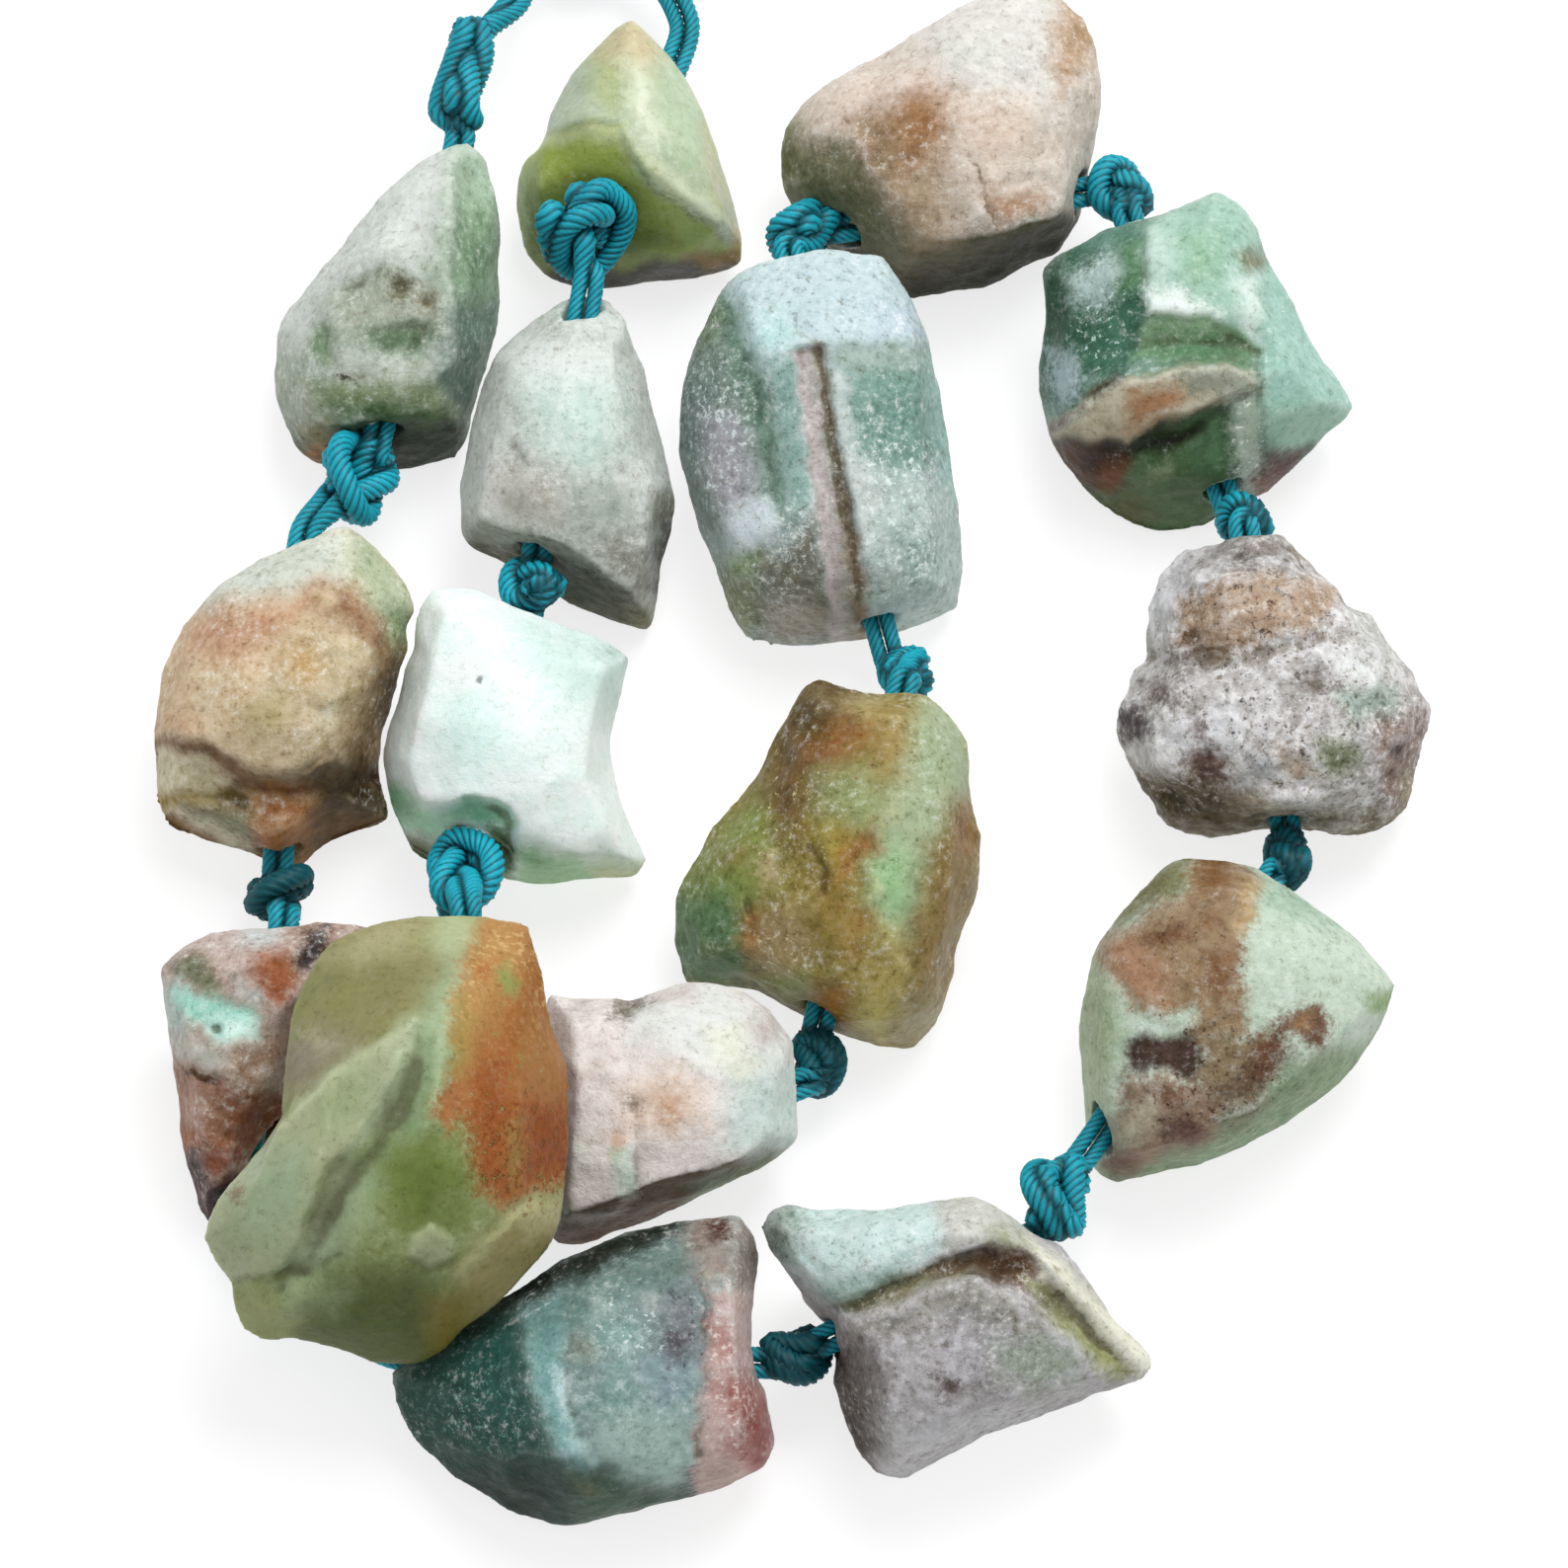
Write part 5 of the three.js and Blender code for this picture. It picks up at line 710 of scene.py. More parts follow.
# %% The cards, in the middle
card = STONES["nugget_10"] = {
    "at": (2.6, 24.2, 8), "skin": (0.5, 0.4, 0.55), "grit": (1, 0.8), "wax": 0.2,
    "body": ("b0c1bf", "a6b6b4"), "frost": ("dce8e8", 0.6), "under": ("939c96", 0.3),
    "dots": [("e0eaea", -7.4, 1, 2.8, 7, 0.58), ("e4eeec", 6, -5, 3.6, 8, 0.58), ("e0eae8", -2.6, -8, 3.6,
        4.6, 0.56), ("5f7a74", 6, 3, 3, 3.4, 0.35), ("4f5148", -2, -10, 3, 4, 0.45)],
}
card["marks"] = [
    patch("82938a", 0.95, 1.2, 0.9, -94, 100, -70, 114, -50, 70, -40, 30, -34, -20, -40, -60, -66, -80, -96,
        -30, -110, 30),
    patch("82927a", 0.95, 1, 0.5, -90, 98, -72, 114, -62, 96, -76, 76, -94, 76),
    patch("7b8b8b", 0.75, 1.4, 1.4, -108, 44, -84, 50, -74, 10, -88, -16, -108, -6),
    patch("b3b0b8", 0.9, 1.5, 1, -86, 20, -60, 24, -48, -10, -46, -44, -70, -50, -86, -20),
    patch("62806e", 0.95, 1, 0.5, -73, 106, -62, 110, -53, 80, -42, 50, -32, 10, -25, -30, -24, -58, -33, -50,
        -41, -10, -54, 30, -66, 70),
    patch("c4d5d8", 0.95, 0.9, 0.3, -68, 126, -30, 150, 44, 150, 74, 110, 84, 80, 82, 73, -12, 71, -32, 63,
        -45, 57, -50, 74, -60, 98),
    patch("c3e2de", 0.75, 1.4, 0.5, -56, 94, -26, 98, -20, 70, -44, 59),
    patch("c6d2dc", 0.75, 1.4, 0.5, 34, 104, 66, 100, 76, 80, 40, 76),
    patch("e6eff6", 0.9, 1.2, 0.9, -60, -44, -40, -40, -32, -60, -38, -77, -64, -80, -70, -64),
    patch("93a67f", 0.9, 0.9, 0.5, -66, -80, -44, -76, -34, -86, -50, -98, -70, -94),
    patch("787b58", 0.95, 1.2, 0.9, -74, -90, -46, -96, -40, -120, -56, -146, -80, -120),
    patch("777568", 0.95, 1, 1.2, -44, -84, -20, -70, -4, -50, 6, -80, 14, -144, -44, -144),
    patch("b3aca2", 0.7, 0.9, 1.6, -36, -116, -10, -110, 6, -130, -14, -144, -38, -136),
    patch("8fada5", 0.95, 0.8, 1, -36, 56, -18, 66, -14, 20, -6, -40, -18, -50, -26, -26, -30, 14),
    patch("84a399", 0.95, 1, 1.1, 20, 58, 58, 68, 80, 52, 92, 0, 78, -18, 44, -20, 26, 0, 16, 30),
    patch("6f938a", 0.6, 1.2, 1.5, 52, 40, 66, 36, 64, 10, 46, 4, 44, 26),
    patch("a4b4ac", 0.8, 0.7, 0.5, 8, 73, 84, 74, 82, 59, 30, 53, 12, 54),
    patch("a5c9c2", 0.8, 1, 0.5, 78, 64, 92, 60, 104, -40, 94, -60, 86, 0),
    patch("bccac6", 0.95, 1.2, 0.9, 30, -16, 60, -22, 96, -30, 110, -90, 100, -130, 44, -144, 36, -90),
    patch("97aeaa", 0.7, 1.4, 1.5, 54, -70, 84, -64, 94, -104, 64, -110),
    patch("cfd6d3", 0.8, 0.6, 1, 9, 52, 17, 50, 24, 0, 32, -16, 44, -30, 40, -60, 32, -80, 26, -46, 16, 0),
    patch("b3abaa", 0.95, 0.3, 0.15, -20, 69, -5, 69, 8, -20, 15, -60, 22, -144, 9, -144, 2, -80, -6, -30),
    patch("d3c9c8", 0.55, 0.3, 0.3, -15, 65, -11, 65, 2, -30, 12, -120, 9, -120, -3, -30),
    patch("958875", 0.95, 0.5, 0.25, -6, 74, 3, 71, 12, 0, 23, -50, 32, -90, 38, -144, 22, -144, 15, -60, 7,
        -10),
    patch("6d614e", 0.6, 0.5, 0.5, -1, 66, 2, 62, 10, 0, 20, -50, 26, -90, 22, -80, 7, 0),
    streak(-2.4, 9.6, -0.7, 7.3, 0.35, "9fb0ac", 0.7),
]
card["cuts"] = [
    slab(-0.4, 0.5, 0.1, -17, 70, 4, 72, 13, 0, 25, -50, 34, -90, 40, -150, 12, -150, 4, -80, -4, -30),
    groove([(-0.1, 7), (0.9, 0), (1.9, -5), (2.6, -9), (3, -15)], 0.45, 0.4, 0.1),
    groove([(-6.4, 9), (-5, 5), (-4, 1), (-3.2, -4)], 1.1, 0.5, 0.5),
    slab(0.35, 0.9, 0.3, -50, 74, -45, 57, -12, 71, 90, 73, 90, 160, -70, 160), boss(-5, -5.8, 1.6, 0.35),
    pit(5.2, -1.6, 1, 0.2), groove([(-6.6, -8.6), (-4, -8), (-2, -6)], 0.8, 0.3),
    groove([(2.4, 5.2), (2.8, 2), (4, -2)], 0.6, 0.15),
]
card = STONES["nugget_11"] = {
    "at": (3.3, -6.1, 8), "skin": (0.8, 0.6, 0.55), "grit": (0.7, 0.8), "wax": 0.35,
    "body": ("8f844c", "7f7540"), "frost": ("c8c09a", 0.4), "under": ("6b5c30", 0.6),
    "dots": [("a9502a", 0.6, 2, 3.6, 10, 0.36), ("d6cfa8", -3, 3, 3.6, 8, 0.42), ("d9d2ae", -3.4, -6.4, 2.6,
        2.6, 0.5), ("8a4c28", 4, 9, 2.6, 3, 0.4)],
}
card["marks"] = [
    patch("4c3715", 0.95, 1.35, 1, -28, 116, -10, 144, 10, 139, 30, 124, 10, 120, 0, 106, -12, 90, -36, 90),
    patch("6b5232", 0.95, 1.8, 1.2, -38, 94, -6, 96, -10, 66, -18, 36, -30, 8, -50, 26, -48, 64),
    patch("845338", 0.85, 1.35, 1.1, -18, 82, 4, 92, 12, 80, -2, 68, -16, 70),
    patch("8a4f2c", 0.8, 1.35, 1.2, 2, 102, 16, 112, 32, 100, 26, 84, 8, 86),
    patch("b9ae86", 0.65, 1.05, 1.8, 0, 122, 26, 122, 44, 116, 34, 104, 12, 108),
    patch("a08b58", 0.85, 2.1, 0.9, 28, 102, 46, 114, 66, 116, 62, 86, 54, 60, 34, 68, 26, 84),
    patch("959f74", 0.95, 1.8, 0.5, -8, 64, 24, 64, 46, 54, 42, 28, 20, 24, -4, 34),
    patch("aab89a", 0.95, 1.35, 0.4, 64, 116, 86, 124, 104, 96, 108, 56, 98, 34, 84, 26, 70, 6, 62, -30, 54,
        -56, 36, -52, 27, -10, 33, 14, 40, 36, 52, 60, 59, 90),
    patch("a0c898", 0.8, 1.8, 0.5, 30, 6, 46, 12, 58, -6, 56, -30, 40, -36, 29, -14),
    patch("8aa884", 0.7, 1.5, 0.5, 34, -28, 56, -28, 54, -54, 38, -54),
    patch("a89a52", 0.8, 1.35, 0.9, -14, 28, 6, 26, 18, 10, 14, -8, 2, -12, -4, 8),
    patch("5d4820", 0.85, 0.9, 0.9, -15, 10, -7, 12, -2, -6, 0, -20, -6, -20, -10, -6),
    patch("9c6e45", 0.95, 1.05, 0.8, 14, 18, 30, 20, 34, 10, 20, 3, 12, -12, 4, -10, 9, 4),
    patch("8f7a44", 0.85, 2.1, 1, -12, -18, 18, -14, 26, -40, 10, -60, -20, -46),
    patch("9c7548", 0.85, 1.2, 0.8, 16, -36, 28, -38, 26, -60, 18, -72, 10, -64, 14, -50),
    patch("7f8c52", 0.95, 1.8, 0.9, -86, 20, -52, 46, -38, 14, -48, -20, -60, -44, -120, -30),
    patch("8a6a3c", 0.55, 1.2, 1.2, -78, 8, -60, 14, -60, 0, -76, -2),
    patch("c6b694", 0.75, 0.9, 1.6, -50, 10, -40, 10, -38, -12, -46, -14),
    patch("66835f", 0.95, 1.35, 0.6, -124, -26, -80, -18, -62, -34, -57, -86, -80, -88, -124, -88),
    patch("4e6c4e", 0.65, 2.4, 0.5, -120, -50, -70, -46, -60, -84, -120, -88),
    patch("9c8b68", 0.95, 1.5, 1.3, -58, -42, -40, -30, -18, -34, -14, -74, -30, -88, -58, -84),
    patch("a2683c", 0.7, 1.05, 0.8, -62, -38, -54, -36, -52, -60, -60, -64),
    patch("8a9a58", 0.7, 1.35, 0.5, -46, -84, -20, -78, -16, -96, -36, -96),
    patch("a87038", 0.8, 1.35, 0.9, -6, -90, 12, -90, 14, -116, 2, -120, -8, -104),
    patch("b5a96e", 0.95, 1.35, 0.5, 32, -54, 48, -50, 58, -76, 52, -110, 36, -132, 18, -120, 20, -88),
    patch("d0c78f", 0.6, 0.75, 0.5, 38, -54, 47, -53, 55, -74, 50, -84, 46, -68),
    patch("8f7b55", 0.95, 1.5, 0.9, 56, -64, 66, -26, 76, 8, 94, 30, 112, 10, 116, -14, 100, -50, 94, -90, 86,
        -124, 60, -144, 46, -128, 58, -90),
    patch("8a5a2c", 0.8, 1.65, 0.9, 88, 44, 104, 46, 108, 14, 92, 14),
    patch("a9a284", 0.75, 1.8, 0.9, 54, -104, 76, -100, 88, -110, 70, -138, 54, -130),
    patch("353010", 0.95, 1.2, 0.5, -62, -88, -30, -102, 10, -122, 30, -136, 0, -140, -60, -110),
    patch("5f4c30", 0.7, 1.6, 0.5, -26, 134, 14, 130, 12, 106, -24, 100),
    patch("ab9a64", 0.6, 1.8, 0.5, 10, -40, 46, -46, 50, -90, 20, -96),
]
card["cuts"] = [
    slab(-0.35, 1.2, 0.6, -60, 140, -36, 90, -10, 60, -8, 26, -16, -20, -58, -36, -60, -90, -130, -90, -130,
        0),
    ridge([(4.4, 4), (3.1, 0), (3.2, -4.6), (4.4, -5.8), (5.4, -8), (5, -12)], 0.7, 0.35),
    groove([(-1.1, 1.2), (-0.5, -0.6), (-0.3, -2)], 0.5, 0.35),
    groove([(6.2, -2), (5.6, -6), (6, -10)], 0.8, 0.35), pit(1.6, 8.4, 0.8, 0.2),
    groove([(2.2, -6), (1.8, -9), (2, -12)], 0.6, 0.25),
    step([(-6, -3.8), (-5.8, -6), (-5.6, -8.6)], 2, -0.4), pit(-4, 4.2, 0.9, 0.25),
    groove([(9, 3), (9.8, 1.6)], 0.4, 0.2),
]
card = STONES["nugget_14"] = {
    "at": (-19.9, 3.1, 7.5), "skin": (0.4, 0.3, 0.35), "grit": (0.5, 0.3), "wax": 0.3,
    "body": ("f2faf8", "e9f6f3"), "frost": ("f8fcfb", 0.5), "under": ("c4d3c4", 0.6),
}
card["marks"] = [
    patch("dcf3ee", 0.8, 2, 0.5, -46, 20, -16, 26, -4, 0, -18, -20, -44, -16),
    patch("cfe4de", 0.85, 1.8, 1.4, 6, 84, 50, 76, 94, 66, 90, 46, 76, 20, 40, 24, 16, 50),
    patch("9fb4ac", 0.6, 0.6, 1.4, 66, 64, 89, 62, 89, 56, 70, 54),
    spot(-1.7, 4, 0.35, 0.3, "8f9793", 0.9, soft=0.6, grain=0.2),
    patch("b2dabf", 0.95, 0.5, 0.4, -104, -37, -80, -38, -68, -46, -60, -55, -46, -54, -30, -46, -10, -47, 0,
        -54, 5, -64, 0, -74, -14, -62, -34, -64, -50, -74, -76, -70, -96, -54),
    patch("86b092", 0.9, 0.6, 0.5, -32, -46, -14, -46, -4, -54, -6, -62, -24, -59, -34, -58),
    patch("8cb896", 0.75, 0.8, 0.5, -96, -36, -80, -38, -68, -48, -66, -58, -86, -54),
    patch("757c62", 0.95, 0.7, 0.5, -84, -72, -50, -75, -32, -67, -32, -94, -50, -106, -84, -96),
    patch("66805f", 0.95, 0.5, 0.5, -14, -63, 0, -70, 5, -80, 4, -104, -14, -104),
    patch("9cc096", 0.95, 0.9, 0.4, 7, -83, 40, -87, 66, -92, 100, -96, 100, -110, 40, -116, 6, -116),
    patch("7fae82", 0.75, 0.8, 0.5, 10, -85, 30, -87, 32, -96, 10, -96),
    patch("c9c7a2", 0.75, 0.8, 0.5, 60, -97, 98, -94, 94, -108, 60, -106),
]
card["cuts"] = [
    slab(-1.1, 0.9, 0.4, -110, -37, -80, -39, -68, -47, -59, -55, -44, -53, -30, -47, -10, -48, 0, -54, 5,
        -64, 5, -120, -110, -120),
    pit(-1.7, 4, 0.3, 0.15), groove([(-6.6, 4), (-4.4, 3.8), (-3, 5)], 0.7, 0.12), boss(-6.4, 1.2, 1.6, 0.2),
    slab(-0.5, 0.7, 0.6, 6, -85, 40, -88, 104, -94, 100, -120, 6, -120),
]
card = STONES["nugget_15"] = {
    "at": (-15.8, 23.1, 7.5), "skin": (0.6, 0.5, 0.5), "grit": (0.8, 0.6), "wax": 0.2,
    "body": ("c7ccc7", "bcc3bd"), "frost": ("e6eae7", 0.5), "under": ("2f321f", 0.92),
}
card["marks"] = [
    patch("dfe4e1", 0.85, 1.4, 0.5, -54, 88, 0, 86, 32, 84, 40, 50, 10, 46, -40, 54),
    patch("c9ded7", 0.75, 2.2, 0.5, -26, 56, 34, 56, 36, 10, 20, -10, -10, 0, -26, 30),
    patch("cfd5d1", 0.8, 1, 0.5, -26, 114, 0, 124, 36, 120, 44, 90, 0, 94),
    patch("b8b4ab", 0.85, 1.6, 1.2, -70, -6, -36, 0, -6, -14, 0, -46, -30, -50, -70, -36),
    patch("9aa59a", 0.75, 1.4, 0.5, 6, -24, 44, -20, 50, -40, 30, -56, 8, -50),
    patch("dadedb", 0.75, 0.9, 0.5, 40, -8, 66, 0, 78, -20, 60, -26, 40, -20),
    patch("97968c", 0.85, 1.2, 1.3, 20, -60, 54, -50, 62, -80, 64, -110, 46, -96, 26, -76),
    patch("8c907d", 0.75, 1, 0.5, -84, -36, -60, -42, -30, -54, -4, -64, -8, -74, -40, -66, -84, -54),
    # painted shade on the near, lower face
    patch("4a4830", 0.95, 0.7, 0.5, -86, -52, -60, -58, -30, -68, 0, -74, 20, -88, 44, -104, 60, -116, 56,
        -134, 0, -116, -86, -80),
    # painted shade on the near, lower face
    patch("1d3324", 0.8, 1.2, 0.5, -20, -80, 0, -80, 20, -92, 36, -102, 10, -104, -20, -90),
    patch("76735a", 0.8, 0.9, 0.5, 46, -106, 66, -108, 70, -132, 50, -130),
    patch("7d7d66", 0.8, 0.8, 0.5, 62, -24, 86, -20, 82, -44, 62, -50),
    # painted shade on the lower right facet
    patch("2d281c", 0.95, 0.7, 0.5, 86, -34, 82, -70, 69, -116, 62, -90, 63, -56, 70, -42),
    patch("5c5f52", 0.4, 0.5, 1.2, -46, 6, -38, 9, -28, 0, -36, -2),
    patch("8fa08c", 0.75, 0.7, 0.5, -10, 114, 6, 118, 4, 106, -8, 106),
    patch("9b9e95", 0.8, 0.8, 0.5, -80, -44, -30, -56, 0, -60, 20, -70, 24, -78, 0, -70, -30, -64, -80, -54),
    patch("dadcd8", 0.8, 1.6, 0.8, -86, 60, -56, 60, -46, 0, -50, -40, -86, -40),
]
card["cuts"] = [
    slab(0.3, 0.8, 0.6, -56, 90, 0, 88, 34, 86, 80, 0, 80, -140, -90, -140, -90, 20),
    pit(1.3, 10.6, 0.9, 0.4), groove([(-4.2, 1), (-3, -0.2), (-2, -0.6)], 0.4, 0.2), pit(2, 1, 0.35, 0.15),
    pit(3.2, 0.6, 0.3, 0.12), groove([(4, -0.8), (5.2, -1.6)], 0.5, 0.2), boss(-3.6, -2.6, 1.6, 0.2),
    boss(6.6, -1.4, 1.2, 0.3), slab(-0.5, 0.6, 0.6, 90, -26, 63, -48, 62, -90, 70, -130, 100, -130),
]
card = STONES["nugget_16"] = {
    "at": (-11.4, 46, 7), "skin": (0.5, 0.3, 0.2), "grit": (0.4, 0.4), "wax": 0.5,
    "body": ("b4c1aa", "a6b496"), "frost": ("e2e8d6", 0.4), "under": ("241c08", 0.92),
}
card["marks"] = [
    patch("b0bda4", 0.95, 1.2, 0.5, -70, 6, -56, 54, -26, 84, -18, 50, -10, 20),
    patch("a3ab70", 0.7, 1.4, 0.5, -28, 80, -10, 90, -2, 50, -12, 30, -28, 50),
    patch("c2b795", 0.95, 1.4, 0.6, -26, 74, -8, 104, 10, 106, 30, 76, 16, 54, 0, 60),
    patch("d9dfca", 0.85, 1, 0.5, 0, 66, 10, 64, 20, 36, 32, 10, 14, 4, 2, 26),
    patch("b6c9ab", 0.85, 1.4, 0.5, 24, 66, 46, 50, 60, 16, 70, -20, 44, -14, 30, 16),
    patch("bdb68c", 0.75, 1, 0.5, 56, 24, 68, -10, 78, -56, 66, -40, 54, 0),
    patch("d3dbc2", 0.85, 0.7, 0.8, 4, 2, 16, -2, 34, -22, 56, -36, 76, -56, 80, -70, 42, -44, 17, -26),
    patch("a6b168", 0.95, 0.4, 0.25, -90, -2, -76, 0, -68, 7, -44, 16, -24, 19, -7, 16, 3, -8, 16, -28, 40,
        -45, 63, -60, 84, -72, 70, -78, 10, -90, -90, -96),
    patch("c6cda4", 0.8, 0.6, 0.2, -68, 7, -44, 16, -24, 19, -7, 16, 4, 0, -8, 6, -30, 9, -56, 5),
    patch("707d2c", 0.95, 2, 0.5, -56, -12, -30, -9, -10, -18, -4, -30, -30, -36, -60, -28),
    patch("56682c", 0.95, 1.8, 0.5, -80, -30, -50, -30, -10, -30, 20, -46, 40, -66, 10, -84, -80, -84),
    patch("81965a", 0.85, 1.2, 0.5, -88, -10, -68, -12, -68, -50, -84, -60),
    patch("8fa56c", 0.8, 0.9, 0.5, 34, -50, 54, -56, 68, -70, 44, -70),
    # painted shade on the underside
    patch("211a08", 0.95, 0.5, 0.3, -90, -80, -50, -86, -16, -87, 24, -79, 84, -72, 90, -86, 40, -98, -60,
        -114),
    patch("8a6a24", 0.9, 0.6, 0.5, 40, -77, 60, -74, 88, -71, 88, -83, 50, -83),
    patch("c2a46a", 0.85, 0.6, 0.5, 76, -54, 84, -56, 90, -72, 80, -70),
    spot(-0.4, -2.9, 0.16, 0.16, "3a4412", 0.9, soft=0.5, grain=0.2),
    patch("9dab5a", 0.8, 1, 0.5, -60, 2, -30, 6, -8, -4, -10, -14, -30, -12, -60, -10),
    patch("c3cca0", 0.75, 0.7, 0.5, -66, 6, -30, 15, -7, 15, 16, -12, 44, -41, 39, -44, 12, -22, -6, 3, -30,
        8),
]
card["cuts"] = [
    slab(0.45, 0.6, 0.3, -80, 3, -68, 9, -44, 18, -24, 21, -7, 18, 4, -6, 17, -26, 41, -43, 64, -58, 92, -72,
        100, 120, -80, 120),
    ridge([(0.6, 10), (0.6, 7), (1, 3), (2.4, 0)], 0.8, 0.3, 0.5), pit(-1.6, -4.6, 1.2, 0.3),
    boss(2.6, 1, 1.5, 0.15),
]
print("stones:", len(STONES))

# %% [markdown]
# Shaping. A copy of the solid is subdivided, with the sharp edges held by a crease, so that the flat places
# round off and the ridges stay. A voxel remesh gives it an even skin that carries detail. Then come the cuts
# from the card, and last the grain, from broad hollows through chips down to sugar.

# %% Settings for the stones
VOXEL = 0.29 * MM
SOFT_EDGE = math.radians(12)
HARD_EDGE = math.radians(34)
MOST_CREASE = 1.0
SMOOTH_PASSES = 8


def crease_sharp_edges(piece):
    mesh = bmesh.new()
    mesh.from_mesh(piece.data)
    layer = mesh.edges.layers.float.get("crease_edge") or mesh.edges.layers.float.new("crease_edge")
    for edge in mesh.edges:
        if edge.is_manifold:
            share = (edge.calc_face_angle(0) - SOFT_EDGE) / (HARD_EDGE - SOFT_EDGE)
            edge[layer] = MOST_CREASE * min(max(share, 0), 1)
    mesh.to_mesh(piece.data)
    mesh.free()


# %% The cuts from a card
WANDER, TREMBLE = 0.16, 0.04
SIDELONG, FACING = 0.05, 0.45
LIP = 0.25
LINE_POINTED = 1.3


def vertex_array(piece, what):
    values = np.empty(len(piece.data.vertices) * 3, np.float32)
    piece.data.vertices.foreach_get(what, values)
    return values.reshape(-1, 3).astype(float)


def smoothstep(low, high, value):
    share = np.clip((value - low) / (high - low), 0, 1)
    return share * share * (3 - 2 * share)


def along_line(x, y, points):
    """Distance to a line of points, with a minus on its left."""
    best = np.full(len(x), 1e9)
    signed = best.copy()
    for (x1, y1), (x2, y2) in zip(points, points[1:]):
        dx, dy = x2 - x1, y2 - y1
        share = np.clip(((x - x1) * dx + (y - y1) * dy) / (dx * dx + dy * dy), 0, 1)
        apart = np.hypot(x - x1 - share * dx, y - y1 - share * dy)
        side = np.where(dx * (y - y1) - dy * (x - x1) > 0, -1.0, 1.0)
        closer = apart < best
        best = np.where(closer, apart, best)
        signed = np.where(closer, apart * side, signed)
    return signed


def to_outline(x, y, points):
    """Distance to a closed outline, with a minus inside it."""
    closed = points + points[:1]
    inside = np.zeros(len(x), bool)
    for (x1, y1), (x2, y2) in zip(closed, closed[1:]):
        if y1 != y2:
            inside ^= ((y1 > y) != (y2 > y)) & (x < (x2 - x1) * (y - y1) / (y2 - y1) + x1)
    return np.where(inside, -1, 1) * np.abs(along_line(x, y, closed))


def on_card(piece, card):
    """Every vertex in the card's own millimetres, and how far a hand-drawn line wanders there."""
    local = (vertex_array(piece, "co") - np.array(on_sheet(*card["at"]))) / MM
    x, y, z = local[:, 0], local @ np.array(SHEET_UP), local @ np.array(SHEET_OUT)
    wander = np.stack([WANDER * np.sin(2.3 * y + 0.7 * x) + TREMBLE * np.sin(5.9 * y - 2.1 * x),
                       WANDER * np.sin(2.1 * x - 0.9 * y) + TREMBLE * np.sin(6.3 * x + 1.7 * y)])
    return x, y, z, wander


def cut(piece, card):
    """Moves the skin in and out of the sheet, item by item, where it faces the camera."""
    x, y, z, wander = on_card(piece, card)
    front = smoothstep(SIDELONG, FACING, vertex_array(piece, "normal") @ np.array(SHEET_OUT))
    start = z.copy()
    for item in card["cuts"]:
        kind, width = item["kind"], item["width"]
        if kind == "round":
            apart = np.hypot(x - item["points"][0][0], y - item["points"][0][1])
            share = np.exp(-((apart / width) ** 2))
        else:
            measure = to_outline if kind == "slab" else along_line
            apart = measure(*(np.stack([x, y]) + wander * item["ragged"]), item["points"])
            if kind == "line":
                share = np.clip(1 - np.abs(apart) / width, 0, 1) ** LINE_POINTED
            elif kind == "step":
                share = (1 - smoothstep(-LIP, LIP, apart)) * np.exp(-((np.minimum(apart, 0) / width) ** 2))
            else:
                share = 1 - smoothstep(-width / 2, width / 2, apart)
        z += item["out"] * front * share
    places = vertex_array(piece, "co") + np.outer((z - start) * MM, np.array(SHEET_OUT))
    piece.data.vertices.foreach_set("co", places.astype(np.float32).ravel())
    piece.data.update()


# %% [markdown]
# The grain is made by Displace modifiers. Their cloud and cell patterns are the same for every stone, but
# each stone lies somewhere else in them, so no two come out alike.

# %% Grain


def pattern(name, kind, size, **settings):
    texture = bpy.data.textures.new(name, kind)
    texture.noise_scale = size
    for key, value in settings.items():
        setattr(texture, key, value)
    return texture


HOLLOWS = pattern("broad hollows", "CLOUDS", 5.5 * MM, noise_depth=1)
SCOOPS = pattern("scooped chips", "VORONOI", 5.0 * MM, distance_metric="DISTANCE_SQUARED")
FLAKES = pattern("small flakes", "VORONOI", 2.1 * MM, distance_metric="DISTANCE_SQUARED")
CRUMBLE = pattern("crumble", "CLOUDS", 1.3 * MM, noise_depth=2)
SUGAR = pattern("sugar", "CLOUDS", 0.55 * MM, noise_depth=2)


def grain(piece, lumps, chips, crumbs):
    for texture, strength, level in (
        (HOLLOWS, 0.8 * lumps, 0.5), (SCOOPS, 0.8 * chips, 0.3), (FLAKES, 0.3 * chips, 0.3),
        (CRUMBLE, 0.22 * crumbs, 0.5), (SUGAR, 0.14 * crumbs, 0.5),
    ):
        finish_with(piece, "DISPLACE", texture=texture, strength=strength * MM, mid_level=level,
                    texture_coords="LOCAL", direction="NORMAL")


# %% [markdown]
# Wear. An edge stands proud of the smoothed skin and a hollow lies below it. That height is kept on every
# vertex, so that the finish can frost the edges and darken the hollows.

# %% Wear
NEAR_PASSES, FAR_PASSES = 5, 40
BROAD_SHARE = 0.3


def blurred(values, edges, count, times):
    """Each vertex takes the mean of itself and its neighbours, several times over."""
    share = np.bincount(edges.ravel(), minlength=count) + 1.0
    for _ in range(times):
        total = values.copy()
        for axis in range(values.shape[1]):
            column = values[:, axis]
            total[:, axis] += np.bincount(edges[:, 0], column[edges[:, 1]], count)
            total[:, axis] += np.bincount(edges[:, 1], column[edges[:, 0]], count)
        values = total / share[:, None]
    return values


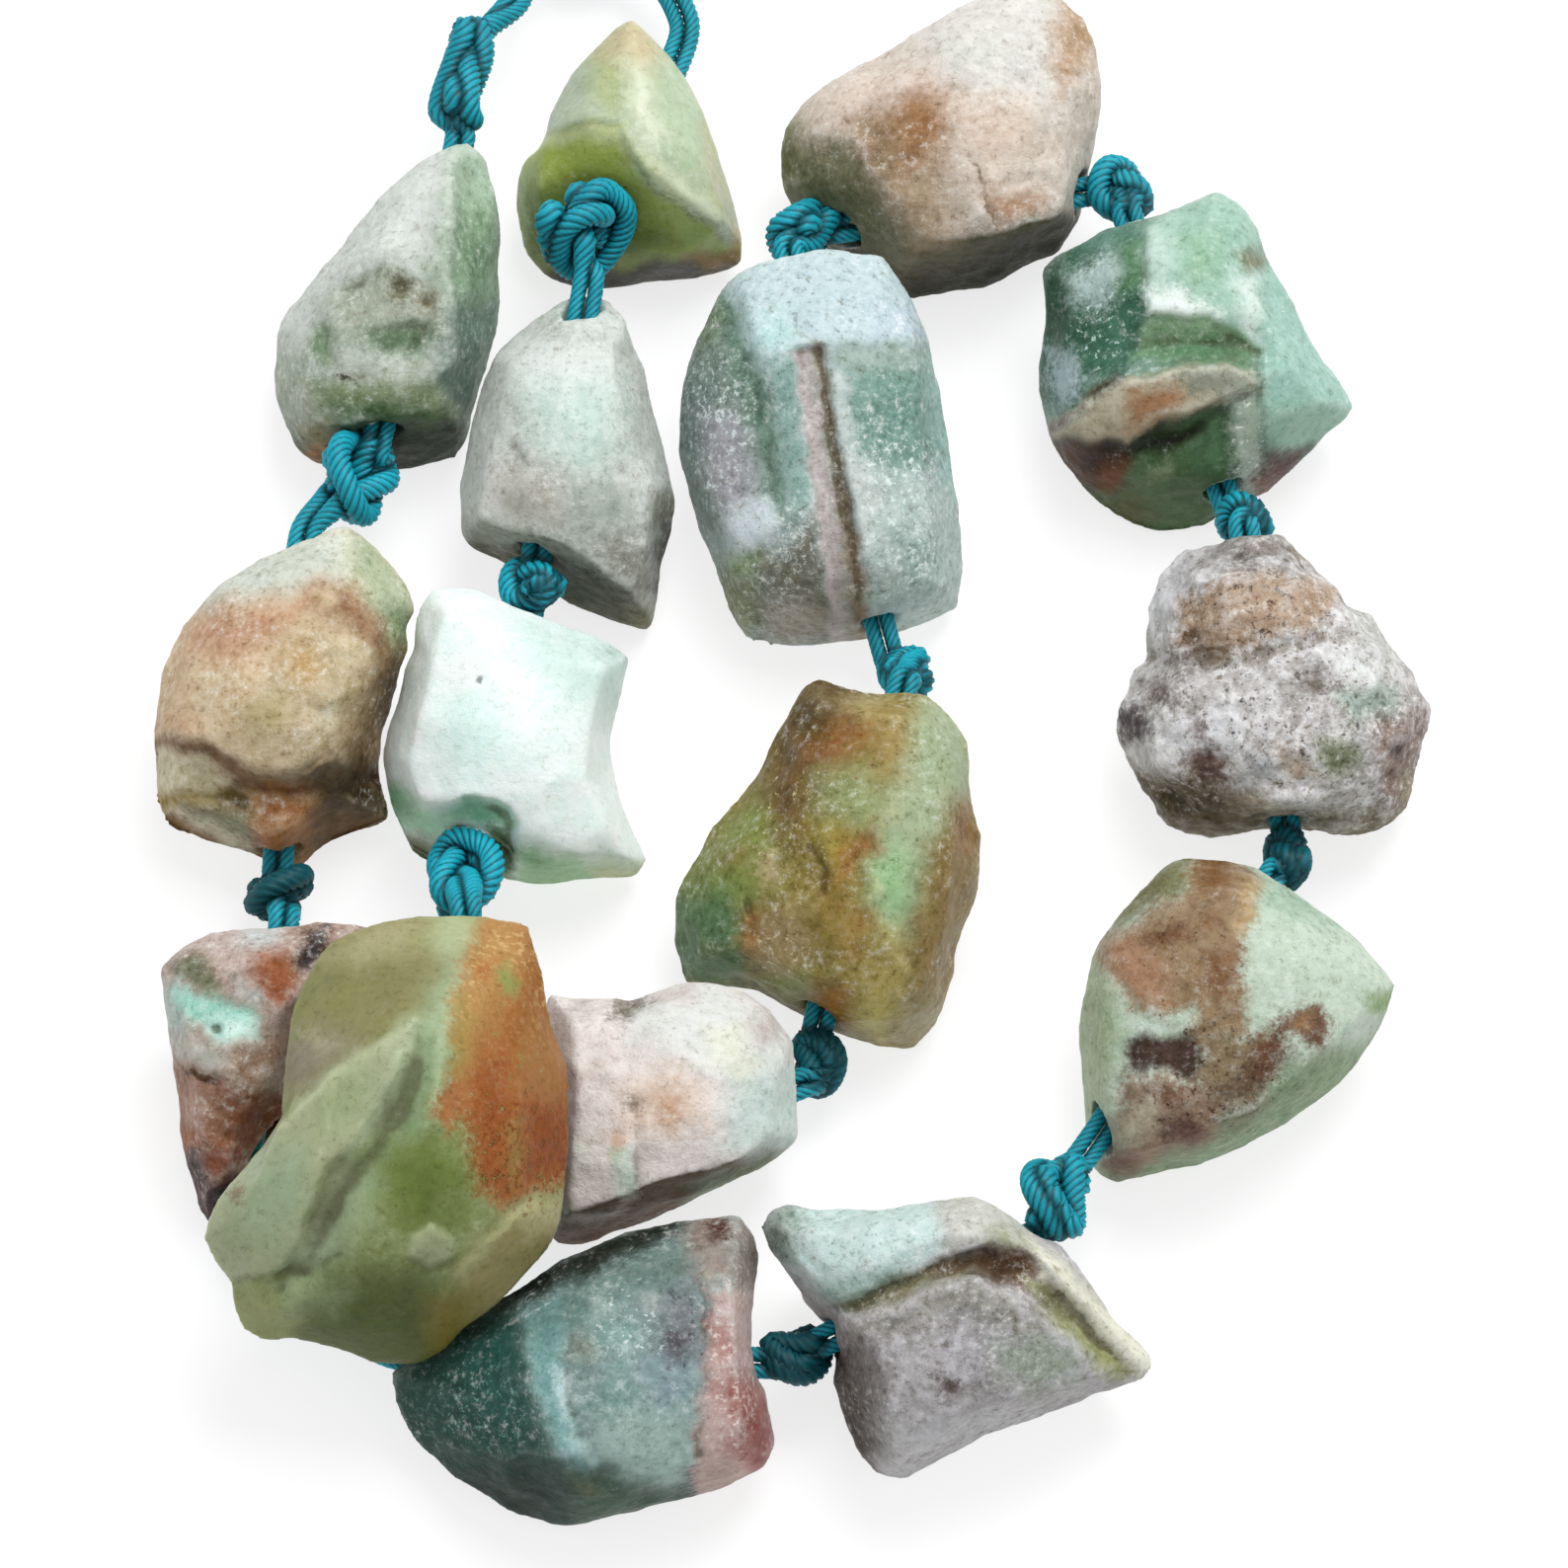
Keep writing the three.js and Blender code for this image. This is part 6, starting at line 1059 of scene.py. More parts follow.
def keep_wear(piece):
    places, normals = vertex_array(piece, "co"), vertex_array(piece, "normal")
    edges = np.empty(len(piece.data.edges) * 2, np.int32)
    piece.data.edges.foreach_get("vertices", edges)
    edges = edges.reshape(-1, 2)
    count = len(places)
    near = blurred(places, edges, count, NEAR_PASSES)
    far = blurred(near, edges, count, FAR_PASSES)
    proud = ((places - near) * normals).sum(1) + BROAD_SHARE * ((near - far) * normals).sum(1)
    proud = blurred(proud[:, None] / MM, edges, count, 1)[:, 0]
    layer = piece.data.attributes.new("wear", "FLOAT", "POINT")
    layer.data.foreach_set("value", proud.astype(np.float32))
    return proud


# %% Shape every stone


def keep_patches(piece, card):
    """Stores for every vertex how far it lies outside each patch, in millimetres."""
    x, y, _, wander = on_card(piece, card)
    for number, mark in enumerate(card["marks"]):
        if "points" in mark:
            apart = to_outline(x + wander[0], y + wander[1], mark["points"])
            layer = piece.data.attributes.new(f"patch {number}", "FLOAT", "POINT")
            layer.data.foreach_set("value", apart.astype(np.float32))


def rest_on_table(piece):
    places = vertex_array(piece, "co")
    places[:, 2] = np.maximum(places[:, 2], 0)
    piece.data.vertices.foreach_set("co", places.astype(np.float32).ravel())
    piece.data.update()


def shape_stone(name, card):
    piece = copy_of(name, name + "_stone")
    crease_sharp_edges(piece)
    finish_with(piece, "SUBSURF", levels=2, render_levels=2)
    finish_with(piece, "REMESH", mode="VOXEL", voxel_size=VOXEL, use_smooth_shade=True)
    finish_with(piece, "SMOOTH", factor=0.5, iterations=SMOOTH_PASSES)
    cut(piece, card)
    grain(piece, *card["skin"])
    rest_on_table(piece)
    proud = keep_wear(piece)
    keep_patches(piece, card)
    pick(piece)
    bpy.ops.object.shade_smooth()
    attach(piece, "root")
    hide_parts(name)
    print(name, triangles(piece), "wear", np.percentile(proud, [5, 50, 95]).round(3))
    return piece


stones = {name: shape_stone(name, card) for name, card in sorted(STONES.items())}

# %% [markdown]
# The stone's finish. Object coordinates are turned into the stone's own millimetres by a Mapping node, so the
# spots on a card land where the card says, and the patches read the distance that was stored with the shape.
# One noise bends the spots, and a second one breaks every edge into grains. No noise has finer steps than the
# eye can see, because each step costs time in every sample of the render.

# %% Helpers for materials


class Bench:
    """Adds and links the nodes of one material."""

    def __init__(self, name):
        self.material = bpy.data.materials.new(name)
        self.material.use_nodes = True
        self.tree = self.material.node_tree
        self.shader = self.tree.nodes["Principled BSDF"]

    def add(self, kind, settings=None, numbered=(), **named):
        """A node with its settings, its inputs by number and its inputs by name."""
        node = self.tree.nodes.new("ShaderNode" + kind)
        for key, value in (settings or {}).items():
            setattr(node, key, value)
        for key, value in (*numbered, *named.items()):
            self.feed(node.inputs[key], value)
        return node

    def feed(self, socket, value):
        if isinstance(value, bpy.types.NodeSocket):
            self.tree.links.new(value, socket)
        else:
            socket.default_value = value

    def coat(self, values):
        """Feeds the shader and hands over the finished material."""
        for key, value in values.items():
            self.feed(self.shader.inputs[key], value)
        return self.material

    def coordinates(self, which):
        return self.add("TexCoord").outputs[which]

    def stored(self, name):
        """A number that was kept on every vertex."""
        return self.add("Attribute", {"attribute_name": name}).outputs["Fac"]

    def math(self, operation, *values):
        return self.add("Math", {"operation": operation}, enumerate(values)).outputs[0]

    def times(self, a, b):
        return self.math("MULTIPLY", a, b)

    def vector(self, operation, *values):
        node = self.add("VectorMath", {"operation": operation}, enumerate(values))
        return node.outputs["Value" if operation in ("LENGTH", "DOT_PRODUCT") else "Vector"]

    def seen_from(self, place, middle, size, turn=0.0, lean=0.0):
        """A place measured from a middle, in units of size."""
        node = self.add("Mapping", {"vector_type": "TEXTURE"}, Vector=place, Location=middle, Scale=size)
        node.inputs["Rotation"].default_value = (lean, 0, turn)
        return node.outputs[0]

    def reach(self, place, x, y, wide, high, turn=0.0):
        """How far a place lies from the middle of an ellipse that runs on for ever in depth: 1 at its rim."""
        return self.vector("LENGTH", self.seen_from(place, (x, y, 0), (wide, high, ENDLESS), turn))

    def noise(self, place, scale, detail=4, roughness=0.6, output="Fac"):
        node = self.add("TexNoise", Vector=place, Scale=scale, Detail=detail, Roughness=roughness)
        return node.outputs[output]

    def span(self, value, low, high, to_low=0.0, to_high=1.0):
        """Eases from to_low to to_high as the value goes from low to high."""
        limits = enumerate((value, low, high, to_low, to_high))
        return self.add("MapRange", {"interpolation_type": "SMOOTHSTEP"}, limits).outputs[0]

    def mix(self, share, a, b, blend="MIX"):
        node = self.add("Mix", {"data_type": "RGBA", "blend_type": blend}, ((0, share), (6, a), (7, b)))
        return node.outputs[2]

    def lay(self, colour, code, share):
        """Lays one more colour over the colour so far."""
        return self.mix(share, colour, paint(code))


# %% Where a stone's pattern lies
ENDLESS = 1e6
NEXT_STONE = (37.0, 37.0 * 0.37, 37.0 * 0.71)
SWAY = 2.9
NEAR_EDGE = tuple(-SHEET_UP * 0.92 - SHEET_OUT * 0.39)
BACK, FRONT = -8.2, -6.6


def grounds(bench, name, card):
    """Places in the stone's own mm: as they are, moved on for each stone, and bent by a slow noise."""
    size = (MM, MM, MM)
    place = bench.seen_from(bench.coordinates("Object"), on_sheet(*card["at"]), size, lean=LEAN)
    own = bench.vector("ADD", place, [int(name[-2:]) * shift for shift in NEXT_STONE])
    sway = bench.vector("SUBTRACT", bench.noise(own, 0.4, 3, 0.62, "Color"), (0.5, 0.5, 0.5))
    swung = bench.add("VectorMath", {"operation": "SCALE"}, Vector=sway, Scale=SWAY).outputs["Vector"]
    return place, own, bench.vector("ADD", place, swung)


# %% Marks and dots
FRAY, SPOT_FRAY = 2.8, 2.2
SOFTNESS = 1.1
DOT_RIM, DOT_STRENGTH = (1.1, 0.6), 0.8


def lay_marks(bench, colour, card, loose, crumbs, front):
    for number, mark in enumerate(card["marks"]):
        soft, grain = mark["soft"], mark["grain"]
        if "points" in mark:
            outside = bench.stored(f"patch {number}")
            ragged = bench.math("MULTIPLY_ADD", crumbs, grain * FRAY, outside)
            inside = bench.span(ragged, soft * SOFTNESS, -soft * SOFTNESS, 0.0, mark["strength"])
        else:
            turn = math.radians(mark["turn"])
            outside = bench.reach(loose, mark["x"], mark["y"], mark["wide"], mark["high"], turn)
            ragged = bench.math("MULTIPLY_ADD", crumbs, grain * SPOT_FRAY, outside)
            inside = bench.span(ragged, 1 + soft / 2, 1 - soft, 0.0, mark["strength"])
        colour = bench.lay(colour, mark["colour"], bench.times(inside, front))
    return colour


def lay_dots(bench, colour, card, own, loose, front):
    if "dots" not in card:
        return colour
    grains = bench.noise(own, 1.9, 5, 0.7)
    for tone, x, y, wide, high, share in card["dots"]:
        inside = bench.span(bench.reach(loose, x, y, wide, high), *DOT_RIM)
        speckle = bench.span(grains, 0.75 - share * 0.35, 0.8 - share * 0.35)
        here = bench.times(bench.times(inside, speckle), front)
        colour = bench.lay(colour, tone, bench.times(here, DOT_STRENGTH))
    return colour


# %% Cloudiness and flecks
CLOUDY = 0.5
CLEAR = 1.6
FLECK, DUST = "f4f6f1", "b0a898"


def lay_flecks(bench, colour, card, own, lit):
    """Cloudiness first, then flecks that are paler and darker than the stone around them."""
    cloudy = bench.span(bench.noise(own, 1.0, 5, 0.7), 0.413, 0.609)
    deep = bench.mix(1.0, colour, colour, "MULTIPLY")
    colour = bench.mix(bench.times(cloudy, CLOUDY * (1 - CLEAR * card["wax"])), colour, deep)
    pale, dark = card["grit"]
    flecks = bench.noise(own, 1.5, 6, 0.8)
    drifts = bench.span(bench.noise(own, 0.22, 2, 0.6), 0.38, 0.62, 0.2, 1.0)
    many = bench.times(bench.span(flecks, 0.512, 0.66, 0.0, pale), bench.times(drifts, lit))
    colour = bench.mix(many, colour, bench.lay(colour, FLECK, 0.62))
    deeper = bench.mix(1.0, colour, paint(DUST), "MULTIPLY")
    return bench.mix(bench.span(flecks, 0.477, 0.34, 0.0, dark), colour, deeper)


# %% The stone's finish
RICHNESS = 1.1
LEAST_GLOW = 0.25
VEIN_EDGE = 0.12
WORN_DUST = "9a917c"


def stone_finish(name, card):
    bench = Bench(name + " amazonite")
    place, own, loose = grounds(bench, name, card)
    wax, (frost, amount), (under, depth) = card["wax"], card["frost"], card["under"]
    crumbs = bench.math("MULTIPLY_ADD", bench.noise(own, 2.2, 5, 0.74), 0.9, -0.45)
    sugar = bench.noise(own, 1.1, 5, 0.75)
    # the body, with frost on it
    first, second = card["body"]
    colour = bench.mix(bench.span(bench.noise(own, 0.3, 4, 0.6), 0.36, 0.64), paint(first), paint(second))
    colour = bench.lay(colour, frost, bench.times(bench.span(sugar, 0.5, 0.635), amount * 0.7))
    # a net of paler or darker veins
    if "web" in card:
        tone, size, strength = card["web"]
        cells = bench.add("TexVoronoi", {"feature": "DISTANCE_TO_EDGE"}, Vector=loose, Scale=1 / size)
        ragged = bench.math("ADD", cells.outputs["Distance"], bench.times(crumbs, 0.25))
        colour = bench.lay(colour, tone, bench.times(bench.span(ragged, VEIN_EDGE, 0.0), strength))
    # painted shade: the side that faces down and towards the near edge of the table takes the card's under
    # colour, as if the light came from the far side; lit is the rest
    facing = bench.vector("DOT_PRODUCT", bench.coordinates("Normal"), NEAR_EDGE)
    near = bench.math("ADD", facing, bench.times(crumbs, 0.25))
    shaded = bench.span(near, 0.05, 0.5, 0.0, depth)
    lit = bench.math("SUBTRACT", 1.0, shaded)
    colour = bench.lay(colour, under, shaded)
    # marks and dots run through the stone in depth and stop short of its underside
    front = bench.span(bench.add("SeparateXYZ", Vector=place).outputs[2], BACK, FRONT)
    colour = lay_marks(bench, colour, card, loose, crumbs, front)
    colour = lay_dots(bench, colour, card, own, loose, front)
    # worn edges are paler, hollows hold dust
    wear = bench.stored("wear")
    chalk = bench.times(bench.span(wear, 0.04, 0.17), bench.span(sugar, 0.385, 0.555, 0.1, 0.4))
    colour = bench.lay(colour, frost, bench.times(chalk, bench.times(lit, 1 - 1.4 * wax)))
    dusty = bench.mix(1.0, colour, paint(WORN_DUST), "MULTIPLY")
    colour = bench.mix(bench.span(wear, -0.02, -0.13, 0.0, 0.7), colour, dusty)
    colour = lay_flecks(bench, colour, card, own, lit)
    rich = bench.add("HueSaturation", Saturation=RICHNESS, Color=colour).outputs["Color"]
    # a fine skin that only a close look shows
    skin = bench.math("ADD", bench.times(bench.noise(own, 2.6, 4, 0.7), 0.53),
                      bench.times(bench.noise(own, 9.0, 1, 0.6), 0.1))
    bump = bench.add("Bump", Strength=0.55 - 0.5 * wax, Distance=0.5 * MM, Height=skin)
    return bench.coat({
        "Base Color": rich,
        "Roughness": bench.span(sugar, 0.33, 0.67, 0.5 - wax * 0.4, 0.72 - wax * 0.5),
        "IOR": 1.5,
        "Specular IOR Level": 0.06 + wax * 0.4,
        "Subsurface Weight": wax if wax > LEAST_GLOW else 0,
        "Subsurface Radius": (1, 1, 0.8),
        "Subsurface Scale": 1.2 * MM,
        "Normal": bump.outputs[0],
    })


for name, piece in stones.items():
    piece.data.materials.append(stone_finish(name, STONES[name]))
print("finishes:", len(bpy.data.materials))

# %% [markdown]
# The cord. Two thin cords run side by side. Between two stones they are tied together in an overhand knot.
# The knot is tightened here as by hand: a loose loop is pulled at its ends while the cord may not pass
# through itself.
#
# Places are given as u, v and height over the table. A bore is where the cord enters a stone and where it
# leaves. A knot is its middle, half its length and half its breadth. Its tone is painted light and shade:
# from
# -1, painted shade on a knot that lies in the shade of the stones, to 1, painted light on a knot in full
# light.

# %% The route of the cord
BORES = [
    ((-23.7, 47.2, 9.4), (-30.0, 23.4, 7.4)),
    ((-34.9, 17.6, 7.6), (-36.7, -6.6, 3.2)),
    ((-36.1, -10.4, 5.2), (-39.2, -32.2, 3.6)),
    ((-27.6, -41.2, 4.6), (-0.4, -41.8, 6)),
    ((2.2, -40.5, 6.4), (18.9, -32.2, 7)),
    ((21.1, -27.6, 5.8), (35.8, -6.4, 6.4)),
    ((36.5, -4.7, 4.2), (33.4, 18.5, 8.6)),
    ((32.9, 18.6, 5.2), (25, 41.8, 8)),
    ((23.5, 43.3, 6.6), (0.9, 40, 6)),
    ((0.3, 38.8, 9.2), (7.8, 8.2, 4.3)),
    ((8.7, 7, 9), (2.3, -18.6, 4)),
    ((1.9, -21.7, 4.6), (-18.8, -30.3, 4.4)),
    ((-20.6, -31.6, 5.2), (-22.8, -9.6, 13.4)),
    ((-22.4, -6.2, 6.6), (-18.3, 13.2, 8.4)),
    ((-18.6, 13.3, 7.6), (-14.2, 36.6, 11.2)),
    ((-14.2, 39.4, 9.4), (-7.7, 53.6, 6.2)),
]
KNOTS = [
    ((-23.3, 51.6, 8.6), 4.6, 2.6), ((-31.1, 22.2, 7.2), 3.3, 3.2), ((-36.5, -8, 3.6), 2.1, 2.7),
    ((-35.3, -36.1, 3.4), 2.7, 2.4), ((1, -41.4, 5.6), 2.6, 2.2), ((19.2, -29.8, 7), 3.4, 2.7),
    ((36.3, -6, 5), 2.6, 2.1), ((33.4, 18.9, 6.8), 2, 2.1), ((24.5, 43.1, 7), 2.4, 2.3),
    ((1.2, 40, 7), 2.8, 2.6), ((8.8, 7.6, 5.6), 2.4, 2), ((2.6, -20.4, 3.8), 2.5, 2),
    ((-20.2, -33.9, 3.8), 2.5, 2.2), ((-22.9, -6.7, 8.8), 3.5, 2.9), ((-18.5, 14, 8.2), 2.3, 2.2),
    ((-14.4, 39.8, 10.4), 2.7, 4.0),
]
KNOT_PAINTED_LIGHT = [0, 0.6, -1, 0, -1, 0.2, -0.7, 0, 0, 0, 0.7, -0.7, 0, 1, 1, 0.2]
CLOSING = ((-14.6, 62.4, 3.2), 3.1, 2.9)
LEFT_ARM = [(-18.6, 60.5, 4.4), (-19.9, 57.2, 6.6)]
RIGHT_ARM = [(-7.4, 56, 5.6), (-9.6, 59.6, 4.2)]
TAILS = [[(-17, 65.8, 1.6), (-17.8, 71.2, 1.6)], [(-12.2, 65.8, 1.6), (-11.4, 71.2, 1.6)]]

# %% A tight overhand knot in a pair of cords
KNOT_POINTS = 104
KNOT_LENGTH = 27.0
LOOSE_REACH, LOOSE_SIZE = 2.2, 1.25
OWN_REACH = 1.35
PULLS, PULL = 700, 0.03
SWEEPS = 3
SHOVE = 0.2
EASE = 0.12


def sideways(line, start):
    """The way along the line and a direction across it, carried along without turning."""
    ways = np.gradient(line, axis=0)
    ways /= np.linalg.norm(ways, axis=1, keepdims=True)
    across, last = np.empty_like(line), np.array(start, float)
    for i, way in enumerate(ways):
        last = last - way * (last @ way)
        last /= np.linalg.norm(last)
        across[i] = last
    return ways, across


def tight_knot():
    """Two cords, each one unit thick, drawn tight along z. The result is cord by point by x, y, z."""
    t = np.linspace(-LOOSE_REACH, LOOSE_REACH, KNOT_POINTS)
    trefoil = [t ** 3 - 3 * t, (t ** 4 - 4 * t ** 2 + 2) * 0.9, (t ** 5 - 10 * t) / 5]
    loose = np.stack(trefoil, 1) * LOOSE_SIZE
    across = sideways(loose, (0, 1, 0))[1]
    cords = np.stack([loose + across / 2, loose - across / 2])
    pull = loose[-1] - loose[0]
    pull /= np.linalg.norm(pull)
    link = KNOT_LENGTH / (KNOT_POINTS - 1)
    index = np.arange(KNOT_POINTS)
    near = np.abs(np.subtract.outer(index, index)) * link < OWN_REACH
    free = np.block([[near, np.zeros_like(near)], [np.zeros_like(near), near]])
    for _ in range(PULLS):
        cords[:, 0] -= pull * PULL
        cords[:, -1] += pull * PULL
        for _ in range(SWEEPS):
            for start in (0, 1):
                first, second = cords[:, start:-1:2], cords[:, start + 1::2]
                first = first[:, :second.shape[1]]
                along = second - first
                size = np.linalg.norm(along, axis=2, keepdims=True) + 1e-9
                move = along / size * (size - link) * 0.5
                first += move
                second -= move
            every = cords.reshape(-1, 3)
            apart = every[:, None] - every[None]
            gap = np.sqrt((apart ** 2).sum(2)) + 1e-9
            push = np.where(~free & (gap < 1), (1 - gap) * SHOVE / gap, 0)
            cords += (apart * push[..., None]).sum(1).reshape(cords.shape)
        cords[:, 1:-1] += ((cords[:, :-2] + cords[:, 2:]) / 2 - cords[:, 1:-1]) * EASE
        for end in (0, -1):
            middle = cords[:, end].mean(0)
            split = cords[0, end] - cords[1, end]
            split -= pull * (split @ pull)
            split /= np.linalg.norm(split) * 2
            cords[0, end], cords[1, end] = middle + split, middle - split
    side = np.cross(pull, (0, 1, 0))
    side /= np.linalg.norm(side)
    turned = cords @ np.stack([side, np.cross(pull, side), pull]).T
    body = turned - turned[:, [0, -1]].mean((0, 1))
    wide = np.hypot(body[..., 0], body[..., 1]) > 1
    body -= (body[wide].max(0) + body[wide].min(0)) / 2
    return body, body[wide].max(0)


KNOT, KNOT_HALF = tight_knot()
print("knot half sizes:", KNOT_HALF.round(2), "cord diameters")

# %% The whole route, in millimetres
STRAND = 1.2
SWELL = 1.5
PAIR_GAP = 0.47
PAST_KNOT = 0.4
KNOT_TURN = 2.1
CLOSING_TURN = 0.4


def sheet_mm(place):
    return np.array(on_sheet(*place)) / MM


def unit(vector):
    return vector / np.linalg.norm(vector)


def tied(place, half_long, half_broad, axis, roll, mirror, tone=0.0):
    """The two lines of one knot, cut off just outside it."""
    axis = unit(axis)
    side = unit(np.cross(axis, np.array(SHEET_OUT)))
    front = np.cross(side, axis)
    broad = (half_broad - SWELL * STRAND / 2) / KNOT_HALF[:2].mean()
    long = (half_long - SWELL * STRAND / 2) / KNOT_HALF[2]
    c, s = math.cos(roll), math.sin(roll)
    lines = []
    for strand in KNOT:
        kept = strand[np.abs(strand[:, 2]) < KNOT_HALF[2] + PAST_KNOT].copy()
        if mirror:
            kept[:, 0] *= -1
        kept[:, :2] = kept[:, :2] @ np.array([[c, s], [-s, c]])
        aside = kept[:, :1] * side * broad + kept[:, 1:2] * front * broad
        line = sheet_mm(place) + aside + kept[:, 2:] * axis * long
        # the fifth column is the knot's painted light and shade
        lines.append(np.column_stack([line, np.full(len(line), SWELL), np.full(len(line), tone)]))
    return lines


def join_pairs(parts):
    """Parts are knots (two lines) and free stretches (one line), where the pair lies flat on the sheet.
    A fourth number on each point says how thick the cord swells there, a fifth its painted light and shade."""
    routes = ([], [])
    for part in parts:
        if isinstance(part, list):
            if routes[0]:
                gap_now = routes[0][-1] - routes[1][-1]
                if gap_now[:3] @ (part[0][0] - part[1][0])[:3] < 0:
                    part.reverse()
            for route, line in zip(routes, part):
                route.extend(line)
            continue
        last = (routes[0][-1] - routes[1][-1])[:3] if routes[0] else np.zeros(3)
        for step_at, point in enumerate(part):
            ahead = unit(part[min(step_at + 1, len(part) - 1)] - part[max(step_at - 1, 0)])
            split = unit(np.cross(ahead, np.array(SHEET_OUT)))
            split *= -1 if split @ last < 0 else 1
            last = split
            routes[0].append(np.append(point + split * STRAND * PAIR_GAP, (1, 0)))
            routes[1].append(np.append(point - split * STRAND * PAIR_GAP, (1, 0)))
    return [np.array(route) for route in routes]


closing_axis = sheet_mm(LEFT_ARM[0]) - sheet_mm(TAILS[0][0])
parts = [
    np.array([sheet_mm(place) for place in reversed(TAILS[0])]),
    tied(*CLOSING, closing_axis, CLOSING_TURN, False),
    np.array([sheet_mm(place) for place in LEFT_ARM]),
]
before = sheet_mm(LEFT_ARM[-1])
for index, (bore, knot) in enumerate(zip(BORES, KNOTS)):
    entry, leaving = sheet_mm(bore[0]), sheet_mm(bore[1])
    parts.append(tied(*knot, entry - before, index * KNOT_TURN, index % 2 == 1, KNOT_PAINTED_LIGHT[index]))
    parts.append(np.array([entry, (entry + leaving) / 2, leaving]))
    before = leaving
through = [sheet_mm(place) for place in (*RIGHT_ARM, CLOSING[0], *TAILS[1])]
parts[-1] = np.vstack([parts[-1], through])
routes = join_pairs(parts)

# %% Even steps along a smooth curve
CORD_STEP = 0.29
FINE_STEP = 0.12
ROUTE_EASINGS = 6


def smooth_route(points):
    """A Catmull-Rom curve through the points, in even steps."""
    padded = np.vstack([2 * points[0] - points[1], points, 2 * points[-1] - points[-2]])
    fine = []
    for i in range(len(points) - 1):
        p0, p1, p2, p3 = padded[i:i + 4]
        size = np.linalg.norm((p2 - p1)[:3])
        t0 = (p2 - p0) / (np.linalg.norm((p1 - p0)[:3]) + size) * size
        t1 = (p3 - p1) / (np.linalg.norm((p3 - p2)[:3]) + size) * size
        for t in np.linspace(0, 1, max(2, int(size / FINE_STEP)), endpoint=False):
            a, b = 2 * t ** 3 - 3 * t ** 2 + 1, t ** 3 - 2 * t ** 2 + t
            fine.append(a * p1 + b * t0 + (1 - a) * p2 + (t ** 3 - t ** 2) * t1)
    fine = np.array(fine)
    for _ in range(ROUTE_EASINGS):
        fine[1:-1] += ((fine[:-2] + fine[2:]) / 2 - fine[1:-1]) * 0.5
    run = np.concatenate([[0], np.cumsum(np.linalg.norm(np.diff(fine[:, :3], axis=0), axis=1))])
    even = np.arange(0, run[-1], CORD_STEP)
    return np.stack([np.interp(even, run, fine[:, k]) for k in range(5)], 1)


lines = [smooth_route(route) for route in routes]
print("cord:", [round(len(line) * CORD_STEP) for line in lines], "mm")

# %% [markdown]
# A laid cord is six plies in a steep helix. Its cross-section is a small rosette, and each ring of it is
# turned a little further than the last, so the edges of the mesh run along the plies. Where two turns of a
# knot press on each other the thread gets painted shade, so every vertex keeps how near it lies to the next
# turn.

# %% The twisted cords
PLIES = 6
CORNERS = 3
CROWN, FURROW = 0.6, 0.5
LAY = 3.6
CREVICE_SHADE_REACH = 0.55
MOST_TURNS = 24
OWN_STRETCH = 2.6
FAR_AWAY = 1e3
FIRST_SIDE = (0.3, 0.2, 0.9)


def next_turns(lines):
    """For every ring of both cords, the nearest middles of other turns, and their radii."""
    middles = np.vstack([line[:, :3] for line in lines]).astype(np.float32)
    radii = np.concatenate([line[:, 3] for line in lines]) * STRAND / 2
    strand = np.repeat([0, 1], [len(line) for line in lines])
    apart = np.sqrt(((middles[:, None] - middles[None]) ** 2).sum(2))
    index = np.arange(len(middles))
    own = (strand[:, None] == strand[None]) & (np.abs(index[:, None] - index[None]) * CORD_STEP < OWN_STRETCH)
    apart[own] = FAR_AWAY
    nearest = np.argpartition(apart, MOST_TURNS, axis=1)[:, :MOST_TURNS]
    halfway = len(lines[0])
    return [(middles[rows], radii[rows]) for rows in (nearest[:halfway], nearest[halfway:])]


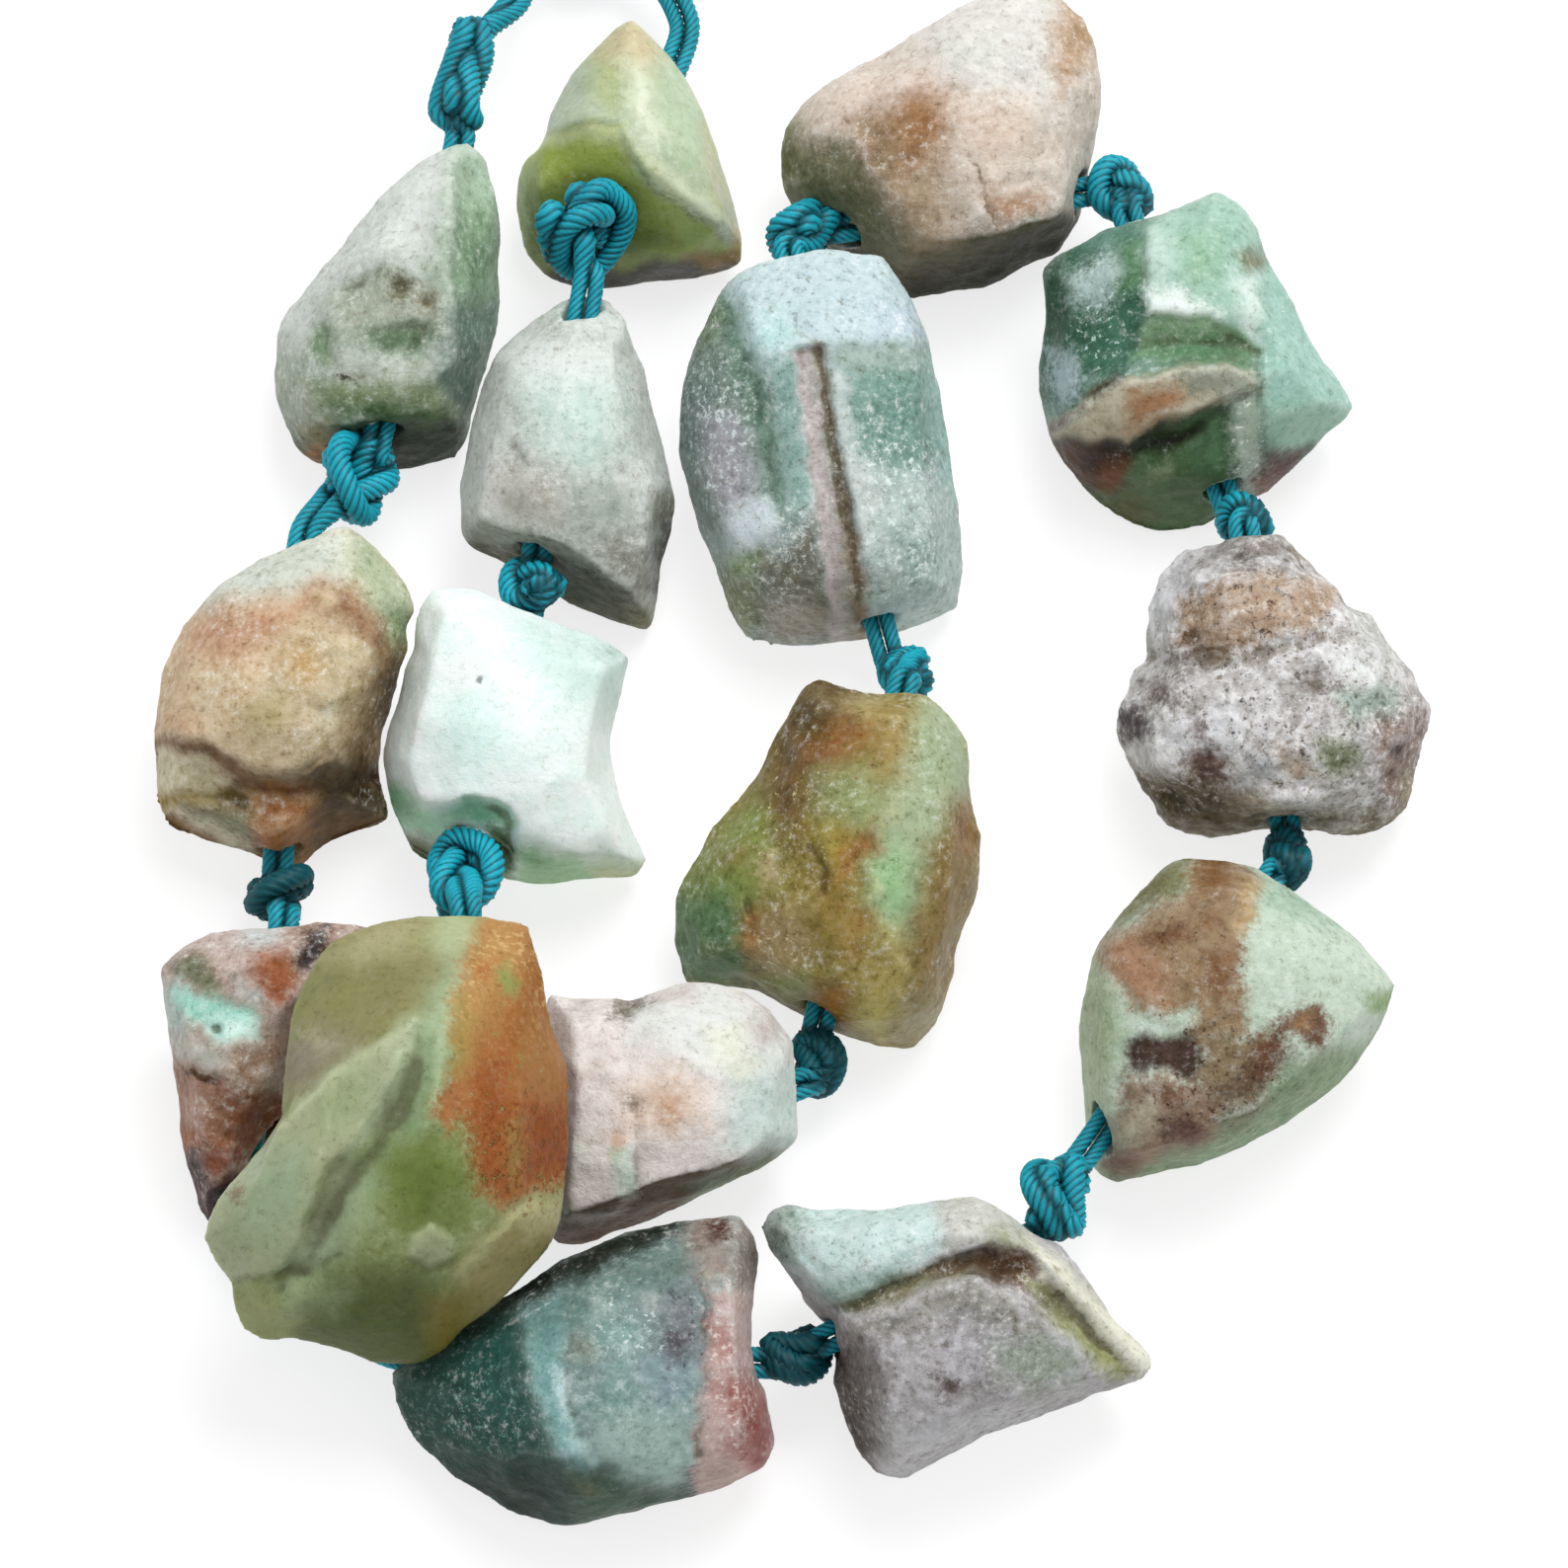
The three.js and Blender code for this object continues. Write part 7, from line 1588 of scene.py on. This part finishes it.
def strand_mesh(name, line, turns):
    around = np.arange(PLIES * CORNERS)
    angles = around * 2 * math.pi / len(around)
    radius = np.where(around % CORNERS, CROWN, FURROW)
    corners = np.stack([radius * np.cos(angles), radius * np.sin(angles)], 1)
    middles, swell, tone = line[:, :3], line[:, 3], line[:, 4]
    mesh = bmesh.new()
    # each vertex keeps painted shade where turns press together, and its knot's painted light and shade
    crevice_shade_layer, painted_light_layer = mesh.verts.layers.float.new("crevice_shade"), mesh.verts.layers.float.new("tone")
    uv = mesh.loops.layers.uv.new("along and across")
    ways, up = sideways(middles, FIRST_SIDE)
    side = np.cross(ways, up)
    rings = []
    for i, middle in enumerate(middles):
        turn = i * CORD_STEP / LAY * 2 * math.pi
        c, s = math.cos(turn), math.sin(turn)
        flat = corners @ np.array([[c, s], [-s, c]]) * swell[i]
        places = middle + flat[:, :1] * up[i] + flat[:, 1:] * side[i]
        gaps = np.linalg.norm(places[:, None] - turns[0][i][None], axis=2) - turns[1][i][None]
        crevice_shades = np.clip(1 - gaps.min(1) / CREVICE_SHADE_REACH, 0, 1)
        ring = [mesh.verts.new(place) for place in places * MM]
        for vertex, crevice_shade in zip(ring, crevice_shades):
            vertex[crevice_shade_layer], vertex[painted_light_layer] = crevice_shade, tone[i]
        rings.append(ring)
    for i in range(len(rings) - 1):
        for j in range(len(corners)):
            k = (j + 1) % len(corners)
            made = mesh.faces.new((rings[i][j], rings[i][k], rings[i + 1][k], rings[i + 1][j]))
            made.smooth = True
            for loop, (across, along) in zip(made.loops, ((j, i), (j + 1, i), (j + 1, i + 1), (j, i + 1))):
                loop[uv].uv = (along * CORD_STEP, across / CORNERS)
    mesh.faces.new(reversed(rings[0]))
    mesh.faces.new(rings[-1])
    data = bpy.data.meshes.new(name)
    bmesh.ops.recalc_face_normals(mesh, faces=mesh.faces)
    mesh.to_mesh(data)
    mesh.free()
    piece = bpy.data.objects.new(name, data)
    bpy.context.scene.collection.objects.link(piece)
    return piece


halves = [strand_mesh("knotted_cord", line, turns) for line, turns in zip(lines, next_turns(lines))]
pick(halves[0])
halves[1].select_set(True)
bpy.ops.object.join()
cord = halves[0]
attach(cord, "root")
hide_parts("cord")
print("cord triangles:", triangles(cord))

# %% [markdown]
# The cord's finish is teal thread, with the fine fibres running along the ply and a soft sheen. Painted shade
# darkens the furrow between two plies and the places where two turns press on each other, and each knot gets
# painted light and shade from its tone.

# %% The cord's finish


def cord_finish():
    bench = Bench("teal thread")
    uv = bench.add("UVMap").outputs["UV"]
    across = bench.math("PINGPONG", bench.add("SeparateXYZ", Vector=uv).outputs[1], 0.5)
    fade = bench.noise(bench.coordinates("Object"), 260.0, 3, 0.5)
    tone, crevice_shade = bench.stored("tone"), bench.stored("crevice_shade")
    colour = bench.mix(bench.span(fade, 0.35, 0.65), paint("0a9bb0"), paint("1cb6ce"))
    # painted light on bright knots and painted shade on dark ones, from the tone of each knot
    colour = bench.lay(colour, "14c4e0", bench.span(tone, 0, 1, 0.0, 0.55))
    colour = bench.lay(colour, "00353c", bench.span(tone, 0, -1, 0.0, 0.92))
    drawn_out = bench.add("Mapping", Vector=uv, Scale=(1.2, 14, 1)).outputs[0]
    fibres = bench.noise(drawn_out, 1.0, 3, 0.6)
    colour = bench.lay(colour, "00707a", bench.span(fibres, 0.6, 0.4, 0.0, 0.4))
    # painted shade in the furrow between two plies
    colour = bench.lay(colour, "00424c", bench.span(across, 0.28, 0.02, 0.0, 0.75))
    # painted shade where two turns of a knot press on each other
    colour = bench.lay(colour, "003a42", bench.span(crevice_shade, 0.15, 0.85, 0.0, 0.85))
    bump = bench.add("Bump", Strength=0.5, Distance=0.05 * MM, Height=fibres)
    return bench.coat({
        "Base Color": colour,
        "Roughness": 0.5,
        "Specular IOR Level": 0.3,
        "Sheen Weight": 0.08,
        "Sheen Roughness": 0.4,
        "Sheen Tint": paint("a8f2fa"),
        "Normal": bump.outputs[0],
    })


cord.data.materials.clear()
cord.data.materials.append(cord_finish())
print("cord finish:", cord.data.materials[0].name)

# %% [markdown]
# The stage: a pale table that glows a little, as a light table does, so that shadows stay faint; one big soft
# lamp from the far right; and an even sky that fills the rest.

# %% Floor, light and view
TABLE_REACH = 1.5
TABLE_GREY, TABLE_GLOW = 0.32, 0.74
LAMP_PLACE = Vector((0.18, 0.42, 0.72))
LAMP_SIZE, LAMP_POWER = 0.45, 5.4
SKY = 0.63


def stage_floor():
    finish = Bench("pale table").coat({
        "Base Color": (TABLE_GREY, TABLE_GREY, TABLE_GREY, 1),
        "Roughness": 1.0,
        "Specular IOR Level": 0.0,
        "Emission Color": (1, 1, 1, 1),
        "Emission Strength": TABLE_GLOW,
    })
    mesh = bpy.data.meshes.new("floor")
    corners = [(TABLE_REACH * x, TABLE_REACH * y, 0) for x, y in ((-1, -1), (1, -1), (1, 1), (-1, 1))]
    mesh.from_pydata(corners, [], [(0, 1, 2, 3)])
    mesh.materials.append(finish)
    floor = bpy.data.objects.new("floor", mesh)
    bpy.context.scene.collection.objects.link(floor)


def key_lamp():
    light = bpy.data.lights.new("key lamp", "AREA")
    light.size = LAMP_SIZE
    light.energy = LAMP_POWER
    lamp = bpy.data.objects.new("key lamp", light)
    lamp.location = aim + LAMP_PLACE
    lamp.rotation_euler = (-LAMP_PLACE).to_track_quat("-Z", "Y").to_euler()
    bpy.context.scene.collection.objects.link(lamp)


stage_floor()
key_lamp()
world = bpy.data.worlds.new("soft room")
world.use_nodes = True
world.node_tree.nodes["Background"].inputs["Color"].default_value = (1, 1, 1, 1)
world.node_tree.nodes["Background"].inputs["Strength"].default_value = SKY
bpy.context.scene.world = world
bpy.context.scene.view_settings.view_transform = "Standard"
print("lights:", [item.name for item in bpy.data.lights])
